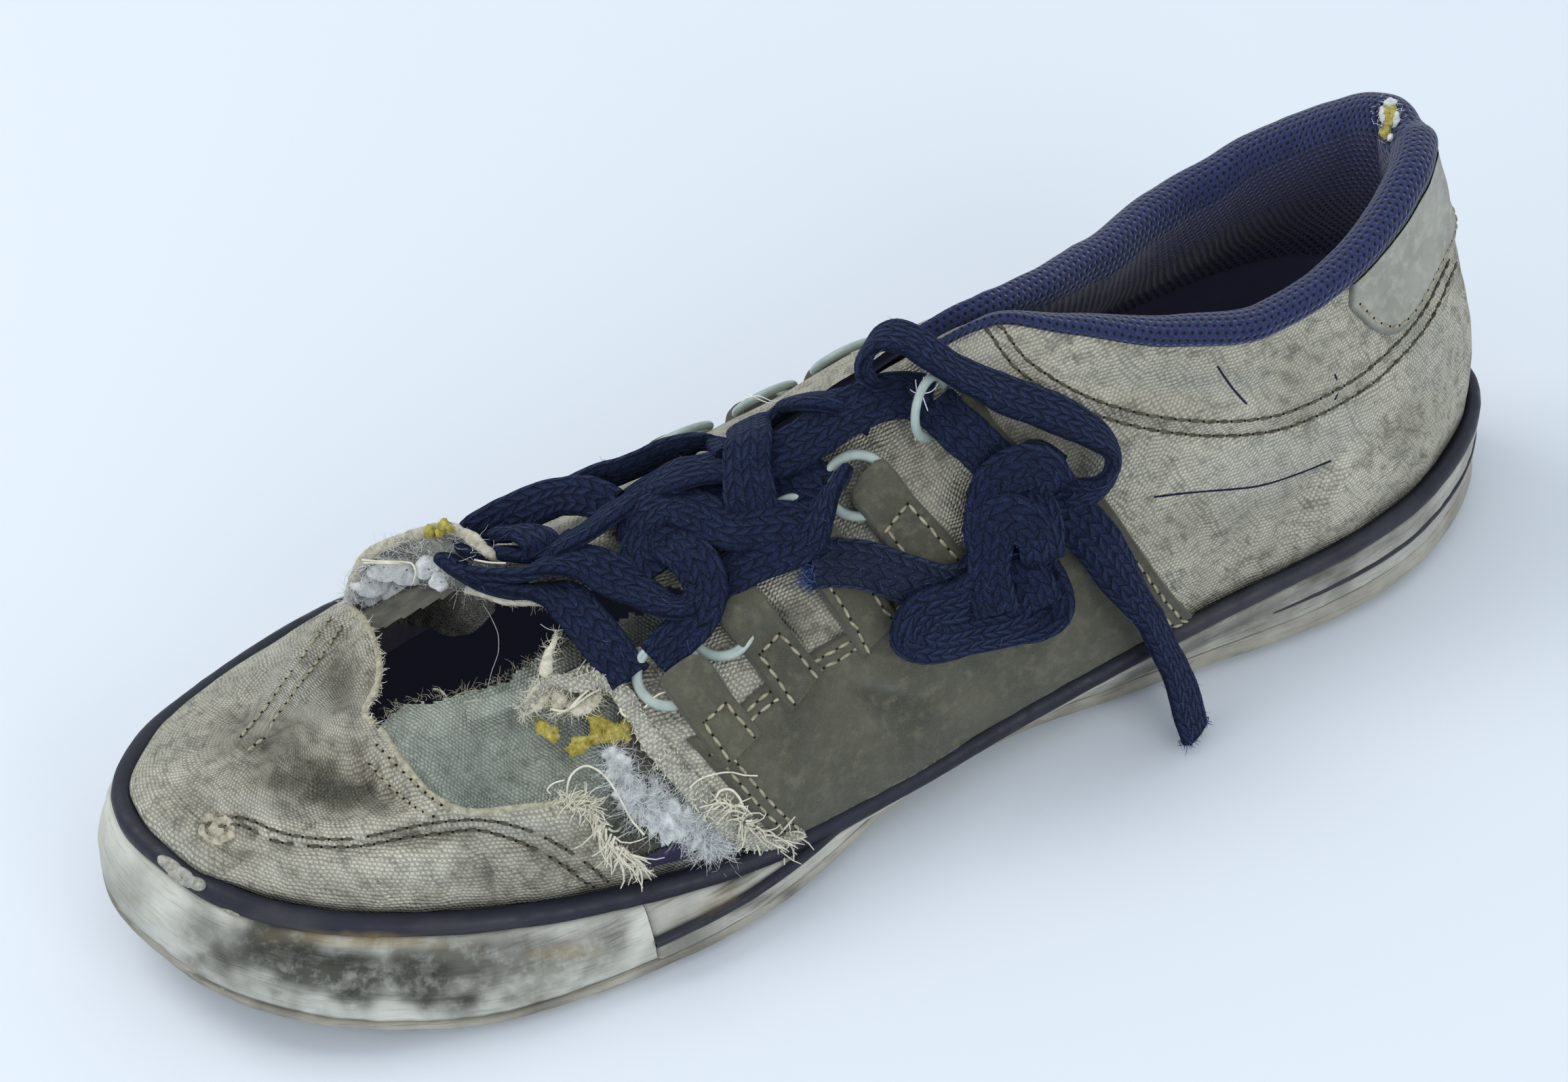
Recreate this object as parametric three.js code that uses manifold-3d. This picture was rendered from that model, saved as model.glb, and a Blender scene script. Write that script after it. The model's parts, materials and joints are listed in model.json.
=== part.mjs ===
// Worn out canvas sneaker, right shoe, men's EU 43: millimetres, +Z up, toe towards -X,
// medial side towards -Y. The shoe stands on its heel seat and forefoot, with the arch and toe raised.
import * as THREE from "three";
import { mergeVertices } from "three/addons/utils/BufferGeometryUtils.js";
import Module from "manifold-3d";

const wasm = await Module();
wasm.setup();

// ---------------------------------------------------------------- driving sizes (mm)
const HEEL_X = 144; // back of the canvas at the top of the rubber wall
const TOE_X = -137; // front of the canvas at the top of the rubber wall
const WALL = 2.0; // canvas and lining together
const GAP = 0.3; // clearance between pieces
const BAND_HEIGHT = 4.6; // dark band round the top of the rubber wall
const INSOLE_THICKNESS = 4;
const BUMPER_THICKNESS = 2.8; // toe bumper, standing proud of the wall
const BUMPER_X = -56; // where the bumper ends on both sides
const PAD_THICKNESS = 6; // padding of the collar
const TONGUE_THICKNESS = 3;
const GROOVE_DEPTH = 1.6; // main lugs of the tread
const GROOVE_WIDTH = 3;
const RING_RADIUS = 6; // lace ring, to the middle of its bar
const RING_BAR = 1.1; // radius of the ring's bar
const LACE_RADIUS = 1.9; // the lace, drawn as a round of the same section area as the flat braid
const LACE_STEP = 7.5; // length of one step of its tube

// middle of the shoe's plan box, from the last's own axes
const CENTRE_X = 0.8;
const CENTRE_Y = -5.2;

// ---------------------------------------------------------------- tables
// x: station on the foot's outline. medial, lateral: half widths at the top of the rubber wall.
// top: height of the wall's top edge.
const OUTLINE = [
  { x: 144, medial: -2.5, lateral: 2.5, top: 23.0 },
  { x: 135.4, medial: 14.6, lateral: 17.8, top: 23.3 },
  { x: 126.7, medial: 22.0, lateral: 24.9, top: 23.5 },
  { x: 115, medial: 28.8, lateral: 31.0, top: 23.6 },
  { x: 101, medial: 32.8, lateral: 34.4, top: 23.2 },
  { x: 86, medial: 34.6, lateral: 35.6, top: 22.2 },
  { x: 58, medial: 36.3, lateral: 36.4, top: 18.6 },
  { x: 29, medial: 39.4, lateral: 37.4, top: 15.0 },
  { x: 0, medial: 45.2, lateral: 40.0, top: 13.4 },
  { x: -29, medial: 51.4, lateral: 43.2, top: 15.2 },
  { x: -49, medial: 52.9, lateral: 43.4, top: 17.8 },
  { x: -69, medial: 52.8, lateral: 40.8, top: 21.4 },
  { x: -86, medial: 51.2, lateral: 35.0, top: 24.9 },
  { x: -104, medial: 47.2, lateral: 25.8, top: 28.8 },
  { x: -118, medial: 41.0, lateral: 16.5, top: 32.0 },
  { x: -127, medial: 33.2, lateral: 9.4, top: 34.4 },
  { x: -133.4, medial: 22.0, lateral: 1.5, top: 36.0 },
  { x: -137, medial: 9.0, lateral: -9.0, top: 36.8 },
];

// The upper's top line for each station of the outline: collar, throat, then the crest of the vamp.
// at: the point's own x. my, mz: medial edge. ly, lz: lateral edge. On the crest both edges are one.
const TOPLINE = [
  { x: 144, at: 135.5, my: 3, mz: 84, ly: 3, lz: 84 },
  { x: 135, at: 133, my: -5, mz: 86, ly: 11.5, lz: 85.5 },
  { x: 121, at: 125.5, my: -12.5, mz: 84.5, ly: 18.5, lz: 83 },
  { x: 106.6, at: 115.5, my: -18.5, mz: 80.5, ly: 23.5, lz: 78.3 },
  { x: 92, at: 103, my: -22.5, mz: 75.8, ly: 26.2, lz: 73.2 },
  { x: 75, at: 88, my: -23.4, mz: 72.2, ly: 25.2, lz: 69.6 },
  { x: 57.6, at: 72, my: -18.0, mz: 72.0, ly: 19.0, lz: 70.5 },
  { x: 40, at: 54, my: -9.5, mz: 75.8, ly: 10.0, lz: 74.2 },
  { x: 26, at: 40, my: -3.5, mz: 78.4, ly: 5.5, lz: 76.4 },
  { x: 11, at: 26, my: -3.5, mz: 75.5, ly: 5.5, lz: 72.8 },
  { x: -6, at: 8, my: -5.5, mz: 68.5, ly: 6.0, lz: 66.2 },
  { x: -24, at: -12, my: -8, mz: 61.5, ly: 6.5, lz: 60.2 },
  { x: -37, at: -27, my: -8, mz: 57, ly: 4, lz: 57 },
  { x: -46, at: -38, my: -2, mz: 55.5, ly: -2, lz: 55.5 },
  { x: -60, at: -53, my: -3.5, mz: 53, ly: -3.5, lz: 53 },
  { x: -86, at: -75, my: -7, mz: 47.5, ly: -7, lz: 47.5 },
  { x: -115, at: -96, my: -10.5, mz: 45, ly: -10.5, lz: 45 },
  { x: -137, at: -109, my: -11, mz: 44.2, ly: -11, lz: 44.2 },
];
const CREST_X = -46; // from this station forward the two sides meet on the crest

// How the canvas climbs from the rubber to the top line.
// lean: outward slope at the bottom. rise: how far that slope carries, as a share of the height.
// drop: slope at the top line in degrees. reach: how far that slope carries, as a share of the span.
const CLIMB = [
  { x: 144, mLean: 0.1, mRise: 0.42, lLean: 0.1, lRise: 0.42, drop: 82, reach: 0.3 },
  { x: 115, mLean: 0.12, mRise: 0.42, lLean: 0.12, lRise: 0.42, drop: 80, reach: 0.3 },
  { x: 86, mLean: 0.1, mRise: 0.4, lLean: 0.1, lRise: 0.4, drop: 74, reach: 0.32 },
  { x: 58, mLean: 0.02, mRise: 0.4, lLean: 0.02, lRise: 0.4, drop: 60, reach: 0.36 },
  { x: 30, mLean: -0.08, mRise: 0.4, lLean: -0.14, lRise: 0.34, drop: 38, reach: 0.4 },
  { x: 0, mLean: -0.1, mRise: 0.42, lLean: -0.25, lRise: 0.27, drop: 26, reach: 0.42 },
  { x: -30, mLean: -0.02, mRise: 0.44, lLean: -0.3, lRise: 0.24, drop: 18, reach: 0.45 },
  { x: -52, mLean: 0.04, mRise: 0.46, lLean: -0.32, lRise: 0.22, drop: 8, reach: 0.48 },
  { x: -86, mLean: 0.05, mRise: 0.5, lLean: -0.35, lRise: 0.2, drop: 0, reach: 0.5 },
  { x: -115, mLean: 0.05, mRise: 0.5, lLean: -0.2, lRise: 0.24, drop: 0, reach: 0.5 },
  { x: -137, mLean: 0.05, mRise: 0.45, lLean: 0.05, lRise: 0.45, drop: 3, reach: 0.5 },
];

// The rubber round the foot, as offsets outward from OUTLINE.
// band: at the dark band. side: at the fullest part of the wall. ground: at the tread's edge.
// tuck: how far the canvas is drawn in at its bottom. slab: thickness of the outsole's edge.
const RUBBER = [
  { x: 144, band: 3.4, side: 1.6, mGround: -4, lGround: -3, tuck: -2.5, slab: 8 },
  { x: 115, band: 3.4, side: 1.4, mGround: -5, lGround: -4, tuck: -2.5, slab: 8 },
  { x: 86, band: 3.3, side: 0.6, mGround: -6, lGround: -4.5, tuck: -3.5, slab: 7.5 },
  { x: 58, band: 3.2, side: -1.5, mGround: -8, lGround: -5.5, tuck: -6, slab: 6 },
  { x: 29, band: 3.0, side: -3.0, mGround: -9.5, lGround: -6, tuck: -8, slab: 5 },
  { x: 0, band: 3.0, side: -1.0, mGround: -7, lGround: -4, tuck: -6, slab: 4.5 },
  { x: -29, band: 3.4, side: 4.5, mGround: 1, lGround: 1, tuck: -2, slab: 5 },
  { x: -49, band: 3.8, side: 7.2, mGround: 5, lGround: 4.5, tuck: -0.8, slab: 4.6 },
  { x: -69, band: 4.2, side: 8.4, mGround: 6.5, lGround: 5.5, tuck: -0.8, slab: 3.8 },
  { x: -104, band: 4.4, side: 8.8, mGround: 6.2, lGround: 5.5, tuck: -0.8, slab: 3.6 },
  { x: -137, band: 4.4, side: 8.8, mGround: 4.5, lGround: 4.5, tuck: -0.8, slab: 3.6 },
];

// Height of the tread above the floor: heel seat, arch, ball, toe spring.
const TREAD = [
  { x: 150, z: 1.4 },
  { x: 136, z: 0.2 },
  { x: 130, z: 0 },
  { x: 52, z: 0 },
  { x: 29, z: 1.6 },
  { x: 5, z: 3.0 },
  { x: -18, z: 1.4 },
  { x: -38, z: 0 },
  { x: -82, z: 0 },
  { x: -98, z: 2.0 },
  { x: -116, z: 6.6 },
  { x: -132, z: 11.6 },
  { x: -148, z: 17.2 },
];

// The hole worn through the vamp, as a plan outline. It runs into the front of the throat.
const TEAR = [
  { x: -87, y: 30.5 },
  { x: -84, y: 4.8 },
  { x: -85.4, y: -5 },
  { x: -88, y: -10.3 },
  { x: -92.5, y: -14.4 },
  { x: -90.4, y: -18.3 },
  { x: -83, y: -20.5 },
  { x: -75, y: -24 },
  { x: -66.8, y: -27.2 },
  { x: -58.6, y: -26.9 },
  { x: -49, y: -28 },
  { x: -41, y: -24 },
  { x: -32, y: -15 },
  { x: -25, y: -3 },
  { x: -31, y: 2 },
  { x: -44, y: 7 },
  { x: -55, y: 10 },
  { x: -64, y: 18 },
  { x: -72, y: 26 },
  { x: -79, y: 31.5 },
];

// Lace rings: station and share of the climb, counted from the toe.
const RINGS = [
  { name: "1", medialX: -42, medialT: 0.63, lateralX: -52, lateralT: 0.6 },
  { name: "2", medialX: -31, medialT: 0.71, lateralX: -35, lateralT: 0.68 },
  { name: "3", medialX: -16, medialT: 0.81, lateralX: -18, lateralT: 0.76 },
  { name: "4", medialX: -2, medialT: 0.81, lateralX: -2, lateralT: 0.8 },
  { name: "5", medialX: 13, medialT: 0.88, lateralX: 13, lateralT: 0.84 },
];

// Routes of the lace over the throat, by their middles. x, y, z in the last's own axes.
const LACE_BARS = [
  { name: "front_low", route: [{ x: -65.9, y: 9.4, z: 51.7 }, { x: -64.1, y: 0.9, z: 53.9 }, { x: -60.5, y: -7.0, z: 55.7 }, { x: -54.9, y: -10.4, z: 56.2 }, { x: -51.0, y: -14.2, z: 55.5 }, { x: -48.9, y: -20.7, z: 53.3 }, { x: -47.1, y: -26.7, z: 50.7 }, { x: -45.5, y: -31.7, z: 48.3 }] },
  { name: "front_high", route: [{ x: -64.6, y: -1.7, z: 56.7 }, { x: -58.2, y: -7.2, z: 58.4 }, { x: -51.0, y: -8.2, z: 59.6 }, { x: -45.7, y: -10.1, z: 59.3 }, { x: -42.0, y: -14.2, z: 58.1 }, { x: -38.0, y: -19.3, z: 56.6 }, { x: -33.9, y: -24.1, z: 54.9 }, { x: -30.3, y: -25.1, z: 54.6 }] },
  { name: "ring_one", route: [{ x: -40.3, y: -30.6, z: 49.5 }, { x: -35.7, y: -29.8, z: 52.0 }, { x: -31.0, y: -28.5, z: 54.0 }, { x: -27.8, y: -26.1, z: 56.6 }, { x: -27.0, y: -23.1, z: 59.7 }, { x: -28.1, y: -18.4, z: 61.4 }, { x: -29.8, y: -13.2, z: 60.9 }] },
  { name: "upright", route: [{ x: -5.7, y: 6.0, z: 64.2 }, { x: -9.8, y: -5.6, z: 71.5 }, { x: -12.3, y: -10.5, z: 69.7 }, { x: -13.8, y: -15.4, z: 67.5 }, { x: -13.8, y: -16.9, z: 63.6 }, { x: -13.7, y: -18.1, z: 60.2 }] },
  { name: "far_long", route: [{ x: -40.0, y: 12.4, z: 56.9 }, { x: -35.4, y: 11.3, z: 58.6 }, { x: -29.0, y: 9.2, z: 60.8 }, { x: -21.7, y: 7.7, z: 63.2 }, { x: -16.6, y: 6.2, z: 64.4 }, { x: -12.5, y: 4.8, z: 63.3 }, { x: -12.6, y: -5.8, z: 69.0 }] },
  { name: "far_loop", route: [{ x: -35.8, y: 0.4, z: 59.8 }, { x: -38.7, y: 5.1, z: 60.5 }, { x: -43.4, y: 10.0, z: 58.4 }, { x: -49.3, y: 11.3, z: 57.1 }, { x: -55.5, y: 11.5, z: 56.0 }, { x: -60.5, y: 11.7, z: 54.1 }, { x: -61.4, y: 6.7, z: 54.4 }, { x: -55.8, y: 0.6, z: 56.6 }, { x: -49.7, y: -3.8, z: 58.3 }, { x: -44.7, y: -3.5, z: 59.4 }] },
  { name: "cross_one", route: [{ x: -49.8, y: -4.5, z: 58.9 }, { x: -43.5, y: -4.3, z: 60.7 }, { x: -36.7, y: -3.2, z: 62.7 }, { x: -29.1, y: 1.1, z: 61.6 }, { x: -23.9, y: -5.1, z: 68.3 }, { x: -17.6, y: -6.2, z: 68.0 }, { x: -13.3, y: -7.1, z: 67.3 }] },
  { name: "cross_two", route: [{ x: -34.8, y: -9.9, z: 59.7 }, { x: -33.1, y: -8.1, z: 62.6 }, { x: -27.6, y: -8.5, z: 64.9 }, { x: -23.2, y: -12.8, z: 65.0 }, { x: -19.2, y: -18.0, z: 63.4 }, { x: -13.3, y: -20.1, z: 63.4 }, { x: -8.0, y: -21.9, z: 62.7 }, { x: -5.5, y: -23.6, z: 59.7 }] },
  { name: "cross_three", route: [{ x: -34.3, y: -16.6, z: 56.4 }, { x: -35.1, y: -12.4, z: 59.3 }, { x: -31.3, y: -10.3, z: 62.0 }, { x: -26.5, y: -10.4, z: 63.5 }] },
  { name: "ring_four", route: [{ x: -30.1, y: -23.0, z: 54.9 }, { x: -24.1, y: -23.5, z: 56.3 }, { x: -19.2, y: -23.6, z: 58.6 }, { x: -13.3, y: -24.4, z: 60.2 }, { x: -7.3, y: -24.9, z: 61.5 }, { x: -3.0, y: -22.6, z: 63.8 }, { x: 0.7, y: -19.6, z: 65.7 }, { x: 4.3, y: -16.9, z: 66.3 }] },
  { name: "ring_five", route: [{ x: 24.2, y: -12.8, z: 73.2 }, { x: 19.9, y: -11.4, z: 75.4 }, { x: 14.1, y: -10.6, z: 75.9 }, { x: 7.3, y: -10.0, z: 73.9 }, { x: 1.1, y: -9.6, z: 71.1 }, { x: -4.4, y: -9.2, z: 69.1 }, { x: -10.2, y: -8.0, z: 67.8 }] },
  { name: "far_high", route: [{ x: -4.6, y: 4.1, z: 64.3 }, { x: 2.2, y: 4.3, z: 67.2 }, { x: 4.8, y: -4.7, z: 74.7 }, { x: 9.7, y: -7.4, z: 74.0 }, { x: 13.9, y: -10.3, z: 72.0 }] },
  { name: "to_knot", route: [{ x: 24.5, y: -14.1, z: 73.1 }, { x: 26.1, y: -18.8, z: 71.6 }, { x: 29.0, y: -22.8, z: 68.6 }, { x: 32.3, y: -25.5, z: 63.4 }, { x: 34.8, y: -27.4, z: 59.6 }] },
];
// The knot, its loops and the two ends.
const LACE_CORDS = [
  { name: "lace_knot", route: [{ x: 36.7, y: -24.8, z: 61.1 }, { x: 31.2, y: -29.4, z: 62.8 }, { x: 27.5, y: -31.6, z: 61.0 }, { x: 25.3, y: -34.4, z: 56.5 }, { x: 26.2, y: -36.2, z: 50.7 }, { x: 29.7, y: -37.4, z: 48.5 }, { x: 33.9, y: -37.8, z: 52.3 }, { x: 35.2, y: -35.5, z: 58.4 }, { x: 35.1, y: -30.1, z: 62.6 }, { x: 38.9, y: -26.2, z: 62.7 }, { x: 41.7, y: -27.4, z: 59.4 }] },
  { name: "lace_loop_flat", route: [{ x: 31.8, y: -33.1, z: 50.9 }, { x: 25.6, y: -37.5, z: 48.6 }, { x: 17.4, y: -40.3, z: 48.4 }, { x: 10.4, y: -40.8, z: 49.3 }, { x: 6.3, y: -41.9, z: 45.9 }, { x: 11.5, y: -42.0, z: 41.4 }, { x: 19.3, y: -41.0, z: 39.3 }, { x: 27.4, y: -41.6, z: 39.0 }, { x: 33.5, y: -42.1, z: 40.2 }, { x: 34.3, y: -39.3, z: 44.6 }, { x: 31.9, y: -35.9, z: 49.8 }] },
  { name: "lace_tail_frayed", route: [{ x: 39.2, y: -26.6, z: 58.9 }, { x: 35.9, y: -28.3, z: 56.5 }, { x: 32.3, y: -30.7, z: 53.0 }, { x: 26.8, y: -34.7, z: 49.1 }, { x: 20.4, y: -36.6, z: 47.9 }, { x: 13.5, y: -36.8, z: 50.0 }, { x: 7.8, y: -34.7, z: 53.5 }, { x: 2.5, y: -31.6, z: 56.1 }, { x: -2.6, y: -29.3, z: 57.2 }, { x: -7.4, y: -28.0, z: 57.8 }] },
  { name: "lace_tail_long", route: [{ x: 38.4, y: -29.8, z: 55.8 }, { x: 42.3, y: -31.6, z: 53.0 }, { x: 46.3, y: -34.7, z: 47.8 }, { x: 49.6, y: -37.7, z: 40.1 }, { x: 53.0, y: -40.5, z: 32.2 }, { x: 55.2, y: -43.0, z: 26.1 }, { x: 57.2, y: -46.0, z: 17.8 }, { x: 58.7, y: -48.5, z: 10.1 }, { x: 59.6, y: -50.0, z: 2.7 }] },
  { name: "lace_loop_top", route: [{ x: 16.7, y: -6.6, z: 74.7 }, { x: 14.4, y: -6.4, z: 78.9 }, { x: 14.4, y: -6.5, z: 83.5 }, { x: 17.8, y: -6.7, z: 86.7 }, { x: 21.8, y: -8.7, z: 86.7 }, { x: 25.8, y: -11.5, z: 82.8 }, { x: 31.0, y: -14.6, z: 78.1 }, { x: 38.0, y: -18.4, z: 73.3 }, { x: 45.6, y: -22.8, z: 69.1 }, { x: 51.3, y: -26.6, z: 65.0 }, { x: 53.3, y: -30.1, z: 61.0 }, { x: 50.9, y: -32.1, z: 57.6 }, { x: 46.5, y: -31.9, z: 56.2 }, { x: 41.5, y: -30.7, z: 56.1 }, { x: 37.0, y: -28.5, z: 57.9 }] },
];

// ---------------------------------------------------------------- curves through the tables
// A smooth curve through the rows, level where the rows turn, so it never overshoots a flat.
function curve(xs, ys) {
  const n = xs.length, h = [], d = [], m = [];
  for (let i = 0; i < n - 1; i++) {
    h.push(xs[i + 1] - xs[i]);
    d.push((ys[i + 1] - ys[i]) / h[i]);
  }
  for (let i = 0; i < n; i++) {
    if (i === 0) m.push(d[0]);
    else if (i === n - 1) m.push(d[n - 2]);
    else if (d[i - 1] * d[i] <= 0) m.push(0);
    else m.push((d[i - 1] * h[i] + d[i] * h[i - 1]) / (h[i - 1] + h[i]));
  }
  return (x) => {
    let i = 0;
    while (i < n - 2 && x > xs[i + 1]) i++;
    const t = Math.min(1, Math.max(0, (x - xs[i]) / h[i])), a = t * t, b = a * t;
    return (2 * b - 3 * a + 1) * ys[i] + (b - 2 * a + t) * h[i] * m[i] + (3 * a - 2 * b) * ys[i + 1] + (b - a) * h[i] * m[i + 1];
  };
}
const MID = (HEEL_X + TOE_X) / 2, HALF = (HEEL_X - TOE_X) / 2;
// Stations are counted by an angle, 0 at the heel and PI at the toe, so that both ends are round.
const angle = (x) => Math.acos(Math.min(1, Math.max(-1, (x - MID) / HALF)));
const stationX = (s) => MID + HALF * Math.cos(s);
const column = (table, key) => curve(table.map((r) => angle(r.x)), table.map((r) => r[key]));
const columns = (table) => Object.fromEntries(Object.keys(table[0]).filter((k) => k !== "x").map((k) => [k, column(table, k)]));
const out = columns(OUTLINE), topl = columns(TOPLINE), climb = columns(CLIMB), rub = columns(RUBBER);
const treadUp = [...TREAD].reverse();
const treadZ = curve(treadUp.map((r) => r.x), treadUp.map((r) => r.z));
const CREST = angle(CREST_X);
const MEDIAL = -1, LATERAL = 1;

const outline = (side, s) => new THREE.Vector3(stationX(s), side < 0 ? -out.medial(s) : out.lateral(s), out.top(s));
function outward(side, s) {
  if (s < 1e-6) return new THREE.Vector3(1, 0, 0);
  if (s > Math.PI - 1e-6) return new THREE.Vector3(-1, 0, 0);
  const e = 2e-3, a = outline(side, Math.max(0, s - e)), b = outline(side, Math.min(Math.PI, s + e));
  const t = b.sub(a), k = side < 0 ? 1 : -1;
  return new THREE.Vector3(-t.y * k, t.x * k, 0).normalize();
}
function topline(side, s) {
  const crest = s >= CREST - 1e-9, med = side < 0 || crest;
  return new THREE.Vector3(topl.at(s), med ? topl.my(s) : topl.ly(s), med ? topl.mz(s) : topl.lz(s));
}
// The outside of the canvas: t is 0 at the rubber and 1 at the top line.
function canvas(side, s, t) {
  const B = outline(side, s), E = topline(side, s), n = outward(side, s), h = E.z - B.z;
  const lean = side < 0 ? climb.mLean(s) : climb.lLean(s), rise = side < 0 ? climb.mRise(s) : climb.lRise(s);
  const P1 = B.clone().addScaledVector(n, lean * h * rise).add(new THREE.Vector3(0, 0, h * rise));
  const d = new THREE.Vector3(B.x - E.x, B.y - E.y, 0).normalize(), b = THREE.MathUtils.degToRad(climb.drop(s));
  const P2 = E.clone().addScaledVector(new THREE.Vector3(d.x * Math.cos(b), d.y * Math.cos(b), -Math.sin(b)), B.distanceTo(E) * climb.reach(s));
  return new THREE.CubicBezierCurve3(B, P1, P2, E).getPoint(t);
}
// The outward normal of the canvas.
function canvasNormal(side, s, t) {
  if (t > 0.999 && s >= CREST - 1e-9) {
    // on the crest: both sides share one normal, square to the crest's own line
    const e = 0.02, a = topline(side, Math.max(CREST, s - e)), b = topline(side, Math.min(Math.PI, s + e));
    const v = b.sub(a);
    return new THREE.Vector3(v.z, 0, -v.x).normalize();
  }
  const e = 4e-3, s0 = Math.max(0, s - e), s1 = Math.min(Math.PI, s + e), t0 = Math.max(0, t - 0.01), t1 = Math.min(1, t + 0.01);
  const du = canvas(side, s1, t).sub(canvas(side, s0, t)), dv = canvas(side, s, t1).sub(canvas(side, s, t0));
  if (s < 1e-6) du.set(0, -1, 0).multiplyScalar(side < 0 ? 1 : -1);
  if (s > Math.PI - 1e-6) du.set(0, 1, 0).multiplyScalar(side < 0 ? 1 : -1);
  return du.cross(dv).multiplyScalar(side < 0 ? -1 : 1).normalize();
}
const inside = (side, s, t, depth) => canvas(side, s, t).addScaledVector(canvasNormal(side, s, t), -depth);
const flat = (side, s, off, z) => outline(side, s).addScaledVector(outward(side, s), off).setZ(z);

// ---------------------------------------------------------------- closed meshes
// A solid from quads and triangles given as points; equal points are joined afterwards.
class Shell {
  constructor() { this.tris = []; }
  tri(a, b, c) { this.tris.push(a, b, c); }
  quad(a, b, c, d) { this.tri(a, b, c); this.tri(a, c, d); }
  // rows[i][j]: a sheet of points, facing the side from which i runs right and j runs up
  sheet(rows, closedI = false, closedJ = false) {
    const n = rows.length, m = rows[0].length;
    for (let i = 0; i < (closedI ? n : n - 1); i++)
      for (let j = 0; j < (closedJ ? m : m - 1); j++)
        this.quad(rows[i][j], rows[(i + 1) % n][j], rows[(i + 1) % n][(j + 1) % m], rows[i][(j + 1) % m]);
  }
  cap(loop, flip = false) {
    // the end face is hooked, so it is triangulated in its own plane
    const n = new THREE.Vector3();
    loop.forEach((p, i) => n.add(p.clone().cross(loop[(i + 1) % loop.length])));
    const u = loop[1].clone().sub(loop[0]).projectOnPlane(n).normalize(), v = n.clone().normalize().cross(u);
    const faces = THREE.ShapeUtils.triangulateShape(loop.map((p) => new THREE.Vector2(p.dot(u), p.dot(v))), []);
    for (const [a, b, c] of faces) flip ? this.tri(loop[c], loop[b], loop[a]) : this.tri(loop[a], loop[b], loop[c]);
  }
  geometry() {
    const key = (p) => p.toArray().map((v) => Math.round(v * 500)).join();
    const pos = [];
    for (let i = 0; i < this.tris.length; i += 3) {
      const [a, b, c] = this.tris.slice(i, i + 3);
      if (key(a) === key(b) || key(b) === key(c) || key(a) === key(c)) continue;
      for (const p of [a, b, c]) pos.push(...p.toArray().map((v) => Math.round(v * 500) / 500));
    }
    return new THREE.BufferGeometry().setAttribute("position", new THREE.Float32BufferAttribute(pos, 3));
  }
}
function solid(geometry) {
  let g = (geometry.index ? geometry.toNonIndexed() : geometry.clone());
  g.deleteAttribute("normal");
  g.deleteAttribute("uv");
  g = mergeVertices(g, 1e-3);
  let made = new wasm.Manifold(new wasm.Mesh({ numProp: 3, vertProperties: new Float32Array(g.attributes.position.array), triVerts: new Uint32Array(g.index.array) }));
  if (made.volume() < 0) {
    const t = new Uint32Array(g.index.array);
    for (let i = 0; i < t.length; i += 3) [t[i], t[i + 1]] = [t[i + 1], t[i]];
    made = new wasm.Manifold(new wasm.Mesh({ numProp: 3, vertProperties: new Float32Array(g.attributes.position.array), triVerts: t }));
  }
  return made;
}
function geometryOf(made) {
  // only the largest body is kept: a cut may leave crumbs
  const body = made.decompose().sort((a, b) => b.volume() - a.volume())[0];
  const m = body.getMesh(), n = m.numProp, v = new Float32Array(m.numVert * 3);
  for (let i = 0; i < m.numVert; i++) v.set(m.vertProperties.subarray(i * n, i * n + 3), i * 3);
  return new THREE.BufferGeometry().setAttribute("position", new THREE.BufferAttribute(v, 3)).setIndex(new THREE.BufferAttribute(new Uint32Array(m.triVerts), 1));
}
const material = (color, roughness, metalness = 0) => new THREE.MeshStandardMaterial({ color, roughness, metalness, flatShading: true });
const shoe = new THREE.Group();
shoe.name = "sneaker";
function add(name, geometry, mat) {
  geometry.computeVertexNormals();
  const mesh = new THREE.Mesh(geometry, mat);
  mesh.name = name;
  shoe.add(mesh);
  return mesh;
}
const steps = (n, f) => Array.from({ length: n + 1 }, (_, i) => f(i / n));
// one closed round of stations: heel, medial side to the toe, lateral side back
const round = (stations) => [
  ...stations.slice(0, -1).map((s) => [MEDIAL, s]),
  ...stations.slice(1).reverse().map((s) => [LATERAL, s]),
];
// the stations, with the nearest ones moved to where the crest and the bumper begin
const STATIONS = steps(40, (k) => Math.PI * k);
for (const x of [CREST_X, BUMPER_X]) {
  const s = angle(x);
  STATIONS[STATIONS.reduce((b, v, i) => (Math.abs(v - s) < Math.abs(STATIONS[b] - s) ? i : b), 0)] = s;
}
const ROUND = round(STATIONS);

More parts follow.
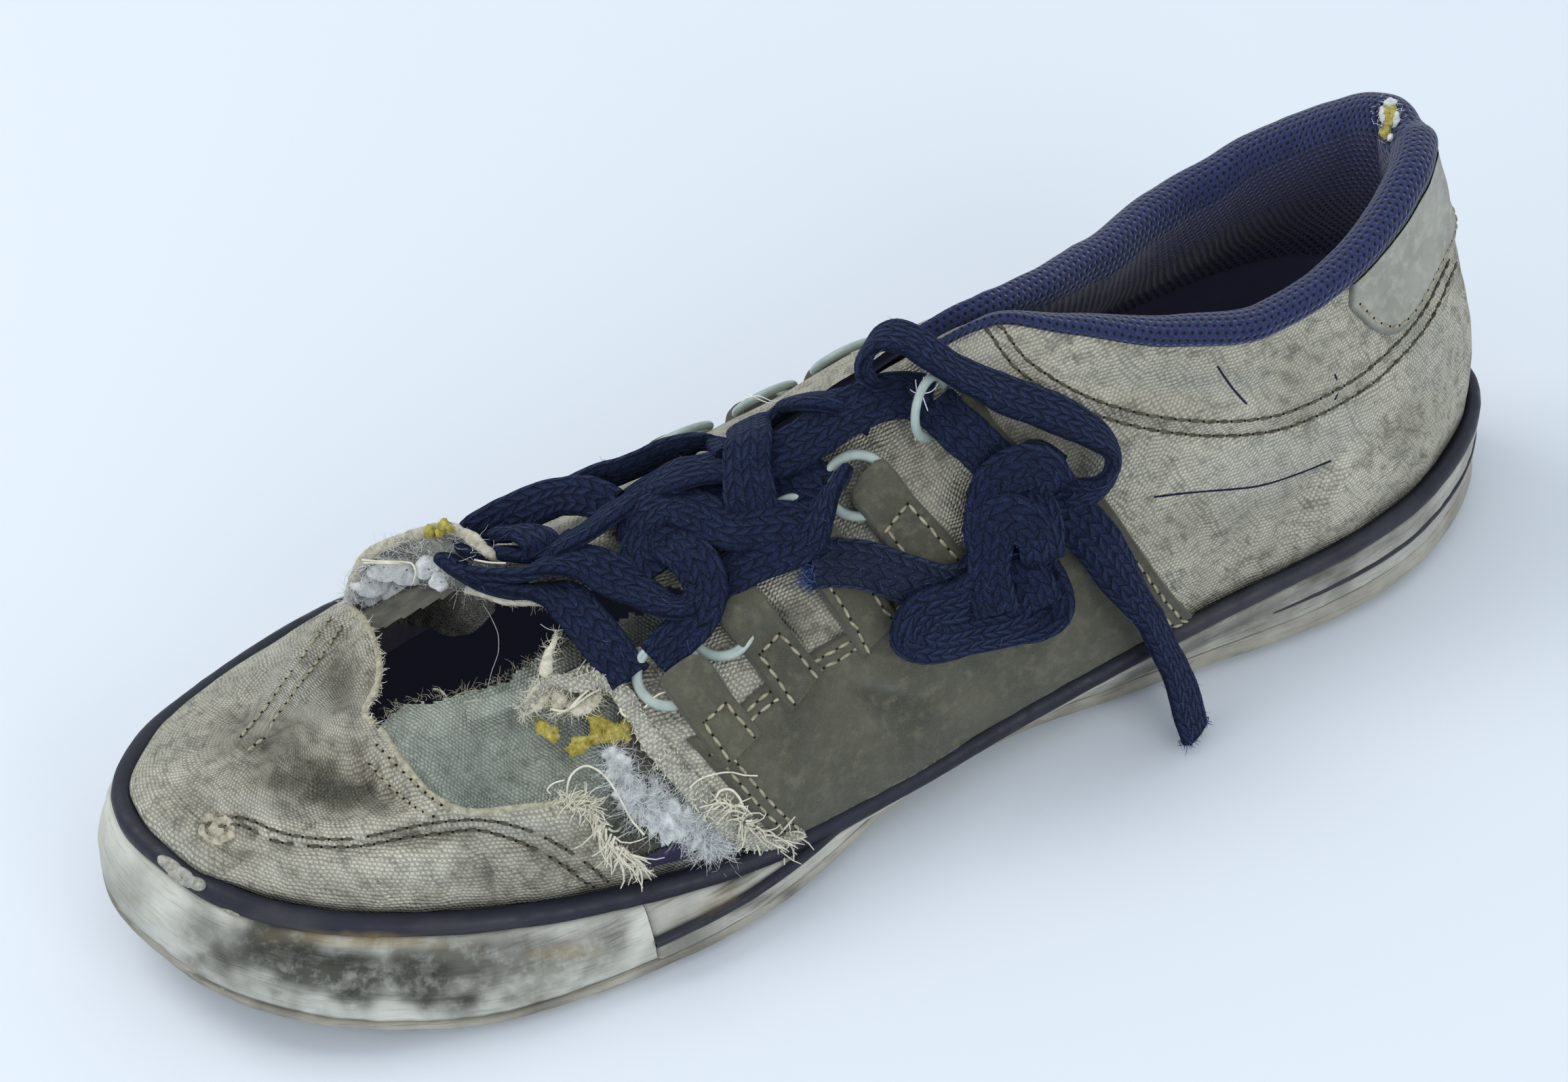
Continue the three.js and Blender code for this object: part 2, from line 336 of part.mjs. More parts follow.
// ---------------------------------------------------------------- the sole
const seatZ = (side, s) => treadZ(stationX(s)) + rub.slab(s); // top of the outsole, at a station
const ground = (side, s) => (side < 0 ? rub.mGround(s) : rub.lGround(s));
const levelled = (p) => p.setZ(treadZ(p.x));
{
  const n = STATIONS.length - 1, ring = ROUND, sh = new Shell();
  const bottom = ring.map(([d, s]) => levelled(flat(d, s, ground(d, s), 0)));
  const lower = ring.map(([d, s]) => {
    const p = flat(d, s, THREE.MathUtils.lerp(ground(d, s), rub.side(s), 0.8), 0);
    return p.setZ(treadZ(p.x) + 1.8);
  });
  const upper = ring.map(([d, s]) => flat(d, s, rub.side(s), seatZ(d, s)));
  const rows = ring.map((_, i) => [bottom[i], lower[i], upper[i]]);
  sh.sheet(rows, true, false);
  // tread and seat: strips across from the medial to the lateral edge
  for (const [loop, flip] of [[bottom, false], [upper, true]])
    for (let i = 0; i < n; i++) {
      const a = loop[i], b = loop[(i + 1) % (2 * n)], c = loop[(2 * n - i - 1) % (2 * n)], d = loop[(2 * n - i) % (2 * n)];
      flip ? sh.quad(a, b, c, d) : sh.quad(d, c, b, a);
    }
  let sole = solid(sh.geometry());
  // main lugs: grooves across the heel seat and the forefoot, closed at the edges by a rim
  const cuts = [];
  for (const [from, to, pitch] of [[62, 128, 11], [-112, -34, 11]])
    for (let x = from; x <= to; x += pitch) {
      const s = angle(x + 3), w0 = -out.medial(s) - ground(MEDIAL, s) + 9, w1 = out.lateral(s) + ground(LATERAL, s) - 9;
      const g = new THREE.BoxGeometry(GROOVE_WIDTH, w1 - w0, 2 * GROOVE_DEPTH);
      g.rotateY(Math.atan2(treadZ(x + 2) - treadZ(x - 2), -4) + Math.PI);
      g.translate(x, (w0 + w1) / 2, treadZ(x));
      cuts.push(solid(g));
    }
  for (const c of cuts) sole = sole.subtract(c);
  add("outsole", geometryOf(sole), material(0x8a857b, 0.85));
}
// rubber wall: a ring from the outsole up to the dark band
const tuckOff = (s) => rub.tuck(s);
function wallRing(name, levels, mat) {
  const sh = new Shell();
  sh.sheet(ROUND.map(([d, s]) => levels(d, s)), true, true);
  const g = geometryOf(solid(sh.geometry()));
  return add(name, g, mat);
}
const shareTuck = (side, s, z) => {
  // offset of the canvas below the top of the rubber, where it is drawn in towards its bottom edge
  const z0 = seatZ(side, s) + GAP, z1 = out.top(s);
  return THREE.MathUtils.lerp(tuckOff(s), 0, THREE.MathUtils.clamp((z - z0) / (z1 - z0), 0, 1));
};
wallRing("sidewall", (d, s) => {
  const z0 = seatZ(d, s) + GAP, z1 = out.top(s) - BAND_HEIGHT, zm = (z0 + z1) / 2;
  // behind the toe bumper the wall is thinner by the bumper's own thickness
  const behind = s >= angle(BUMPER_X) - 1e-9 ? BUMPER_THICKNESS + GAP : 0;
  const side = Math.max(rub.side(s), tuckOff(s) + 3.4) - behind;
  const top = Math.min(rub.band(s) - 0.5, rub.band(s) - 0.5 - behind * 0.6);
  return [
    flat(d, s, side, z0),
    flat(d, s, THREE.MathUtils.lerp(side, top, 0.35), zm),
    flat(d, s, top, z1),
    flat(d, s, shareTuck(d, s, z1) + 2.5 * GAP, z1),
    flat(d, s, shareTuck(d, s, z0) + 2.5 * GAP, z0),
  ].reverse();
}, material(0xb9b6ac, 0.7));
wallRing("foxing_band", (d, s) => {
  const z0 = out.top(s) - BAND_HEIGHT + GAP, z1 = out.top(s);
  return [flat(d, s, rub.band(s), z0), flat(d, s, rub.band(s) - 0.2, z1 - 1), flat(d, s, rub.band(s) - 1.4, z1), flat(d, s, 2.5 * GAP, z1), flat(d, s, shareTuck(d, s, z0) + 2.5 * GAP, z0)].reverse();
}, material(0x272a3c, 0.6));

// toe bumper: the outer layer of the wall round the toe, cut between the wall and its own outer form
function strip(name, stations, section, mat) {
  const sh = new Shell(), rows = stations.map(([d, s]) => section(d, s));
  sh.sheet(rows, false, true);
  sh.cap(rows[0]);
  sh.cap(rows[rows.length - 1], true);
  return add(name, geometryOf(solid(sh.geometry())), mat);
}
const between = (from, to) => {
  // stations from the medial side at x = from, round the toe or the heel, to the lateral side
  const a = angle(from), b = angle(to), toe = a > Math.PI / 2;
  const m = STATIONS.filter((s) => (toe ? s >= a - 1e-9 : s <= a + 1e-9)), l = STATIONS.filter((s) => (toe ? s >= b - 1e-9 : s <= b + 1e-9));
  return toe ? [...m.map((s) => [MEDIAL, s]), ...l.slice(0, -1).reverse().map((s) => [LATERAL, s])] : [...m.slice().reverse().map((s) => [MEDIAL, s]), ...l.slice(1).map((s) => [LATERAL, s])];
};
strip("toe_bumper", between(BUMPER_X, BUMPER_X), (d, s) => {
  const z0 = seatZ(d, s) + GAP, z1 = out.top(s) - BAND_HEIGHT, zm = (z0 + z1) / 2, behind = BUMPER_THICKNESS;
  const side = rub.side(s), inSide = side - behind, top = rub.band(s) + 0.6, inTop = rub.band(s) - 0.5 - (behind + GAP) * 0.6 + GAP;
  return [
    flat(d, s, side, z0),
    flat(d, s, THREE.MathUtils.lerp(side, top, 0.3), zm),
    flat(d, s, top, z1),
    flat(d, s, inTop, z1),
    flat(d, s, THREE.MathUtils.lerp(inSide, inTop, 0.35), zm),
    flat(d, s, inSide, z0),
  ].reverse();
}, material(0x9d9a90, 0.8));

// ---------------------------------------------------------------- insole
{
  const sh = new Shell(), n = STATIONS.length - 1, ring = ROUND;
  const lo = ring.map(([d, s]) => flat(d, s, tuckOff(s) - WALL - 0.6, seatZ(d, s) + GAP));
  const hi = ring.map(([d, s]) => flat(d, s, tuckOff(s) - WALL - 0.6, seatZ(d, s) + GAP + INSOLE_THICKNESS));
  sh.sheet(ring.map((_, i) => [lo[i], hi[i]]), true, false);
  for (const [loop, flip] of [[lo, false], [hi, true]])
    for (let i = 0; i < n; i++) {
      const a = loop[i], b = loop[(i + 1) % (2 * n)], c = loop[(2 * n - i - 1) % (2 * n)], d = loop[(2 * n - i) % (2 * n)];
      flip ? sh.quad(a, b, c, d) : sh.quad(d, c, b, a);
    }
  add("insole", geometryOf(solid(sh.geometry())), material(0x1d2030, 0.95));
}

// ---------------------------------------------------------------- upper
{
  const T = [0, 0.12, 0.26, 0.42, 0.6, 0.8, 1], sh = new Shell();
  for (const side of [MEDIAL, LATERAL]) {
    const S = STATIONS;
    const outer = S.map((s) => [flat(side, s, tuckOff(s), seatZ(side, s) + GAP), ...T.map((t) => canvas(side, s, t))]);
    const inner = S.map((s) => [flat(side, s, tuckOff(s) - WALL, seatZ(side, s) + GAP), flat(side, s, -WALL, out.top(s)), ...T.slice(1).map((t) => inside(side, s, t, WALL))]);
    const o = side < 0 ? outer : [...outer].reverse(), i = side < 0 ? inner : [...inner].reverse();
    sh.sheet(o);
    sh.sheet([...i].reverse());
    for (let k = 0; k < S.length - 1; k++) {
      const q = side < 0 ? k : S.length - 2 - k;
      sh.quad(i[k][0], i[k + 1][0], o[k + 1][0], o[k][0]);
      if (Math.max(S[q], S[q + 1]) <= CREST + 1e-9) {
        const last = T.length;
        sh.quad(o[k][last], o[k + 1][last], i[k + 1][last], i[k][last]);
      }
    }
  }
  let upper = solid(sh.geometry());
  const shape = new THREE.Shape(TEAR.map((r) => new THREE.Vector2(r.x, r.y)));
  const cutter = new THREE.ExtrudeGeometry(shape, { depth: 70, bevelEnabled: false, steps: 1 });
  cutter.translate(0, 0, 30);
  upper = upper.subtract(solid(cutter));
  add("upper", geometryOf(upper), material(0xb7b3a4, 0.95));
}

// ---------------------------------------------------------------- tongue
{
  const depth = WALL + 0.8, T = [0.6, 0.8, 1];
  const S = STATIONS.filter((s) => stationX(s) < 26 && stationX(s) > -40);
  const rows = S.map((s) => {
    const line = (dep) => [...T.map((t) => inside(MEDIAL, s, t, dep)), ...[...T].reverse().map((t) => inside(LATERAL, s, t, dep))];
    return [...line(depth), ...line(depth + TONGUE_THICKNESS).reverse()];
  });
  const sh = new Shell();
  sh.sheet(rows, false, true);
  sh.cap(rows[0]);
  sh.cap(rows[rows.length - 1], true);
  add("tongue", geometryOf(solid(sh.geometry())), material(0x23294a, 0.95));
}

// ---------------------------------------------------------------- collar padding
{
  const stations = between(36, 36), full = angle(66), end = angle(36);
  strip("collar_pad", stations, (d, s) => {
    const k = 1 - 0.6 * THREE.MathUtils.smoothstep(s, full, end); // thinner where the roll runs into the throat
    const E = topline(d, s), n = canvasNormal(d, s, 1), up = E.clone().sub(canvas(d, s, 0.96)).normalize();
    const over = (u, o) => E.clone().addScaledVector(up, u).addScaledVector(n, o);
    const depth = WALL + 0.7;
    return [
      inside(d, s, 0.42, depth),
      inside(d, s, 0.6, depth),
      inside(d, s, 0.8, depth),
      over(-1.2, -depth - 0.2),
      over(0.9, -depth - 0.2),
      over(0.9, 0.4),
      over(0.6 + 2.4 * k, 1.0),
      over(0.6 + 4.6 * k, -1.6),
      over(0.6 + 3.8 * k, -1.6 - 3.6 * k),
      over(-1.5, -depth - PAD_THICKNESS * k),
      inside(d, s, 0.78, depth + PAD_THICKNESS * k),
      inside(d, s, 0.6, depth + 4.5 * k),
      inside(d, s, 0.42, depth + 1.6 * k),
    ];
  }, material(0x2b3566, 0.95));
}

// ---------------------------------------------------------------- lace rings
const ringSolids = []; // grown by the gap, for the laces to keep clear of
for (const r of RINGS)
  for (const [side, word, x, t] of [[MEDIAL, "medial", r.medialX, r.medialT], [LATERAL, "lateral", r.lateralX, r.lateralT]]) {
    const s = angle(x), n = canvasNormal(side, s, t), along = new THREE.Vector3(1, 0, 0).addScaledVector(n, -n.x).normalize();
    const across = n.clone().cross(along);
    const ring = new THREE.TorusGeometry(RING_RADIUS, RING_BAR, 6, 14);
    // the ring's plane lies on the canvas, tipped up a little towards the throat
    const tip = 0.2 * side;
    const up = n.clone().multiplyScalar(Math.cos(tip)).addScaledVector(across, -Math.sin(tip));
    const m = new THREE.Matrix4().makeBasis(along, up.clone().cross(along), up);
    m.setPosition(canvas(side, s, t).addScaledVector(n, RING_BAR + 2.4));
    ring.applyMatrix4(m);
    const clear = new THREE.TorusGeometry(RING_RADIUS, RING_BAR + GAP, 6, 14);
    clear.applyMatrix4(m);
    ringSolids.push(solid(clear));
    add("ring_" + word + "_" + r.name, geometryOf(solid(ring)), material(0xa9b5b0, 0.35));
  }

// ---------------------------------------------------------------- laces
const laceRound = new THREE.Shape(steps(7, (k) => new THREE.Vector2(Math.cos(k * 1.75 * Math.PI), Math.sin(k * 1.75 * Math.PI))));
function tube(route, radius) {
  const path = new THREE.CatmullRomCurve3(route.map((r) => new THREE.Vector3(r.x, r.y, r.z)), false, "centripetal");
  const section = new THREE.Shape(laceRound.getPoints().map((p) => p.multiplyScalar(radius)));
  return solid(new THREE.ExtrudeGeometry(section, { extrudePath: path, steps: Math.max(3, Math.round(path.getLength() / LACE_STEP)), bevelEnabled: false }));
}
{
  // everything laid so far, grown a little, that the next stretch keeps clear of
  let taken = ringSolids.reduce((a, b) => a.add(b));
  const bars = LACE_BARS.map((b) => tube(b.route, LACE_RADIUS)).reduce((a, b) => a.add(b)).subtract(taken);
  add("lace_bars", geometryOf(bars), material(0x141c3c, 0.95));
  taken = taken.add(LACE_BARS.map((b) => tube(b.route, LACE_RADIUS + GAP)).reduce((a, b) => a.add(b)));
  for (const c of LACE_CORDS) {
    add(c.name, geometryOf(tube(c.route, LACE_RADIUS).subtract(taken)), material(0x141c3c, 0.95));
    taken = taken.add(tube(c.route, LACE_RADIUS + GAP));
  }
}

// the part's own frame stands at the middle of the shoe's footprint, on the floor
shoe.position.set(-CENTRE_X, -CENTRE_Y, 0);

export default shoe;
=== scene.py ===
"""Looks of a worn out canvas sneaker (right shoe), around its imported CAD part. Lengths in the tables are
millimetres in the last's own axes: toe -X, heel +X, medial side -Y, +Z up; SHIFT takes them to the part's frame."""
import json
import math
import bpy
import numpy as np
from mathutils import Matrix, Vector
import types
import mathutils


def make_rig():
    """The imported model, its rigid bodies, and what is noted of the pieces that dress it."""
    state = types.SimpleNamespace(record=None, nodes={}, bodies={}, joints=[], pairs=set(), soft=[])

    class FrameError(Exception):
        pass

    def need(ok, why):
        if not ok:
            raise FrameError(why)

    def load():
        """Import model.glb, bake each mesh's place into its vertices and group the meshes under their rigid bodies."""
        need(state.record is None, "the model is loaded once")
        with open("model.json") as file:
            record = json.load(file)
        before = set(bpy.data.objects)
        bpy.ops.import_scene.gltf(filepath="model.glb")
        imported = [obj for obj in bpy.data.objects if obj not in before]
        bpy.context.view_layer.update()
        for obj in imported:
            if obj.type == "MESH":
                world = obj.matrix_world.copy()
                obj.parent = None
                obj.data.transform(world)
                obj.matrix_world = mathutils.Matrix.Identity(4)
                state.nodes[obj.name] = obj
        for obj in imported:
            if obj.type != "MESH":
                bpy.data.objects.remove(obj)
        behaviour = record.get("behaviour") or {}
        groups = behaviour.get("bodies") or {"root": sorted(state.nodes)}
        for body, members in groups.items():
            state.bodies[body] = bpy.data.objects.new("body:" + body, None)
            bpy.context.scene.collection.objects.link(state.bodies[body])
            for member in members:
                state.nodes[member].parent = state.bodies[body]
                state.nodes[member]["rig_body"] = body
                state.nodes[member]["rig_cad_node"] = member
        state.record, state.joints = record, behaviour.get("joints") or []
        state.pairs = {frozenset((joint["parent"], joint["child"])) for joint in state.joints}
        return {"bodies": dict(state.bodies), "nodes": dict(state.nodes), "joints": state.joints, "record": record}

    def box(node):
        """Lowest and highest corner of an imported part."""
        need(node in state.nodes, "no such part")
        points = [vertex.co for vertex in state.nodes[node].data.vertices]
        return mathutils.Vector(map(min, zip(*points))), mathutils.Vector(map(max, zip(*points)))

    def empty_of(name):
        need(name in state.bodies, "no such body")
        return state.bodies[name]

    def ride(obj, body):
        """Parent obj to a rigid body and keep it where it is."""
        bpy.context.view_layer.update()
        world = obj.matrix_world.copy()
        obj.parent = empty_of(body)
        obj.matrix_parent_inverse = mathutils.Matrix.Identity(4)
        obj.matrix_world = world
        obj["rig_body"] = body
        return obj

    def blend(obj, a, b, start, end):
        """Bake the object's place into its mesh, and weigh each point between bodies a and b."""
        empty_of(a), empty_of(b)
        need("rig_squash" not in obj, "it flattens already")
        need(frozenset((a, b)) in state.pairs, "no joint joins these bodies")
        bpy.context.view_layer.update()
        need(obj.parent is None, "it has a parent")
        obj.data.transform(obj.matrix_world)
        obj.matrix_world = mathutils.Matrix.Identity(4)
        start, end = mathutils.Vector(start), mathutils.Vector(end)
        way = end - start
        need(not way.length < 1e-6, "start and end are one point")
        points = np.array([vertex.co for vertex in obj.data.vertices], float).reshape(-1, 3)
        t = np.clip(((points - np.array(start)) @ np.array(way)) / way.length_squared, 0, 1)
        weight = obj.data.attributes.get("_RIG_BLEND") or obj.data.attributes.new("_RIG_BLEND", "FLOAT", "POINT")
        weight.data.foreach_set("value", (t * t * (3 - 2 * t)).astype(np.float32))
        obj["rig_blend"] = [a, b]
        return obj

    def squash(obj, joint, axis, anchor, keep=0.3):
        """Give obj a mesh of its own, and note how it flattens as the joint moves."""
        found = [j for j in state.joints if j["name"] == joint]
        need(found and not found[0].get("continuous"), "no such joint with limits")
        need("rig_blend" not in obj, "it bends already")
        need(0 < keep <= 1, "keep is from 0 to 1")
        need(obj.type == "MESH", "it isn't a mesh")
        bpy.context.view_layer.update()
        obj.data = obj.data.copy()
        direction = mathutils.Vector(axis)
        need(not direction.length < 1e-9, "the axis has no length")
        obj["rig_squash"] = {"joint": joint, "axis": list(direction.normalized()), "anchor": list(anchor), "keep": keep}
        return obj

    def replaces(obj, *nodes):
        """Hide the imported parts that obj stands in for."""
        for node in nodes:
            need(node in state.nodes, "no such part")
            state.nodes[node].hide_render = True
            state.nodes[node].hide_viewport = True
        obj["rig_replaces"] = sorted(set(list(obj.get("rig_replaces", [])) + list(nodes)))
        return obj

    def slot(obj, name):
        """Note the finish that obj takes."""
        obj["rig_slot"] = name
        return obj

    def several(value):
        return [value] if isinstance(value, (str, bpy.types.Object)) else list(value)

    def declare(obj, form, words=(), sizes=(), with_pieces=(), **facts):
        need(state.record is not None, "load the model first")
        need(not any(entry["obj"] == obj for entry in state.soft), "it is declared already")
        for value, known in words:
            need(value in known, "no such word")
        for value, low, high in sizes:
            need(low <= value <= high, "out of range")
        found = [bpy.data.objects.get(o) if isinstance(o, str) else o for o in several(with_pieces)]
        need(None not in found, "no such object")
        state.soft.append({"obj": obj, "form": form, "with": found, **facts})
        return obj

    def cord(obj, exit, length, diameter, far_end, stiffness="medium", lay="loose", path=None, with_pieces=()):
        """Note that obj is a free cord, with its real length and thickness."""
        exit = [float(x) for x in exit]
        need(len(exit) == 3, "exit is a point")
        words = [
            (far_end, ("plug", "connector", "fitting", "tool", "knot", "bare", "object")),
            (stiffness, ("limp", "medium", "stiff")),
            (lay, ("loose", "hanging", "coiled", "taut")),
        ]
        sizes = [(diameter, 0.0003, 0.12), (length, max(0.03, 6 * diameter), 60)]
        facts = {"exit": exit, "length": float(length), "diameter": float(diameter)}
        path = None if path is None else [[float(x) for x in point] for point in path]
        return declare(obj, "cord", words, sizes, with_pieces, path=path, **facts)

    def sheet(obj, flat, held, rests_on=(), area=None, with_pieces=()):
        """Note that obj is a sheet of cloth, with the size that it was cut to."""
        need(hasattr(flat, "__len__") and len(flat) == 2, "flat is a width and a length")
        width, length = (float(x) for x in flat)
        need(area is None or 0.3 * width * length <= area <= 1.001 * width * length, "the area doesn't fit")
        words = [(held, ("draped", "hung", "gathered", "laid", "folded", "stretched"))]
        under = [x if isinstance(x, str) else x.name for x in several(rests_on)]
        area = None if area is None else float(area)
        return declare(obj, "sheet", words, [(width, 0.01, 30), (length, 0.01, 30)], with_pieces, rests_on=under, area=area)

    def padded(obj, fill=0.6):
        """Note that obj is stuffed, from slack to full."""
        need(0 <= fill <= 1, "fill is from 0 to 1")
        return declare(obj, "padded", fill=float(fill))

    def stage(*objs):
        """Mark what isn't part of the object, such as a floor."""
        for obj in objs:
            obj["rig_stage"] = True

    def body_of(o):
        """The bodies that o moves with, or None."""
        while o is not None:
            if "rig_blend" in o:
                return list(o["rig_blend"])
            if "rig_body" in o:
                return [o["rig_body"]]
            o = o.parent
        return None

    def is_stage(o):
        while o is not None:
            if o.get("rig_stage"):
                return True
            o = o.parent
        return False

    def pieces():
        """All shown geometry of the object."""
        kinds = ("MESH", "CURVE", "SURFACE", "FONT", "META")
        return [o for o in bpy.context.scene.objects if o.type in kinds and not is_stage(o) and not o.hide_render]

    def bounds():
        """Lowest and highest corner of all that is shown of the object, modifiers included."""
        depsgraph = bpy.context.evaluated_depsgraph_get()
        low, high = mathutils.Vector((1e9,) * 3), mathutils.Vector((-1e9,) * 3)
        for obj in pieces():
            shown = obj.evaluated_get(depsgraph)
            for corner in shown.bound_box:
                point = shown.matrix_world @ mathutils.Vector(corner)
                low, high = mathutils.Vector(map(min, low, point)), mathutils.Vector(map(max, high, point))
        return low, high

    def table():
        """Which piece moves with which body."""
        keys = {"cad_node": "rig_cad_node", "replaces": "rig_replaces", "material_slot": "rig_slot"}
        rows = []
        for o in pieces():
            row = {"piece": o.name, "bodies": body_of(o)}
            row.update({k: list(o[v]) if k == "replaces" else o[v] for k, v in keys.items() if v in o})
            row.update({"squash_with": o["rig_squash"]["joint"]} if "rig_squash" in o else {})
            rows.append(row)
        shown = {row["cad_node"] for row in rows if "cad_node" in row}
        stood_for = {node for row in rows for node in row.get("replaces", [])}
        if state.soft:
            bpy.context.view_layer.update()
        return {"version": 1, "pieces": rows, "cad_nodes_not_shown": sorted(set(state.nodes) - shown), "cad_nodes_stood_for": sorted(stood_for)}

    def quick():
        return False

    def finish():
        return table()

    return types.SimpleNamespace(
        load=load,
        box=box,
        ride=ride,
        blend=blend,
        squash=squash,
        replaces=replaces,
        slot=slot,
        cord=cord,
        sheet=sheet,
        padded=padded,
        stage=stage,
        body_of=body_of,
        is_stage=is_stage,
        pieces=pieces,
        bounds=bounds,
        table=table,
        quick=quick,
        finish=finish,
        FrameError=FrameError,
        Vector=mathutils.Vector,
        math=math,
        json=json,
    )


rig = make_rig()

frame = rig.load()
SIZES = {"at_load": [[float(v) for v in c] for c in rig.bounds()]} if hasattr(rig, "bounds") else {}
SHIFT = np.array([-0.8, 5.2, 0.0])
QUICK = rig.quick()
rng = np.random.default_rng(11)

# ------------------------------------------------------------------ camera (the photograph's angle)
AZ, EL, ROLL, FOCAL = -17.39, 43.094, -6.423, 6213.87  # degrees, degrees, degrees, pixels of a 2312 wide picture
EYE = np.array([-180.688, -566.442, 593.533])
WIDE, HIGH = 2312.0, 1596.0


def camera_axes():
    a, e, r = np.radians([AZ, EL, ROLL])
    back = np.array([np.sin(a) * np.cos(e), -np.cos(a) * np.cos(e), np.sin(e)])
    right = np.array([np.cos(a), np.sin(a), 0.0])
    up = np.cross(back, right)
    return np.cos(r) * right + np.sin(r) * up, -np.sin(r) * right + np.cos(r) * up, back


CR, CU, CB = camera_axes()


def seen(P):
    """Where points fall in the picture, in its pixels."""
    V = P - EYE
    z = -(V @ CB)
    return np.stack([WIDE / 2 + FOCAL * (V @ CR) / z, HIGH / 2 - FOCAL * (V @ CU) / z], -1)


scene = bpy.context.scene
cam = bpy.data.objects.new("camera", bpy.data.cameras.new("camera"))
scene.collection.objects.link(cam)
cam.data.sensor_width = 36.0
cam.data.sensor_fit = "HORIZONTAL"
cam.data.lens = FOCAL / WIDE * 36.0
cam.data.clip_start, cam.data.clip_end = 0.02, 20.0
loc = (EYE + SHIFT) / 1000
cam.matrix_world = Matrix([[CR[0], CU[0], CB[0], loc[0]], [CR[1], CU[1], CB[1], loc[1]], [CR[2], CU[2], CB[2], loc[2]], [0, 0, 0, 1]])
scene.camera = cam

# ------------------------------------------------------------------ the last's surface, as in the CAD source
HEEL_X, TOE_X, CREST_X = 144.0, -137.0, -46.0
OUTLINE = np.array([  # station, medial and lateral half width at the rubber's top, height of the rubber's top
    [144, -2.5, 2.5, 23.0], [135.4, 14.6, 17.8, 23.3], [126.7, 22.0, 24.9, 23.5], [115, 28.8, 31.0, 23.6], [101, 32.8, 34.4, 23.2],
    [86, 34.6, 35.6, 22.2], [58, 36.3, 36.4, 18.6], [29, 39.4, 37.4, 15.0], [0, 45.2, 40.0, 13.4], [-29, 51.4, 43.2, 15.2],
    [-49, 52.9, 43.4, 17.8], [-69, 52.8, 40.8, 21.4], [-86, 51.2, 35.0, 24.9], [-104, 47.2, 25.8, 28.8], [-118, 41.0, 16.5, 32.0],
    [-127, 33.2, 9.4, 34.4], [-133.4, 22.0, 1.5, 36.0], [-137, 9.0, -9.0, 36.8]])
TOPLINE = np.array([  # station, its own x, medial y z, lateral y z
    [144, 135.5, 3, 84, 3, 84], [135, 133, -5, 86, 11.5, 85.5], [121, 125.5, -12.5, 84.5, 18.5, 83], [106.6, 115.5, -18.5, 80.5, 23.5, 78.3],
    [92, 103, -22.5, 75.8, 26.2, 73.2], [75, 88, -23.4, 72.2, 25.2, 69.6], [57.6, 72, -18.0, 72.0, 19.0, 70.5], [40, 54, -9.5, 75.8, 10.0, 74.2],
    [26, 40, -3.5, 78.4, 5.5, 76.4], [11, 26, -3.5, 75.5, 5.5, 72.8], [-6, 8, -5.5, 68.5, 6.0, 66.2], [-24, -12, -8, 61.5, 6.5, 60.2],
    [-37, -27, -8, 57, 4, 57], [-46, -38, -2, 55.5, -2, 55.5], [-60, -53, -3.5, 53, -3.5, 53], [-86, -75, -7, 47.5, -7, 47.5],
    [-115, -96, -10.5, 45, -10.5, 45], [-137, -109, -11, 44.2, -11, 44.2]])
CLIMB = np.array([  # station, medial lean and rise, lateral lean and rise, drop in degrees, reach
    [144, .10, .42, .10, .42, 82, .30], [115, .12, .42, .12, .42, 80, .30], [86, .10, .40, .10, .40, 74, .32], [58, .02, .40, .02, .40, 60, .36],
    [30, -.08, .40, -.14, .34, 38, .40], [0, -.10, .42, -.25, .27, 26, .42], [-30, -.02, .44, -.30, .24, 18, .45], [-52, .04, .46, -.32, .22, 8, .48],
    [-86, .05, .50, -.35, .20, 0, .50], [-115, .05, .50, -.20, .24, 0, .50], [-137, .05, .45, .05, .45, 3, .50]])
RUBBER = np.array([  # station, offsets outward: band, side, medial ground, lateral ground; tuck, slab
    [144, 3.4, 1.6, -4, -3, -2.5, 8], [115, 3.4, 1.4, -5, -4, -2.5, 8], [86, 3.3, .6, -6, -4.5, -3.5, 7.5], [58, 3.2, -1.5, -8, -5.5, -6, 6],
    [29, 3.0, -3.0, -9.5, -6, -8, 5], [0, 3.0, -1.0, -7, -4, -6, 4.5], [-29, 3.4, 4.5, 1, 1, -2, 5], [-49, 3.8, 7.2, 5, 4.5, -.8, 4.6],
    [-69, 4.2, 8.4, 6.5, 5.5, -.8, 3.8], [-104, 4.4, 8.8, 6.2, 5.5, -.8, 3.6], [-137, 4.4, 8.8, 4.5, 4.5, -.8, 3.6]])
TREAD = np.array([[-148, 17.2], [-132, 11.6], [-116, 6.6], [-98, 2.0], [-82, 0], [-38, 0], [-18, 1.4], [5, 3.0], [29, 1.6], [52, 0], [130, 0], [136, .2], [150, 1.4]])


def curve(xs, ys):
    xs, ys = np.asarray(xs, float), np.asarray(ys, float)
    h = np.diff(xs)
    d = np.diff(ys) / h
    m = np.empty(len(xs))
    m[0], m[-1] = d[0], d[-1]
    m[1:-1] = np.where(d[:-1] * d[1:] <= 0, 0, (d[:-1] * h[1:] + d[1:] * h[:-1]) / (h[:-1] + h[1:]))

    def f(x):
        x = np.asarray(x, float)
        i = np.clip(np.searchsorted(xs, x, side="right") - 1, 0, len(xs) - 2)
        t = np.clip((x - xs[i]) / h[i], 0, 1)
        return (2 * t**3 - 3 * t**2 + 1) * ys[i] + (t**3 - 2 * t**2 + t) * h[i] * m[i] + (-2 * t**3 + 3 * t**2) * ys[i + 1] + (t**3 - t**2) * h[i] * m[i + 1]

    return f


MID, HALF = (HEEL_X + TOE_X) / 2, (HEEL_X - TOE_X) / 2


def angle(x):
    return np.arccos(np.clip((np.asarray(x, float) - MID) / HALF, -1, 1))


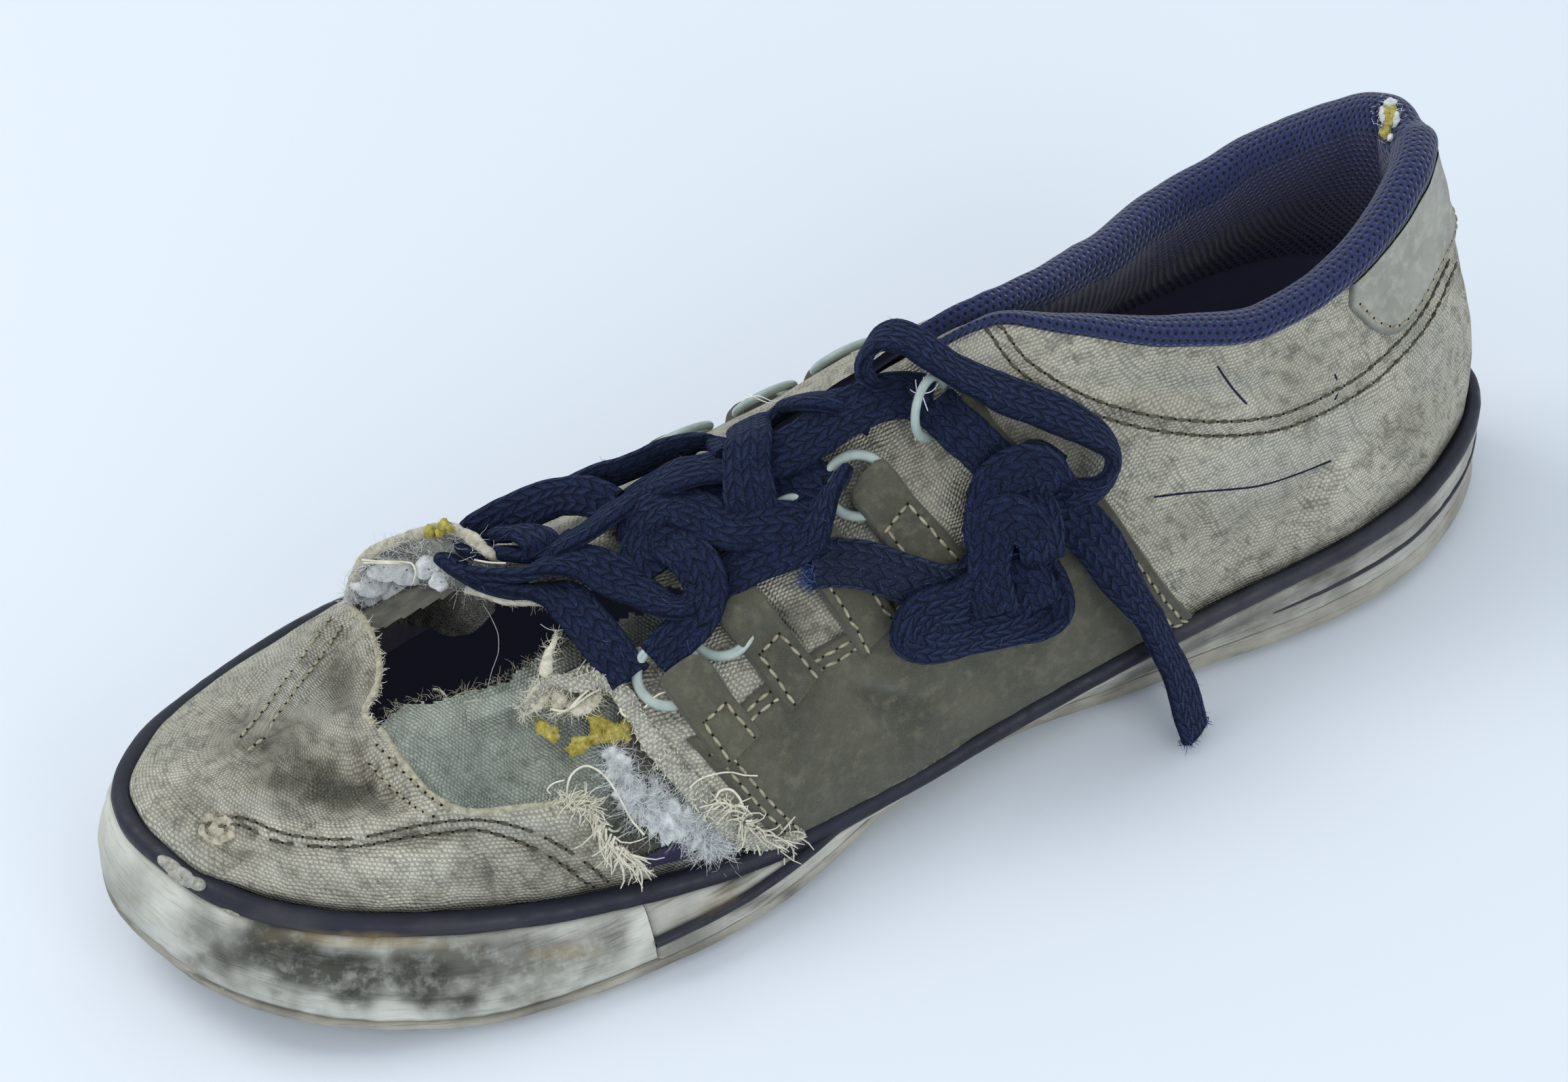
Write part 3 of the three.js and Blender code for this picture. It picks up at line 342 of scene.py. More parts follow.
def columns(table):
    s = angle(table[:, 0])
    return [curve(s, table[:, k]) for k in range(1, table.shape[1])]


f_med, f_lat, f_top = columns(OUTLINE)
t_x, t_my, t_mz, t_ly, t_lz = columns(TOPLINE)
c_ml, c_mr, c_ll, c_lr, c_drop, c_reach = columns(CLIMB)
r_band, r_side, r_mg, r_lg, r_tuck, r_slab = columns(RUBBER)
tread_z = curve(TREAD[:, 0], TREAD[:, 1])
CREST = float(angle(CREST_X))


def outline(side, s):
    return np.stack([MID + HALF * np.cos(s), -f_med(s) if side < 0 else f_lat(s), f_top(s)], -1)


def outward(side, s):
    s = np.asarray(s, float)
    e = 2e-3
    t = (outline(side, np.clip(s + e, 0, np.pi)) - outline(side, np.clip(s - e, 0, np.pi)))[..., :2]
    k = 1.0 if side < 0 else -1.0
    n = np.stack([-t[..., 1] * k, t[..., 0] * k, 0 * t[..., 0]], -1)
    n /= np.linalg.norm(n, axis=-1, keepdims=True)
    n[s < 1e-6] = (1, 0, 0)
    n[s > np.pi - 1e-6] = (-1, 0, 0)
    return n


def topline(side, s):
    crest = s >= CREST
    y = np.where(crest | (side < 0), t_my(s), t_ly(s))
    z = np.where(crest | (side < 0), t_mz(s), t_lz(s))
    return np.stack([t_x(s), y, z], -1)


def canvas(side, s, t):
    """The outside of the canvas: t is 0 at the rubber and 1 at the top line."""
    s, t = np.broadcast_arrays(np.asarray(s, float), np.asarray(t, float))
    B, E, n = outline(side, s), topline(side, s), outward(side, s)
    lean, rise = (c_ml(s), c_mr(s)) if side < 0 else (c_ll(s), c_lr(s))
    h = (E - B)[..., 2]
    P1 = B + (n * lean[..., None] + np.array([0, 0, 1.0])) * (h * rise)[..., None]
    d = B - E
    d[..., 2] = 0
    d /= np.maximum(np.linalg.norm(d, axis=-1, keepdims=True), 1e-9)
    b = np.radians(c_drop(s))[..., None]
    span = np.linalg.norm(B - E, axis=-1, keepdims=True)
    P2 = E + (d * np.cos(b) - np.array([0, 0, 1.0]) * np.sin(b)) * span * c_reach(s)[..., None]
    u = t[..., None]
    return (1 - u) ** 3 * B + 3 * (1 - u) ** 2 * u * P1 + 3 * (1 - u) * u**2 * P2 + u**3 * E


def normals(side, s, t):
    s, t = np.broadcast_arrays(np.asarray(s, float), np.asarray(t, float))
    e = 4e-3
    s0, s1, t0, t1 = np.clip(s - e, 0, np.pi), np.clip(s + e, 0, np.pi), np.clip(t - .01, 0, 1), np.clip(t + .01, 0, 1)
    du = canvas(side, s1, t) - canvas(side, s0, t)
    dv = canvas(side, s, t1) - canvas(side, s, t0)
    k = 1.0 if side < 0 else -1.0
    du[s < 1e-6] = (0, -k, 0)
    du[s > np.pi - 1e-6] = (0, k, 0)
    n = np.cross(du, dv) * -k
    n /= np.maximum(np.linalg.norm(n, axis=-1, keepdims=True), 1e-9)
    # over the crest the two sides lean on one normal
    blend = np.clip((t - 0.86) / 0.14, 0, 1) * (s > CREST - 0.05)
    v = topline(side, np.clip(s + .02, 0, np.pi)) - topline(side, np.clip(s - .02, 0, np.pi))
    m = np.stack([v[..., 2], 0 * v[..., 2], -v[..., 0]], -1)
    m /= np.maximum(np.linalg.norm(m, axis=-1, keepdims=True), 1e-9)
    n = n * (1 - blend[..., None]) + m * blend[..., None]
    return n / np.linalg.norm(n, axis=-1, keepdims=True)


# ------------------------------------------------------------------ small geometry tools
def segments_distance(P, line):
    """Distance of points from a polyline, and how far along it (0 to 1) the nearest point is."""
    line = np.asarray(line, float)
    shape = P.shape[:-1]
    p = P.reshape(-1, P.shape[-1])
    best = np.full(len(p), 1e9)
    along = np.zeros(len(p))
    L = np.linalg.norm(np.diff(line, axis=0), axis=1)
    cum = np.concatenate([[0], np.cumsum(L)])
    for i in range(len(line) - 1):
        a, b = line[i], line[i + 1]
        u = np.clip(((p - a) @ (b - a)) / max((b - a) @ (b - a), 1e-12), 0, 1)
        d = np.linalg.norm(p - (a + u[:, None] * (b - a)), axis=1)
        k = d < best
        best[k] = d[k]
        along[k] = (cum[i] + u[k] * L[i]) / cum[-1]
    return best.reshape(shape), along.reshape(shape)


def in_polygon(p, poly):
    """Even-odd test of many 2D points."""
    x, y = p[..., 0], p[..., 1]
    inside = np.zeros(x.shape, bool)
    poly = np.asarray(poly, float)
    for (x0, y0), (x1, y1) in zip(poly, np.roll(poly, -1, 0)):
        if y0 == y1:
            continue
        hit = ((y0 > y) != (y1 > y)) & (x < (x1 - x0) * (y - y0) / (y1 - y0) + x0)
        inside ^= hit
    return inside


def signed_distance(p, poly):
    """Positive inside a 2D polygon."""
    closed = np.vstack([poly, poly[:1]])
    d, _ = segments_distance(p, closed)
    return np.where(in_polygon(p, poly), d, -d)


def smooth(x):
    x = np.clip(x, 0, 1)
    return x * x * (3 - 2 * x)


def spline(P, step):
    """A smooth curve through points (rows of any width), sampled every step of its first three columns."""
    P = np.asarray(P, float)
    Q = np.vstack([2 * P[0] - P[1], P, 2 * P[-1] - P[-2]])
    out = []
    for i in range(1, len(Q) - 2):
        p0, p1, p2, p3 = Q[i - 1], Q[i], Q[i + 1], Q[i + 2]
        for t in np.arange(12) / 12.0:
            out.append(.5 * (2 * p1 + (p2 - p0) * t + (2 * p0 - 5 * p1 + 4 * p2 - p3) * t * t + (3 * p1 - p0 - 3 * p2 + p3) * t**3))
    out.append(Q[-2])
    out = np.array(out)
    d = np.concatenate([[0], np.cumsum(np.linalg.norm(np.diff(out[:, :3], axis=0), axis=1))])
    n = max(3, int(round(d[-1] / step)) + 1)
    g = np.linspace(0, d[-1], n)
    return np.stack([np.interp(g, d, out[:, k]) for k in range(out.shape[1])], 1)


def unit(v):
    return v / np.maximum(np.linalg.norm(v, axis=-1, keepdims=True), 1e-9)


def value_noise(P, scale, seed=0):
    """Smooth noise from -1 to 1 at 3D points."""
    q = np.asarray(P, float) / scale + seed * 17.31
    i = np.floor(q).astype(np.int64)
    f = q - i
    f = f * f * (3 - 2 * f)
    out = np.zeros(q.shape[:-1])
    for dx in (0, 1):
        for dy in (0, 1):
            for dz in (0, 1):
                h = ((i[..., 0] + dx) * 73856093) ^ ((i[..., 1] + dy) * 19349663) ^ ((i[..., 2] + dz) * 83492791) ^ (seed * 2654435761)
                h = (h ^ (h >> 13)) * 1274126177
                v = ((h ^ (h >> 16)) & 0xFFFF) / 32767.5 - 1
                w = (f[..., 0] if dx else 1 - f[..., 0]) * (f[..., 1] if dy else 1 - f[..., 1]) * (f[..., 2] if dz else 1 - f[..., 2])
                out += v * w
    return out


def make(name, V, F, material, uv=None, attrs=None, smooth_shading=True, slot=None, replaces=(), ride="root"):
    """A mesh object from arrays. V in the last's millimetres, F an (n, 3 or 4) array, uv per vertex."""
    V = (np.asarray(V, float).reshape(-1, 3) + SHIFT) / 1000.0
    F = np.asarray(F, np.int64)
    me = bpy.data.meshes.new(name)
    me.vertices.add(len(V))
    me.vertices.foreach_set("co", V.astype(np.float32).ravel())
    k = F.shape[1]
    me.loops.add(F.size)
    me.loops.foreach_set("vertex_index", F.astype(np.int32).ravel())
    me.polygons.add(len(F))
    me.polygons.foreach_set("loop_start", np.arange(0, F.size, k, dtype=np.int32))
    me.polygons.foreach_set("use_smooth", np.full(len(F), smooth_shading))
    if uv is not None:
        layer = me.uv_layers.new(name="mm")
        layer.data.foreach_set("uv", np.asarray(uv, np.float32).reshape(-1, 2)[F.ravel()].ravel())
    for key, val in (attrs or {}).items():
        a = me.attributes.new(key, "FLOAT", "POINT")
        a.data.foreach_set("value", np.asarray(val, np.float32).ravel())
    me.update(calc_edges=True)
    me.validate()
    me.materials.append(material)
    o = bpy.data.objects.new(name, me)
    scene.collection.objects.link(o)
    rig.ride(o, ride)
    if slot:
        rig.slot(o, slot)
    if replaces:
        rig.replaces(o, *replaces)
    return o


def grid_faces(n, m, closed_i=False, closed_j=False, flip=False):
    i = np.arange(n if closed_i else n - 1)
    j = np.arange(m if closed_j else m - 1)
    I, J = np.meshgrid(i, j, indexing="ij")
    I, J = I.ravel(), J.ravel()
    I1, J1 = (I + 1) % n, (J + 1) % m
    F = np.stack([I * m + J, I1 * m + J, I1 * m + J1, I * m + J1], 1)
    return F[:, ::-1] if flip else F


def packed(V, F, *extra):
    """Drops the vertices that no face uses."""
    used = np.unique(F)
    new = np.full(len(V), -1)
    new[used] = np.arange(len(used))
    return (V[used], new[F]) + tuple(e[used] for e in extra)


class Bag:
    """Collects many small pieces into one mesh."""

    def __init__(self):
        self.V, self.F, self.A, self.n = [], [], {}, 0

    def add(self, V, F, **attrs):
        self.V.append(V.reshape(-1, 3))
        self.F.append(F + self.n)
        for k, v in attrs.items():
            self.A.setdefault(k, []).append(np.broadcast_to(np.asarray(v, float), (len(V.reshape(-1, 3)),)))
        self.n += len(V.reshape(-1, 3))

    def make(self, name, material, **kw):
        if not self.V:
            return None
        attrs = {k: np.concatenate(v) for k, v in self.A.items()}
        return make(name, np.concatenate(self.V), np.concatenate(self.F), material, attrs=attrs, **kw)


def fibres(start, direction, length, radius, curl=0.5, segments=4, sides=3, seed=1, droop=0.0, taper=0.35):
    """Many thin threads as one set of arrays: start (n,3), direction (n,3), length (n,), radius (n,) or one number."""
    r = np.random.default_rng(seed)
    n = len(start)
    start, d = np.asarray(start, float), unit(np.asarray(direction, float))
    length = np.broadcast_to(np.asarray(length, float), (n,))
    radius = np.broadcast_to(np.asarray(radius, float), (n,))
    step = 4 if n > 1000 else 2 if n > 250 else 1
    start, d, length, radius, n = start[::step], d[::step], length[::step], radius[::step] * (1 + .15 * (step - 1)), len(start[::step])
    segments, sides = min(segments, 4), min(sides, 4)
    pts = [start]
    cur = d.copy()
    bend = r.normal(size=(n, 3)) * curl
    for k in range(segments):
        cur = unit(cur + bend * 0.5 + r.normal(size=(n, 3)) * curl * 0.35 - np.array([0, 0, droop]))
        pts.append(pts[-1] + cur * (length / segments)[:, None])
    pts = np.stack(pts, 1)  # n, seg+1, 3
    T = unit(np.gradient(pts, axis=1))
    ref = unit(np.cross(T, r.normal(size=(n, 1, 3)) * np.ones_like(T)))
    B = np.cross(T, ref)
    rad = radius[:, None] * np.linspace(1, taper, segments + 1)[None]
    ring = []
    for k in range(sides):
        a = 2 * np.pi * k / sides
        ring.append(pts + (ref * np.cos(a) + B * np.sin(a)) * rad[..., None])
    V = np.stack(ring, 2)  # n, seg+1, sides, 3
    m = (segments + 1) * sides
    base = grid_faces(segments + 1, sides, closed_j=True)
    F = (base[None] + (np.arange(n) * m)[:, None, None]).reshape(-1, 4)
    return V.reshape(-1, 3), F


def sweep(C, N, width, thick, around=16, power=2.6, ends=True):
    """A flat cord along C with its flat side towards N: superellipse section. Returns V, F, uv (mm across, mm along)."""
    C, N = np.asarray(C, float), np.asarray(N, float)
    T = unit(np.gradient(C, axis=0))
    N = unit(N - (N * T).sum(1)[:, None] * T)
    B = np.cross(T, N)
    a = 2 * np.pi * np.arange(around) / around
    ca, sa = np.cos(a), np.sin(a)
    x = np.sign(ca) * np.abs(ca) ** (2 / power)
    y = np.sign(sa) * np.abs(sa) ** (2 / power)
    w = np.broadcast_to(np.asarray(width, float), (len(C),))
    h = np.broadcast_to(np.asarray(thick, float), (len(C),))
    V = C[:, None] + B[:, None] * (x[None] * w[:, None] / 2)[..., None] + N[:, None] * (y[None] * h[:, None] / 2)[..., None]
    L = np.concatenate([[0], np.cumsum(np.linalg.norm(np.diff(C, axis=0), axis=1))])
    # across: unrolled round the section, so that both faces carry the braid
    sec = np.stack([x * w.mean() / 2, y * h.mean() / 2], 1)
    arc = np.concatenate([[0], np.cumsum(np.linalg.norm(np.diff(sec, axis=0), axis=1))])
    uv = np.stack(np.broadcast_arrays(arc[None], L[:, None]), -1)
    F = grid_faces(len(C), around, closed_j=True, flip=True)
    V = V.reshape(-1, 3)
    if ends:
        n = len(V)
        V = np.vstack([V, C[:1], C[-1:]])
        uv = np.vstack([uv.reshape(-1, 2), [[0, 0]], [[0, L[-1]]]])
        k = np.arange(around)
        k1 = (k + 1) % around
        last = (len(C) - 1) * around
        cap0 = np.stack([k, k1, np.full(around, n), np.full(around, n)], 1)
        cap1 = np.stack([last + k1, last + k, np.full(around, n + 1), np.full(around, n + 1)], 1)
        caps = np.vstack([cap0, cap1])
        return V, F, uv.reshape(-1, 2), caps[:, :3]
    return V, F, uv.reshape(-1, 2), None


# ------------------------------------------------------------------ materials (all procedural)
def rgb(r, g, b):
    """Display colour 0-255 to the renderer's linear colour."""
    c = [v / 255.0 for v in (r, g, b)]
    return tuple([v / 12.92 if v <= 0.04045 else ((v + 0.055) / 1.055) ** 2.4 for v in c] + [1.0])


class Net:
    def __init__(self, name, rough=0.9, spec=0.25):
        self.m = bpy.data.materials.new(name)
        self.m.use_nodes = True
        self.t = self.m.node_tree
        self.t.nodes.clear()
        self.out = self.t.nodes.new("ShaderNodeOutputMaterial")
        self.b = self.t.nodes.new("ShaderNodeBsdfPrincipled")
        self.t.links.new(self.b.outputs[0], self.out.inputs[0])
        self.b.inputs["Roughness"].default_value = rough
        self.b.inputs["Specular IOR Level"].default_value = spec

    def link(self, a, b):
        self.t.links.new(a, b)

    def put(self, socket, v):
        if isinstance(v, bpy.types.NodeSocket):
            self.link(v, socket)
        elif isinstance(v, (int, float)):
            socket.default_value = v
        else:
            socket.default_value = tuple(v)[: len(socket.default_value)]

    def uv(self):
        n = self.t.nodes.new("ShaderNodeUVMap")
        n.uv_map = "mm"
        s = self.t.nodes.new("ShaderNodeSeparateXYZ")
        self.link(n.outputs[0], s.inputs[0])
        return s.outputs[0], s.outputs[1], n.outputs[0]

    def place(self):
        """Object coordinates in millimetres."""
        n = self.t.nodes.new("ShaderNodeTexCoord")
        m = self.t.nodes.new("ShaderNodeVectorMath")
        m.operation = "SCALE"
        m.inputs["Scale"].default_value = 1000.0
        self.link(n.outputs["Object"], m.inputs[0])
        return m.outputs[0]

    def attr(self, name):
        n = self.t.nodes.new("ShaderNodeAttribute")
        n.attribute_name = name
        return n.outputs["Fac"]

    def math(self, op, a, b=0.0, c=0.0, clamp=False):
        n = self.t.nodes.new("ShaderNodeMath")
        n.operation = op
        n.use_clamp = clamp
        for k, v in enumerate((a, b, c)):
            if k < len(n.inputs):
                self.put(n.inputs[k], v)
        return n.outputs[0]

    def noise(self, vec, scale, detail=3.0, rough=0.55, distort=0.0):
        n = self.t.nodes.new("ShaderNodeTexNoise")
        self.link(vec, n.inputs["Vector"])
        n.inputs["Scale"].default_value = scale
        n.inputs["Detail"].default_value = detail
        n.inputs["Roughness"].default_value = rough
        n.inputs["Distortion"].default_value = distort
        return n.outputs["Fac"]

    def voronoi(self, vec, scale, feature="F1", rand=1.0):
        n = self.t.nodes.new("ShaderNodeTexVoronoi")
        self.link(vec, n.inputs["Vector"])
        n.feature = feature
        n.inputs["Scale"].default_value = scale
        n.inputs["Randomness"].default_value = rand
        return n.outputs["Distance"]

    def stretch(self, vec, sx, sy, sz):
        n = self.t.nodes.new("ShaderNodeVectorMath")
        n.operation = "MULTIPLY"
        self.link(vec, n.inputs[0])
        n.inputs[1].default_value = (sx, sy, sz)
        return n.outputs[0]

    def span(self, v, a, b, lo=0.0, hi=1.0):
        n = self.t.nodes.new("ShaderNodeMapRange")
        n.clamp = True
        self.put(n.inputs["Value"], v)
        n.inputs["From Min"].default_value = a
        n.inputs["From Max"].default_value = b
        n.inputs["To Min"].default_value = lo
        n.inputs["To Max"].default_value = hi
        return n.outputs[0]

    def mix(self, f, a, b, mode="MIX"):
        n = self.t.nodes.new("ShaderNodeMix")
        n.data_type = "RGBA"
        n.blend_type = mode
        self.put(n.inputs[0], f)
        self.put(n.inputs[6], a)
        self.put(n.inputs[7], b)
        return n.outputs[2]

    def bump(self, h, strength, distance, prev=None):
        n = self.t.nodes.new("ShaderNodeBump")
        n.inputs["Strength"].default_value = strength
        n.inputs["Distance"].default_value = distance / 1000.0
        self.put(n.inputs["Height"], h)
        if prev is not None:
            self.link(prev, n.inputs["Normal"])
        return n.outputs[0]

    def color(self, v):
        self.put(self.b.inputs["Base Color"], v)

    def normal(self, v):
        self.link(v, self.b.inputs["Normal"])

    def rough(self, v):
        self.put(self.b.inputs["Roughness"], v)


def weave(n, u, v, pitch):
    """Plain weave: threads over and under each other. Returns height and a gap mask."""
    q = n.math("DIVIDE", v, pitch * .8)
    half = n.math("MULTIPLY", n.math("MODULO", n.math("ABSOLUTE", n.math("FLOOR", q)), 2.0), 0.5)
    a = n.math("SINE", n.math("MULTIPLY", n.math("ADD", n.math("DIVIDE", u, pitch), half), math.pi))
    b = n.math("SINE", n.math("MULTIPLY", q, math.pi))
    over = n.math("MULTIPLY", a, b)
    return n.math("ABSOLUTE", over), over


def canvas_material(name, light, dark, soil, pitch=0.92, bump=0.5, grey=(100, 101, 93)):
    """Canvas: weave in the surface's own millimetres, stains by noise and by the vertex masks dirt, stain and pale."""
    n = Net(name, rough=0.95, spec=0.12)
    u, v, uv = n.uv()
    P = n.place()
    wob = n.math("MULTIPLY", n.math("SUBTRACT", n.noise(P, 0.16, 2.0), 0.5), 2.2)
    u2, v2 = n.math("ADD", u, wob), n.math("SUBTRACT", v, wob)
    h, over = weave(n, u2, v2, pitch)
    big = n.noise(P, 0.055, 4.0, 0.6)
    mid = n.noise(P, 0.35, 4.0, 0.62)
    fine = n.noise(P, 2.4, 2.0, 0.6)
    c = n.mix(n.span(big, 0.35, 0.68), light, dark)
    c = n.mix(n.math("MULTIPLY", n.span(mid, 0.48, 0.66), 0.6), c, rgb(*grey))
    c = n.mix(n.math("MULTIPLY", n.attr("pale"), n.span(mid, 0.25, 0.6, 0.55, 1.0)), c, rgb(196, 197, 186))
    c = n.mix(n.math("MULTIPLY", n.attr("dirt"), n.span(mid, 0.3, 0.62, 0.45, 1.0)), c, soil)
    c = n.mix(n.math("MULTIPLY", n.attr("stain"), n.span(fine, 0.3, 0.6, 0.6, 1.0)), c, rgb(44, 43, 38))
    # each thread catches its own light; gaps between the threads hold dirt
    c = n.mix(n.span(h, 0.0, 0.45, 0.52, 0.0), c, rgb(64, 61, 52))
    c = n.mix(n.span(fine, 0.35, 0.75, 0.0, 0.30), c, rgb(205, 203, 192))
    n.color(c)
    nb = n.bump(mid, 0.35, 0.6)
    nb = n.bump(n.math("ADD", h, n.math("MULTIPLY", fine, 0.5)), bump * 2, pitch * 0.55, nb)
    n.normal(nb)
    return n.m


def lace_material(name, base, lightc, darkc, fuzz=0.25):
    """Flat braid: columns of slanted plaits, from the cord's own millimetres across and along."""
    n = Net(name, rough=0.92, spec=0.15)
    u, v, uv = n.uv()
    P = n.place()
    cw, pitch = 1.62, 2.7
    q = n.math("DIVIDE", u, cw)
    col = n.math("FLOOR", q)
    ul = n.math("SUBTRACT", n.math("FRACT", q), 0.5)
    sign = n.math("SUBTRACT", n.math("MULTIPLY", n.math("MODULO", col, 2.0), 2.0), 1.0)
    wob = n.math("MULTIPLY", n.math("SUBTRACT", n.noise(P, 0.35, 1.0), 0.5), 0.6)
    ph = n.math("ADD", n.math("ADD", n.math("DIVIDE", v, pitch), n.math("MULTIPLY", n.math("MULTIPLY", sign, ul), 0.62)), wob)
    cell = n.math("POWER", n.math("ABSOLUTE", n.math("SINE", n.math("MULTIPLY", ph, math.pi))), 0.45)
    prof = n.math("POWER", n.math("MAXIMUM", n.math("COSINE", n.math("MULTIPLY", ul, math.pi * 0.96)), 0.0), 0.45)
    h = n.math("MULTIPLY", cell, prof)
    strand = n.noise(n.stretch(P, 1.0, 1.0, 1.0), 3.2, 2.0, 0.6)
    mid = n.noise(P, 0.6, 3.0)
    c = n.mix(n.span(mid, 0.3, 0.7), base, darkc)
    c = n.mix(n.span(strand, 0.5, 0.8, 0.0, 0.55), c, lightc)
    c = n.mix(n.span(h, 0.0, 0.55, 0.92, 0.0), c, rgb(5, 6, 14))
    n.color(c)
    n.b.inputs["Sheen Weight"].default_value = fuzz
    n.b.inputs["Sheen Roughness"].default_value = 0.45
    n.b.inputs["Sheen Tint"].default_value = rgb(120, 140, 190)
    nb = n.bump(h, 1.0, 1.3)
    nb = n.bump(strand, 0.7, 0.45, nb)
    n.normal(nb)
    return n.m


def plain_material(name, c1, c2, rough=0.8, spec=0.3, scale=0.5, bump=0.1, depth=0.3, fine=6.0, sheen=0.0):
    n = Net(name, rough=rough, spec=spec)
    P = n.place()
    a = n.noise(P, scale, 4.0, 0.6)
    f = n.noise(P, fine, 2.0, 0.6)
    n.color(n.mix(n.span(n.math("ADD", n.math("MULTIPLY", a, 0.8), n.math("MULTIPLY", f, 0.2)), 0.36, 0.66), c1, c2))
    if sheen:
        n.b.inputs["Sheen Weight"].default_value = sheen
    if bump:
        n.normal(n.bump(n.math("ADD", a, n.math("MULTIPLY", f, 0.5)), bump, depth))
    return n.m


def suede_material(name, c1, c2, worn):
    n = Net(name, rough=0.97, spec=0.1)
    P = n.place()
    big, mid, f = n.noise(P, 0.06, 3.0), n.noise(P, 0.4, 4.0, 0.65), n.noise(P, 5.0, 2.0, 0.7)
    c = n.mix(n.span(big, 0.35, 0.65), c1, c2)
    c = n.mix(n.span(mid, 0.48, 0.75, 0.0, 0.7), c, worn)
    c = n.mix(n.math("MULTIPLY", n.attr("edge"), n.span(mid, 0.3, 0.6, 0.3, 0.9)), c, rgb(40, 38, 33))
    c = n.mix(n.math("MULTIPLY", n.attr("dirt"), n.span(mid, 0.3, 0.62, 0.4, 1.0)), c, rgb(58, 56, 50))
    c = n.mix(n.span(f, 0.4, 0.8, 0.0, 0.20), c, rgb(150, 147, 130))
    n.color(c)
    n.b.inputs["Sheen Weight"].default_value = 0.25
    n.b.inputs["Sheen Roughness"].default_value = 0.6
    nb = n.bump(mid, 0.4, 0.5)
    n.normal(n.bump(f, 0.5, 0.25, nb))
    return n.m


def mesh_material(name, base, light, hole):
    """Knitted mesh: rows of small round holes in the surface's own millimetres."""
    n = Net(name, rough=0.9, spec=0.15)
    u, v, uv = n.uv()
    P = n.place()
    p = 1.55
    q = n.math("DIVIDE", v, p * 0.86)
    row = n.math("FLOOR", q)
    shift = n.math("MULTIPLY", n.math("MODULO", row, 2.0), 0.5)
    uu = n.math("SUBTRACT", n.math("FRACT", n.math("ADD", n.math("DIVIDE", u, p), shift)), 0.5)
    vv = n.math("SUBTRACT", n.math("FRACT", q), 0.5)
    d = n.math("SQRT", n.math("ADD", n.math("POWER", n.math("ABSOLUTE", uu), 2.0), n.math("POWER", n.math("MULTIPLY", n.math("ABSOLUTE", vv), 0.86), 2.0)))
    f = n.noise(P, 2.5, 2.0)
    c = n.mix(n.span(f, 0.35, 0.7), base, light)
    c = n.mix(n.span(d, 0.17, 0.30, 1.0, 0.0), c, hole)
    n.color(c)
    n.b.inputs["Sheen Weight"].default_value = 0.3
    n.b.inputs["Sheen Roughness"].default_value = 0.5
    nb = n.bump(n.span(d, 0.12, 0.34), 0.8, 0.5)
    n.normal(n.bump(f, 0.4, 0.3, nb))
    return n.m


def rubber_material(name, c1, c2, dirtc, rough=0.55, spec=0.35, scratches=0.4, bump=0.12):
    """Scuffed rubber: dirt by the mask, fine scratches along the wall, pits."""
    n = Net(name, rough=rough, spec=spec)
    P = n.place()
    u, v, uv = n.uv()
    big, mid = n.noise(P, 0.05, 4.0, 0.6), n.noise(P, 0.3, 5.0, 0.66)
    streak = n.noise(n.stretch(uv, 0.10, 1.6, 1.0), 1.0, 4.0, 0.7)
    fine = n.noise(P, 3.2, 3.0, 0.7)
    c = n.mix(n.span(big, 0.36, 0.66), c1, c2)
    c = n.mix(n.span(streak, 0.52, 0.74, 0.0, scratches), c, dirtc)
    c = n.mix(n.math("MULTIPLY", n.attr("dirt"), n.span(mid, 0.30, 0.52, 0.62, 1.0)), c, dirtc)
    c = n.mix(n.math("MULTIPLY", n.attr("stain"), n.span(streak, 0.25, 0.6, 0.4, 1.0)), c, rgb(38, 36, 34))
    c = n.mix(n.math("MULTIPLY", n.attr("tan"), n.span(mid, 0.3, 0.6, 0.3, 0.9)), c, rgb(140, 118, 72))
    n.color(c)
    n.rough(n.span(mid, 0.3, 0.7, rough - 0.08, rough + 0.25))
    nb = n.bump(mid, bump * 2, 0.4)
    n.normal(n.bump(n.math("ADD", fine, streak), bump, 0.25, nb))
    return n.m


M = {}
M["canvas"] = canvas_material("canvas", rgb(226, 221, 202), rgb(186, 182, 165), rgb(104, 97, 80))
M["canvas_in"] = canvas_material("canvas_lining", rgb(192, 202, 190), rgb(140, 152, 142), rgb(88, 86, 72), pitch=0.86, bump=0.5, grey=(100, 112, 104))
M["dark"] = plain_material("lining_dark", rgb(62, 60, 86), rgb(46, 45, 66), rough=0.95, spec=0.08, scale=0.1, bump=0.3, fine=3.0)
M["lining_side"] = plain_material("lining_side", rgb(104, 102, 92), rgb(70, 68, 60), rough=0.95, spec=0.08, scale=0.2, bump=0.6, fine=3.0)
M["lining_far"] = canvas_material("far_lining", rgb(120, 116, 104), rgb(92, 90, 80), rgb(54, 50, 44))
M["footbed"] = plain_material("footbed", rgb(24, 24, 34), rgb(14, 14, 20), rough=0.95, spec=0.08, scale=0.15, bump=0.3, fine=3.0)
for _m in (M["dark"], M["footbed"], M["lining_side"]):  # the little light that a deep lining gets from its own bounces
    _b = [x for x in _m.node_tree.nodes if x.type == "BSDF_PRINCIPLED"][0]
    _b.inputs["Emission Color"].default_value = rgb(20, 20, 30)
    _b.inputs["Emission Strength"].default_value = 0.8
M["lace"] = lace_material("lace", rgb(24, 34, 62), rgb(58, 74, 116), rgb(14, 20, 42))
M["lace_fuzz"] = lace_material("lace_frayed", rgb(30, 35, 56), rgb(72, 80, 108), rgb(18, 21, 38), fuzz=0.4)
M["hair_blue"] = plain_material("lace_hair", rgb(52, 66, 112), rgb(84, 100, 146), rough=0.9, spec=0.1, scale=0.5, bump=0.0)
M["thread"] = plain_material("thread", rgb(232, 228, 212), rgb(196, 191, 170), rough=0.95, spec=0.1, scale=0.6, bump=0.0)
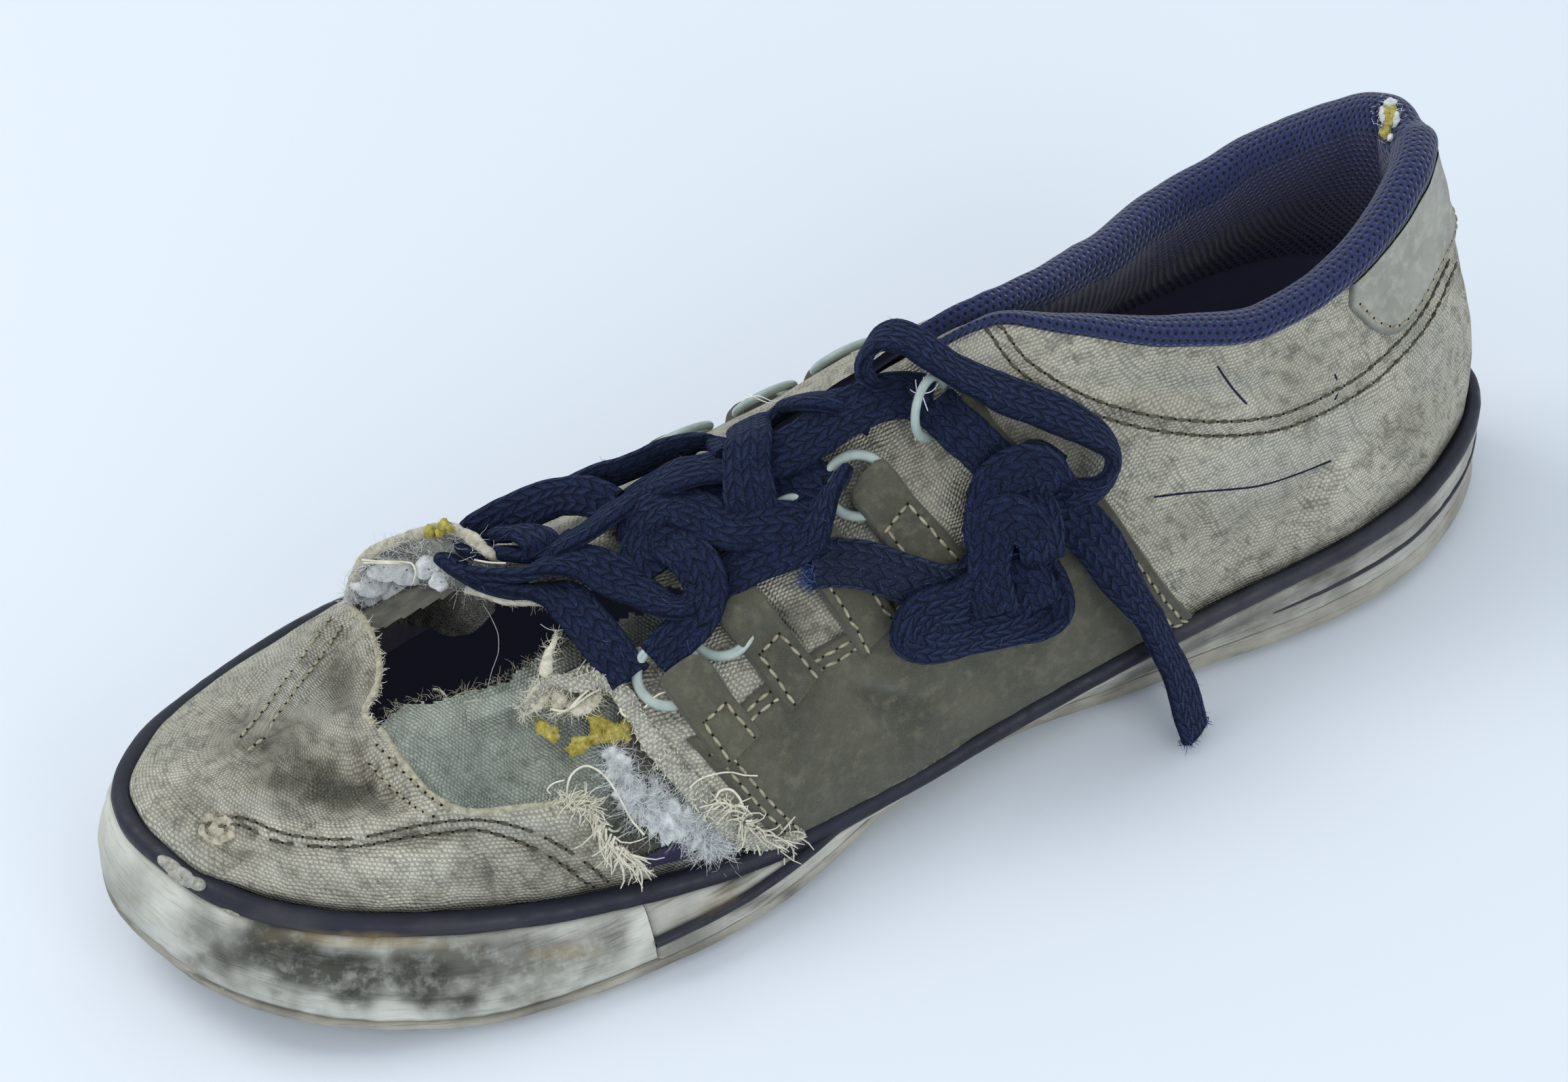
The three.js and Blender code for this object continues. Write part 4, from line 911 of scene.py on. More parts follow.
M["thread_dirty"] = plain_material("thread_dirty", rgb(184, 179, 158), rgb(132, 127, 108), rough=0.95, spec=0.1, scale=0.8, bump=0.0)
M["wadding"] = plain_material("wadding", rgb(226, 228, 228), rgb(176, 180, 182), rough=1.0, spec=0.05, scale=0.5, bump=0.6, depth=0.8, fine=3.0, sheen=0.5)
M["wadding_hair"] = plain_material("wadding_hair", rgb(240, 242, 242), rgb(206, 210, 212), rough=1.0, spec=0.05, scale=0.5, bump=0.0)
M["felt"] = plain_material("felt", rgb(104, 98, 90), rgb(72, 68, 62), rough=1.0, spec=0.05, scale=1.1, bump=0.9, depth=0.8, fine=4.0)
M["foam"] = plain_material("foam", rgb(206, 192, 104), rgb(148, 134, 62), rough=0.95, spec=0.1, scale=1.2, bump=0.9, depth=0.8, fine=5.0)
M["suede"] = suede_material("suede", rgb(78, 77, 63), rgb(56, 56, 46), rgb(104, 101, 84))
M["heel_suede"] = suede_material("heel_suede", rgb(152, 152, 142), rgb(122, 122, 112), rgb(178, 177, 166))
M["stitch"] = plain_material("stitch", rgb(176, 170, 146), rgb(124, 118, 98), rough=0.9, spec=0.1, scale=0.8, bump=0.3, fine=8.0)
M["stitch_dark"] = plain_material("stitch_dark", rgb(104, 100, 88), rgb(56, 54, 47), rough=0.9, spec=0.1, scale=0.8, bump=0.3, fine=8.0)
M["hole"] = plain_material("stitch_hole", rgb(40, 38, 34), rgb(26, 25, 22), rough=1.0, spec=0.0, scale=1.0, bump=0.0)
M["roll"] = mesh_material("collar_mesh", rgb(27, 34, 68), rgb(46, 57, 102), rgb(8, 9, 20))
M["roll_in"] = mesh_material("collar_lining", rgb(42, 44, 80), rgb(58, 62, 106), rgb(22, 22, 40))
M["ring"] = plain_material("ring_plastic", rgb(164, 178, 172), rgb(144, 158, 152), rough=0.28, spec=0.5, scale=0.4, bump=0.05, fine=5.0)
M["bumper"] = rubber_material("bumper_rubber", rgb(206, 206, 196), rgb(176, 176, 166), rgb(70, 69, 61), rough=0.66, scratches=0.5)
M["wall"] = rubber_material("wall_rubber", rgb(184, 182, 172), rgb(146, 144, 136), rgb(78, 75, 68), rough=0.64, scratches=0.75)
M["navy"] = rubber_material("band_rubber", rgb(27, 29, 44), rgb(19, 20, 32), rgb(56, 56, 60), rough=0.45, scratches=0.3)
M["tread"] = rubber_material("sole_rubber", rgb(168, 164, 152), rgb(140, 136, 126), rgb(70, 66, 60), rough=0.75, scratches=0.6)
M["rubber_scrap"] = plain_material("rubber_scrap", rgb(176, 174, 164), rgb(120, 118, 108), rough=0.75, spec=0.3, scale=0.9, bump=0.5, depth=0.5, fine=4.0)
M["wadding_warm"] = plain_material("frayed_cloth", rgb(232, 227, 208), rgb(186, 180, 160), rough=1.0, spec=0.05, scale=0.7, bump=0.9, depth=0.6, fine=4.5, sheen=0.2)
M["canvas_light"] = plain_material("worn_cloth_edge", rgb(206, 200, 180), rgb(150, 143, 124), rough=1.0, spec=0.05, scale=0.8, bump=0.8, depth=0.5, fine=5.0, sheen=0.1)
M["flap"] = canvas_material("far_flap", rgb(150, 150, 140), rgb(112, 114, 106), rgb(40, 40, 40), pitch=0.62, bump=0.2)
M["ink"] = plain_material("ink", rgb(34, 38, 62), rgb(20, 22, 40), rough=0.9, spec=0.1, scale=1.0, bump=0.0)


# ------------------------------------------------------------------ creases, placed by hand where the photograph shows them
# (height in mm, width in mm, route in the picture's pixels on the shoe's surface)
CREASES = [
    (-3.9, 7.5, [(440, 1150), (495, 1160), (545, 1170)]),  # stained hollow behind the toe
    (-1.6, 5.0, [(400, 1120), (470, 1110), (520, 1110)]),
    (2.1, 2.8, [(545, 1085), (585, 1130), (640, 1180), (690, 1200)]),  # seam ridge at the tear's toe side
    (-1.2, 2.2, [(505, 1110), (550, 1160), (600, 1195)]),
    (1.9, 2.8, [(497, 905), (460, 950), (425, 1000), (395, 1045), (355, 1095)]),  # far double seam
    (-0.9, 1.6, [(520, 915), (487, 965), (450, 1015), (415, 1055), (372, 1105)]),
    (2.0, 3.0, [(548, 935), (536, 985), (518, 1010), (510, 1045)]),  # rolled edge of the toe piece
    (-2.6, 4.0, [(490, 975), (508, 1005), (516, 1040)]),
    (-0.8, 1.5, [(345, 1200), (400, 1240), (460, 1249), (530, 1250), (600, 1236), (700, 1222), (760, 1240), (850, 1292)]),  # stitched fold
    (2.2, 3.6, [(400, 1215), (480, 1222), (560, 1215), (650, 1204), (750, 1206), (850, 1200)]),
    (1.0, 4.5, [(420, 1270), (530, 1280), (640, 1268), (760, 1275)]),
    (-1.1, 2.2, [(700, 1232), (715, 1258), (728, 1290), (735, 1318)]),  # crack down the toe side
    (-0.9, 2.4, [(260, 1160), (300, 1200), (330, 1240), (350, 1280)]),
    (0.9, 3.0, [(240, 1190), (275, 1235), (310, 1290)]),
    (-0.8, 2.6, [(330, 1010), (370, 1070), (380, 1130), (370, 1180)]),
    (-0.7, 2.8, [(430, 930), (400, 975), (360, 1020), (330, 1060)]),
    (0.8, 4.0, [(450, 1060), (420, 1100), (395, 1150), (390, 1190)]),
    (-0.7, 1.6, [(1440, 470), (1480, 520), (1530, 570), (1620, 612), (1700, 634), (1800, 645), (1900, 630), (2000, 580), (2060, 530), (2110, 470), (2150, 375)]),  # quarter seam
    (0.7, 2.6, [(1450, 455), (1500, 520), (1560, 566), (1620, 592), (1710, 612), (1800, 620), (1890, 606), (1990, 556)]),
    (-1.0, 3.4, [(1890, 800), (1925, 745), (1960, 690), (1990, 650)]),
    (0.9, 3.4, [(1925, 800), (1955, 750), (1990, 700)]),
    (-0.9, 3.0, [(1800, 850), (1840, 790), (1870, 740)]),
    (-0.8, 3.6, [(1560, 530), (1640, 560), (1740, 575), (1850, 572)]),
    (-0.6, 3.0, [(1600, 560), (1700, 590), (1800, 600)]),
    (-0.8, 3.5, [(1330, 640), (1380, 690), (1440, 730), (1480, 780)]),
    (0.6, 4.0, [(1400, 640), (1450, 690), (1490, 700)]),
    (-1.0, 3.0, [(1180, 1000), (1240, 1010), (1300, 1040), (1340, 1090)]),
    (-0.9, 2.4, [(1200, 940), (1260, 955), (1320, 960)]),
    (-0.9, 2.4, [(1240, 1010), (1300, 1030), (1360, 1035)]),
    (-0.8, 2.0, [(1110, 890), (1160, 930), (1210, 980)]),
    (-0.9, 3.0, [(1600, 850), (1650, 900), (1680, 930)]),
    (-0.8, 3.0, [(1720, 720), (1760, 760), (1790, 820)]),
]


class Finder:
    """Finds the surface point that the camera sees at a picture position."""

    def __init__(self):
        from mathutils.kdtree import KDTree
        self.rows = []
        pts, px = [], []
        for side in (-1, 1):
            s, t = np.meshgrid(np.linspace(0.01, np.pi - 0.01, 520), np.linspace(0, 1, 120), indexing="ij")
            P, N = canvas(side, s, t), normals(side, s, t)
            ok = ((EYE - P) * N).sum(-1) > 0
            self.rows.append(np.stack([np.full(ok.sum(), side), s[ok], t[ok]], 1))
            pts.append(P[ok])
            px.append(seen(P[ok]))
        self.rows = np.concatenate(self.rows)
        self.P = np.concatenate(pts)
        self.px = np.concatenate(px)
        self.depth = (EYE - self.P) @ CB
        self.tree = KDTree(len(self.px))
        for i, (x, y) in enumerate(self.px):
            self.tree.insert((x, y, 0), i)
        self.tree.balance()

    def hit(self, p):
        near = self.tree.find_range((p[0], p[1], 0), 6.0)
        if near:
            i = min(near, key=lambda q: self.depth[q[1]])[1]
        else:
            i = self.tree.find((p[0], p[1], 0))[1]
        return self.rows[i]


FIND = Finder()
_creases = None


def crease_lines():
    global _creases
    if _creases is None:
        _creases = []
        for amp, width, line in CREASES:
            rows = [FIND.hit(p) for p in line]
            pts = np.array([canvas(int(r[0]), r[1], r[2]) for r in rows]).reshape(-1, 3)
            _creases.append((amp, width, spline(pts, 2.0)))
    return _creases


def relief(P):
    """How far the worn cloth stands out from (or sinks below) the last's smooth surface."""
    shape = P.shape[:-1]
    p = P.reshape(-1, 3)
    d = np.zeros(len(p))
    for amp, width, line in crease_lines():
        lo, hi = line.min(0) - 2.6 * width, line.max(0) + 2.6 * width
        m = np.where(np.all((p > lo) & (p < hi), axis=1))[0]
        if len(m):
            dist, along = segments_distance(p[m], line)
            d[m] += 1.55 * amp * np.exp(-((dist / width) ** 2)) * (0.35 + 0.65 * np.sin(np.pi * along) ** 0.6)
    d += 0.62 * value_noise(p, 17.0, 3) + 0.38 * value_noise(p, 7.5, 5) + 0.12 * value_noise(p, 3.1, 9)
    return d.reshape(shape)


def skin(side, s, t, lift=0.0):
    """A point of the worn canvas, and the smooth surface's normal there."""
    P, N = canvas(side, s, t), normals(side, s, t)
    return P + N * (relief(P) + lift)[..., None], N


def locate(points, lift=0.0):
    """Rows of side, s, t whose worn surface shows at these picture positions."""
    rows = np.array([FIND.hit(p) for p in points])
    target = np.asarray(points, float)
    for side in (-1, 1):
        k = np.where(rows[:, 0] == side)[0]
        if not len(k):
            continue
        s, t = rows[k, 1].copy(), rows[k, 2].copy()
        for _ in range(4):
            e = 1.5e-3
            f0 = seen(skin(side, s, t, lift)[0])
            fs = (seen(skin(side, s + e, t, lift)[0]) - f0) / e
            ft = (seen(skin(side, s, t + e, lift)[0]) - f0) / e
            det = fs[:, 0] * ft[:, 1] - fs[:, 1] * ft[:, 0]
            det = np.where(np.abs(det) < 2e3, np.sign(det + 1e-9) * 2e3, det)
            r = target[k] - f0
            ds = np.clip((r[:, 0] * ft[:, 1] - r[:, 1] * ft[:, 0]) / det, -0.03, 0.03)
            dt = np.clip((fs[:, 0] * r[:, 1] - fs[:, 1] * r[:, 0]) / det, -0.03, 0.03)
            s, t = np.clip(s + ds, 0.01, np.pi - 0.01), np.clip(t + dt, 0, 1)
        rows[k, 1], rows[k, 2] = s, t
    return rows


def trace(points, step=1.0, lift=0.0, smooth_rows=2):
    """A route drawn in the picture, laid on the worn surface: points and normals every step millimetres."""
    pts = np.asarray(points, float)
    q = spline(np.column_stack([pts, np.zeros(len(pts))]), 9.0)[:, :2] if len(pts) > 2 else np.linspace(pts[0], pts[1], 12)
    rows = locate(q, lift)
    P, N = np.zeros((len(q), 3)), np.zeros((len(q), 3))
    for side in (-1, 1):
        k = rows[:, 0] == side
        if k.any():
            P[k], N[k] = skin(side, rows[k, 1], rows[k, 2], lift)
    for _ in range(smooth_rows):
        P[1:-1] = (P[:-2] + 2 * P[1:-1] + P[2:]) / 4
        N[1:-1] = unit(N[:-2] + 2 * N[1:-1] + N[2:])
    R = spline(np.hstack([P, N]), step)
    return R[:, :3], unit(R[:, 3:6])


# unrolled coordinates of each side: u along the shoe, v up from the rubber
class Chart:
    def __init__(self, side):
        self.side = side
        self.s = np.linspace(0, np.pi, 721)
        self.t = np.linspace(0, 1, 121)
        S, T = np.meshgrid(self.s, self.t, indexing="ij")
        P = canvas(side, S, T)
        mid = P[:, 40]
        self.u = np.concatenate([[0], np.cumsum(np.linalg.norm(np.diff(mid, axis=0), axis=1))])
        self.v = np.concatenate([np.zeros((len(self.s), 1)), np.cumsum(np.linalg.norm(np.diff(P, axis=1), axis=2), axis=1)], 1)

    def uv(self, s, t):
        s, t = np.broadcast_arrays(np.asarray(s, float), np.asarray(t, float))
        u = np.interp(s, self.s, self.u)
        si, ti = s / np.pi * 720, t * 120
        i, j = np.clip(si.astype(int), 0, 719), np.clip(ti.astype(int), 0, 119)
        a, b = si - i, ti - j
        v = self.v[i, j] * (1 - a) * (1 - b) + self.v[i + 1, j] * a * (1 - b) + self.v[i, j + 1] * (1 - a) * b + self.v[i + 1, j + 1] * a * b
        return np.stack([u, v], -1)


CHART = {-1: Chart(-1), 1: Chart(1)}

# ------------------------------------------------------------------ the tear
# outline of the opening in the vamp, in the picture's pixels: toe edge, seam ridge, frayed corner, rubber, quarter edge, under the laces
OPENING = [(508, 890), (524, 900), (534, 912), (541, 930), (549, 941), (551, 955), (560, 966), (556, 980), (562, 992), (553, 1003), (556, 1014), (545, 1026), (541, 1040), (534, 1047),
           (541, 1060), (552, 1068), (575, 1098), (600, 1134), (640, 1176), (690, 1196), (740, 1196), (800, 1189), (850, 1180), (870, 1184), (876, 1205), (882, 1228), (898, 1246), (925, 1264),
           (948, 1281), (957, 1306), (965, 1330), (1080, 1315), (1200, 1285), (1180, 1262), (1150, 1243), (1112, 1234), (1075, 1206), (1035, 1168), (1000, 1128), (965, 1080), (940, 1045), (915, 1018),
           (890, 1003), (862, 1010), (838, 1018), (815, 1008), (800, 1030), (778, 1046), (790, 1010), (850, 985), (930, 960), (1000, 930), (1030, 905), (1010, 870), (960, 862), (880, 868), (820, 884), (780, 883),
           (740, 878), (700, 866), (660, 850), (640, 840), (610, 834), (585, 842), (560, 860), (530, 880)]


def upper_side(side, ns, nt):
    s = np.linspace(0, np.pi, ns)
    t = np.concatenate([[-0.06, -0.02], np.linspace(0, 1, nt)])
    S, T = np.meshgrid(s, np.clip(t, 0, 1), indexing="ij")
    P, N = skin(side, S, T)
    # below the rubber's edge the canvas runs down behind the band
    P[:, 0] = P[:, 2] - outward(side, s) * 0.7 - np.array([0, 0, 4.0])
    P[:, 1] = P[:, 2] - outward(side, s) * 0.3 - np.array([0, 0, 1.5])
    uv = CHART[side].uv(S, T)
    uv[:, 0, 1] -= 4
    uv[:, 1, 1] -= 1.5
    return s, S, T, P, N, uv


def spots(P, table):
    """Soft hand-placed patches: (picture x, y, radius along x, radius along y, turn in degrees, strength)."""
    q = seen(P)
    out = np.zeros(P.shape[:-1])
    wob = 0.35 * value_noise(P, 6.0, 21) + 0.2 * value_noise(P, 2.5, 22)
    for x, y, rx, ry, a, k in table:
        c, s_ = np.cos(np.radians(a)), np.sin(np.radians(a))
        dx, dy = q[..., 0] - x, q[..., 1] - y
        r = np.sqrt(((dx * c + dy * s_) / rx) ** 2 + ((-dx * s_ + dy * c) / ry) ** 2)
        out = np.maximum(out, k * smooth(1.25 - r + wob))
    return np.clip(out, 0, 1)


DIRT = [  # soft soiling of the canvas
    (490, 1150, 120, 64, 5, 1.0), (430, 1110, 90, 50, 0, .75), (560, 990, 50, 40, 0, .5), (380, 1150, 60, 30, 0, .6), (330, 1230, 60, 60, 30, .7), (270, 1190, 60, 50, 0, .5), (530, 1180, 70, 40, 30, .7), (620, 1230, 120, 22, -5, .55),
    (830, 1270, 60, 60, 40, .6), (510, 1000, 40, 60, 0, .55), (480, 950, 30, 50, 30, .5), (700, 1290, 40, 40, 0, .5), (1140, 930, 50, 60, 45, .9), (1240, 930, 110, 50, 35, .75), (1320, 1060, 80, 50, 30, .8),
    (1230, 1030, 90, 40, 30, .6), (1400, 1070, 70, 50, 20, .6), (1600, 960, 90, 40, -20, .5), (1450, 1000, 90, 60, 0, .5), (1350, 660, 60, 60, 30, .3), (1460, 760, 60, 90, 40, .45), (1520, 660, 60, 40, 30, .3),
    (1930, 760, 50, 50, 0, .35), (1850, 820, 50, 40, 0, .35), (2060, 640, 60, 30, -40, .4), (1700, 600, 140, 30, 8, .25), (1500, 560, 50, 60, 45, .3), (1780, 770, 90, 40, 0, .25), (350, 1080, 60, 40, -50, .5),
    (650, 820, 90, 30, -25, .6), (760, 1300, 90, 30, 10, .4), (560, 1310, 120, 24, 5, .4), (1650, 930, 60, 30, -20, .5)]
STAIN = [(505, 1170, 60, 34, 0, .95), (440, 1150, 60, 24, 0, .6), (500, 1005, 22, 40, 0, .45), (545, 1185, 40, 22, 30, .6), (330, 1215, 26, 14, 10, .8), (1165, 920, 36, 26, 45, .7), (1290, 1050, 60, 9, 20, .8), (1260, 950, 70, 8, 25, .7), (1370, 1095, 40, 12, 10, .6),
         (470, 1130, 60, 20, 10, .4), (575, 1235, 60, 8, -4, .45), (680, 1226, 60, 6, -4, .5), (800, 1258, 50, 7, 28, .5), (405, 1246, 40, 8, 25, .5), (720, 1290, 7, 32, -15, .5), (1230, 900, 50, 8, 40, .5)]
PALE = [(430, 1010, 90, 90, 0, .5), (400, 1190, 120, 18, 5, .6), (600, 1290, 150, 24, 0, .35), (750, 1215, 130, 16, 2, .6), (1450, 530, 60, 40, 30, .5), (1750, 560, 160, 30, 6, .6), (1850, 690, 120, 60, -15, .5),
        (1980, 620, 60, 40, -35, .5), (2100, 520, 50, 60, -50, .45), (1650, 690, 60, 30, 30, .3), (1550, 610, 60, 30, 30, .4), (270, 1250, 60, 30, 40, .5)]


def masks(P):
    return {"dirt": spots(P, DIRT), "stain": spots(P, STAIN), "pale": spots(P, PALE)}


def build_upper():
    for side, ns, nt, name in ((-1, 640, 118, "upper_medial"), (1, 330, 64, "upper_lateral")):
        s, S, T, P, N, uv = upper_side(side, ns, nt)
        n, m = S.shape
        F = grid_faces(n, m, flip=side > 0)
        V = P.reshape(-1, 3)
        mid = V[F].mean(1)
        q = seen(mid)
        cut = in_polygon(q, OPENING) & (mid[:, 0] < -14) & (mid[:, 0] > -112)
        if side > 0:
            facing = ((EYE - mid) * N.reshape(-1, 3)[F[:, 0]]).sum(1) > -20
            cut = cut & facing & (T.reshape(-1)[F[:, 0]] > 0.40)
        F = F[~cut]
        a = masks(P)
        # grime where the canvas meets the rubber
        low = np.exp(-((T * CHART[side].v[:, -1].mean()) / 1.6) ** 2) * (.75 + .25 * value_noise(P, 5.0, 23))
        a["stain"] = np.clip(np.maximum(a["stain"], low), 0, 1)
        a["dirt"] = np.clip(np.maximum(a["dirt"], .55 * np.exp(-((T * CHART[side].v[:, -1].mean()) / 5.0) ** 2)), 0, 1)
        V, F, uvp, d1, d2, d3 = packed(V, F, uv.reshape(-1, 2), a["dirt"].ravel(), a["stain"].ravel(), a["pale"].ravel())
        make(name, V, F, M["canvas"], uv=uvp, attrs={"dirt": d1, "stain": d2, "pale": d3}, slot="canvas", replaces=("upper",))
        # inner lining
        k = 3 if side < 0 else 2
        Pi = P[::k, 2:] - N[::k, 2:] * 2.1
        Pi[:, 0] -= outward(side, s[::k]) * 0.5
        low = Pi[:, :1] - np.array([0, 0, 1.0]) * (Pi[:, :1, 2:3] - (tread_z(Pi[:, :1, 0:1]) + 8.0)) + 0
        tuck = r_tuck(s[::k])[:, None, None]
        low = low + outward(side, s[::k])[:, None] * tuck
        G = np.concatenate([low, Pi], 1)
        n2, m2 = G.shape[:2]
        F2 = grid_faces(n2, m2, flip=side < 0)
        V2 = G.reshape(-1, 3)
        mid = V2[F2].mean(1)
        cut = in_polygon(seen(mid), OPENING) & (mid[:, 0] < -14) & (mid[:, 0] > -112) & (mid[:, 2] > 22)
        if side > 0:
            # the far side's lining shows through the tear, so it stays
            cut = cut & (np.tile(np.arange(m2), n2)[F2[:, 0]] > m2 * 0.55) & (mid[:, 1] < 8)
        F2 = F2[~cut]
        near = in_polygon(seen(V2[F2].mean(1)), [(480, 840), (730, 838), (730, 884), (650, 900), (600, 930), (565, 965), (500, 930)]) & (side > 0)
        if near.any():
            V3, F3 = packed(V2, F2[near])
            make("lining_under_flap", V3, F3, M["lining_side"], slot="canvas")
        V2, F2 = packed(V2, F2[~near])
        make("lining_" + ("medial" if side < 0 else "lateral"), V2, F2, M["dark"], slot="canvas")


# ------------------------------------------------------------------ rubber: sole, wall, toe bumper, dark band
BAND_H, BUMPER_X, BUMPER_T = 3.7, -56.0, 2.8


def flat_at(side, s, off, z):
    P = outline(side, s) + outward(side, s) * np.asarray(off, float)[..., None]
    P[..., 2] = z
    return P


def round_sections(section, n=430, s0=0.0):
    """Sections at stations all round: medial side heel to toe, then lateral side toe to heel."""
    s = np.linspace(s0, np.pi, n)
    med, lat = section(-1, s), section(1, s)
    return np.concatenate([med[:-1], lat[::-1][: n - 1 if s0 == 0 else n]], 0), np.concatenate([s[:-1], s[::-1][: n - 1 if s0 == 0 else n]])


def seat(s):
    return tread_z(MID + HALF * np.cos(s)) + r_slab(s)


def ring_uv(G):
    """Along and round, in mm, of a ring of sections."""
    u = np.concatenate([[0], np.cumsum(np.linalg.norm(np.diff(G[:, 0], axis=0), axis=1))])
    v = np.concatenate([np.zeros((len(G), 1)), np.cumsum(np.linalg.norm(np.diff(G, axis=1), axis=2), axis=1)], 1)
    return np.stack([np.broadcast_to(u[:, None], v.shape), v], -1)


RUBBER_DIRT = [(560, 1440, 320, 62, 3, 1.0), (400, 1405, 130, 66, 5, 1.0), (640, 1420, 200, 40, 0, .9), (760, 1420, 160, 40, -5, .8), (880, 1400, 60, 50, 0, .6), (300, 1370, 60, 40, 20, .6), (700, 1370, 120, 20, 0, .5),
               (1040, 1400, 110, 40, -15, .5), (1300, 1260, 160, 30, -25, .5), (1550, 1080, 160, 30, -25, .5), (1850, 900, 200, 40, -22, .6), (2050, 780, 90, 50, -30, .4), (180, 1340, 50, 60, 0, .35)]
RUBBER_STAIN = [(480, 1410, 130, 16, 4, .8), (660, 1432, 90, 12, 2, .7), (360, 1425, 60, 18, 12, .6), (905, 1372, 30, 30, 40, .5), (1085, 1300, 40, 10, -30, .8), (780, 1390, 70, 9, -4, .6), (1120, 1330, 60, 9, -20, .6),
                (590, 1470, 200, 10, 2, .7), (2000, 820, 120, 8, -28, .6), (1750, 960, 140, 7, -26, .6)]
RUBBER_TAN = [(540, 1386, 130, 12, 3, .9), (830, 1405, 60, 14, -5, .5), (1060, 1330, 40, 14, -30, .4)]


def rubber_masks(P):
    return {"dirt": spots(P, RUBBER_DIRT).ravel(), "stain": spots(P, RUBBER_STAIN).ravel(), "tan": spots(P, RUBBER_TAN).ravel()}


def lerp(a, b, k):
    return a + (b - a) * k


def wall_rows(side, s):
    z0, z1 = seat(s) + .3, f_top(s) - BAND_H
    behind = smooth((s - angle(BUMPER_X) + .004) / .008) * (BUMPER_T + .3)
    off = np.maximum(r_side(s), r_tuck(s) + 3.4) - behind
    top = np.minimum(r_band(s) - .5, r_band(s) - .5 - behind * .6)
    rows = []
    for k in np.linspace(0, 1, 9):
        o = lerp(off, lerp(off, top, .35), k / .5) if k <= .5 else lerp(lerp(off, top, .35), top, (k - .5) / .5)
        # a shallow groove near the bottom and a rounded shoulder at the top
        o = o - .35 * np.exp(-((k - .18) / .05) ** 2) - .5 * smooth((k - .93) / .07)
        rows.append(flat_at(side, s, o, lerp(z0, z1, k)))
    rows.append(flat_at(side, s, top - 1.6, z1))
    return np.stack(rows, 1)


def bumper_rows(side, s):
    z0, z1 = seat(s) + .3, f_top(s) - BAND_H + .1
    a, top = r_side(s), r_band(s) + .6
    rows = [flat_at(side, s, a - 1.5, z0)]
    for k in np.linspace(0, 1, 13):
        o = lerp(a, lerp(a, top, .3), k / .5) if k <= .5 else lerp(lerp(a, top, .3), top, (k - .5) / .5)
        o = o + .45 * np.sin(np.pi * k) - .7 * smooth((.06 - k) / .06) - .8 * smooth((k - .92) / .08)
        o = o - .3 * np.exp(-((k - .22) / .035) ** 2)
        rows.append(flat_at(side, s, o, lerp(z0, z1, k)))
    rows.append(flat_at(side, s, top - 2.2, z1))
    return np.stack(rows, 1)


def band_rows(side, s):
    z0, z1 = f_top(s) - BAND_H + .3, f_top(s)
    b = r_band(s) - .55
    zs = [z0, z0, z0 + .5, lerp(z0, z1, .5), z1 - 1.1, z1 - .35, z1, z1 + .05, z1 - .9]
    of = [b - 2.2, b - .35, b + .05, b + .1, b - .1, b - .6, b - 1.5, .7, -.4]
    return np.stack([flat_at(side, s, o, z) for o, z in zip(of, zs)], 1)


def side_rows(side, s):
    x = MID + HALF * np.cos(s)
    g = r_mg(s) if side < 0 else r_lg(s)
    z = tread_z(x)
    rows = [flat_at(side, s, g - 2.5, z + .1), flat_at(side, s, g - .3, z + .1)]
    for k in (0.0, .2, .4, .6, .8, 1.0):
        rows.append(flat_at(side, s, lerp(g, r_side(s), .1 + .75 * k), z + .25 + 1.7 * k))
    zt = seat(s)
    for k in (.25, .5, .75, .95):
        o = r_side(s) + .15 - .22 * np.cos(6 * np.pi * k) ** 2 * (r_slab(s) > 4.2)
        rows.append(flat_at(side, s, o, lerp(z + 1.95, zt, k)))
    rows.append(flat_at(side, s, r_side(s) - .6, zt + .15))
    rows.append(flat_at(side, s, r_side(s) - 3, zt + .2))
    return np.stack(rows, 1)


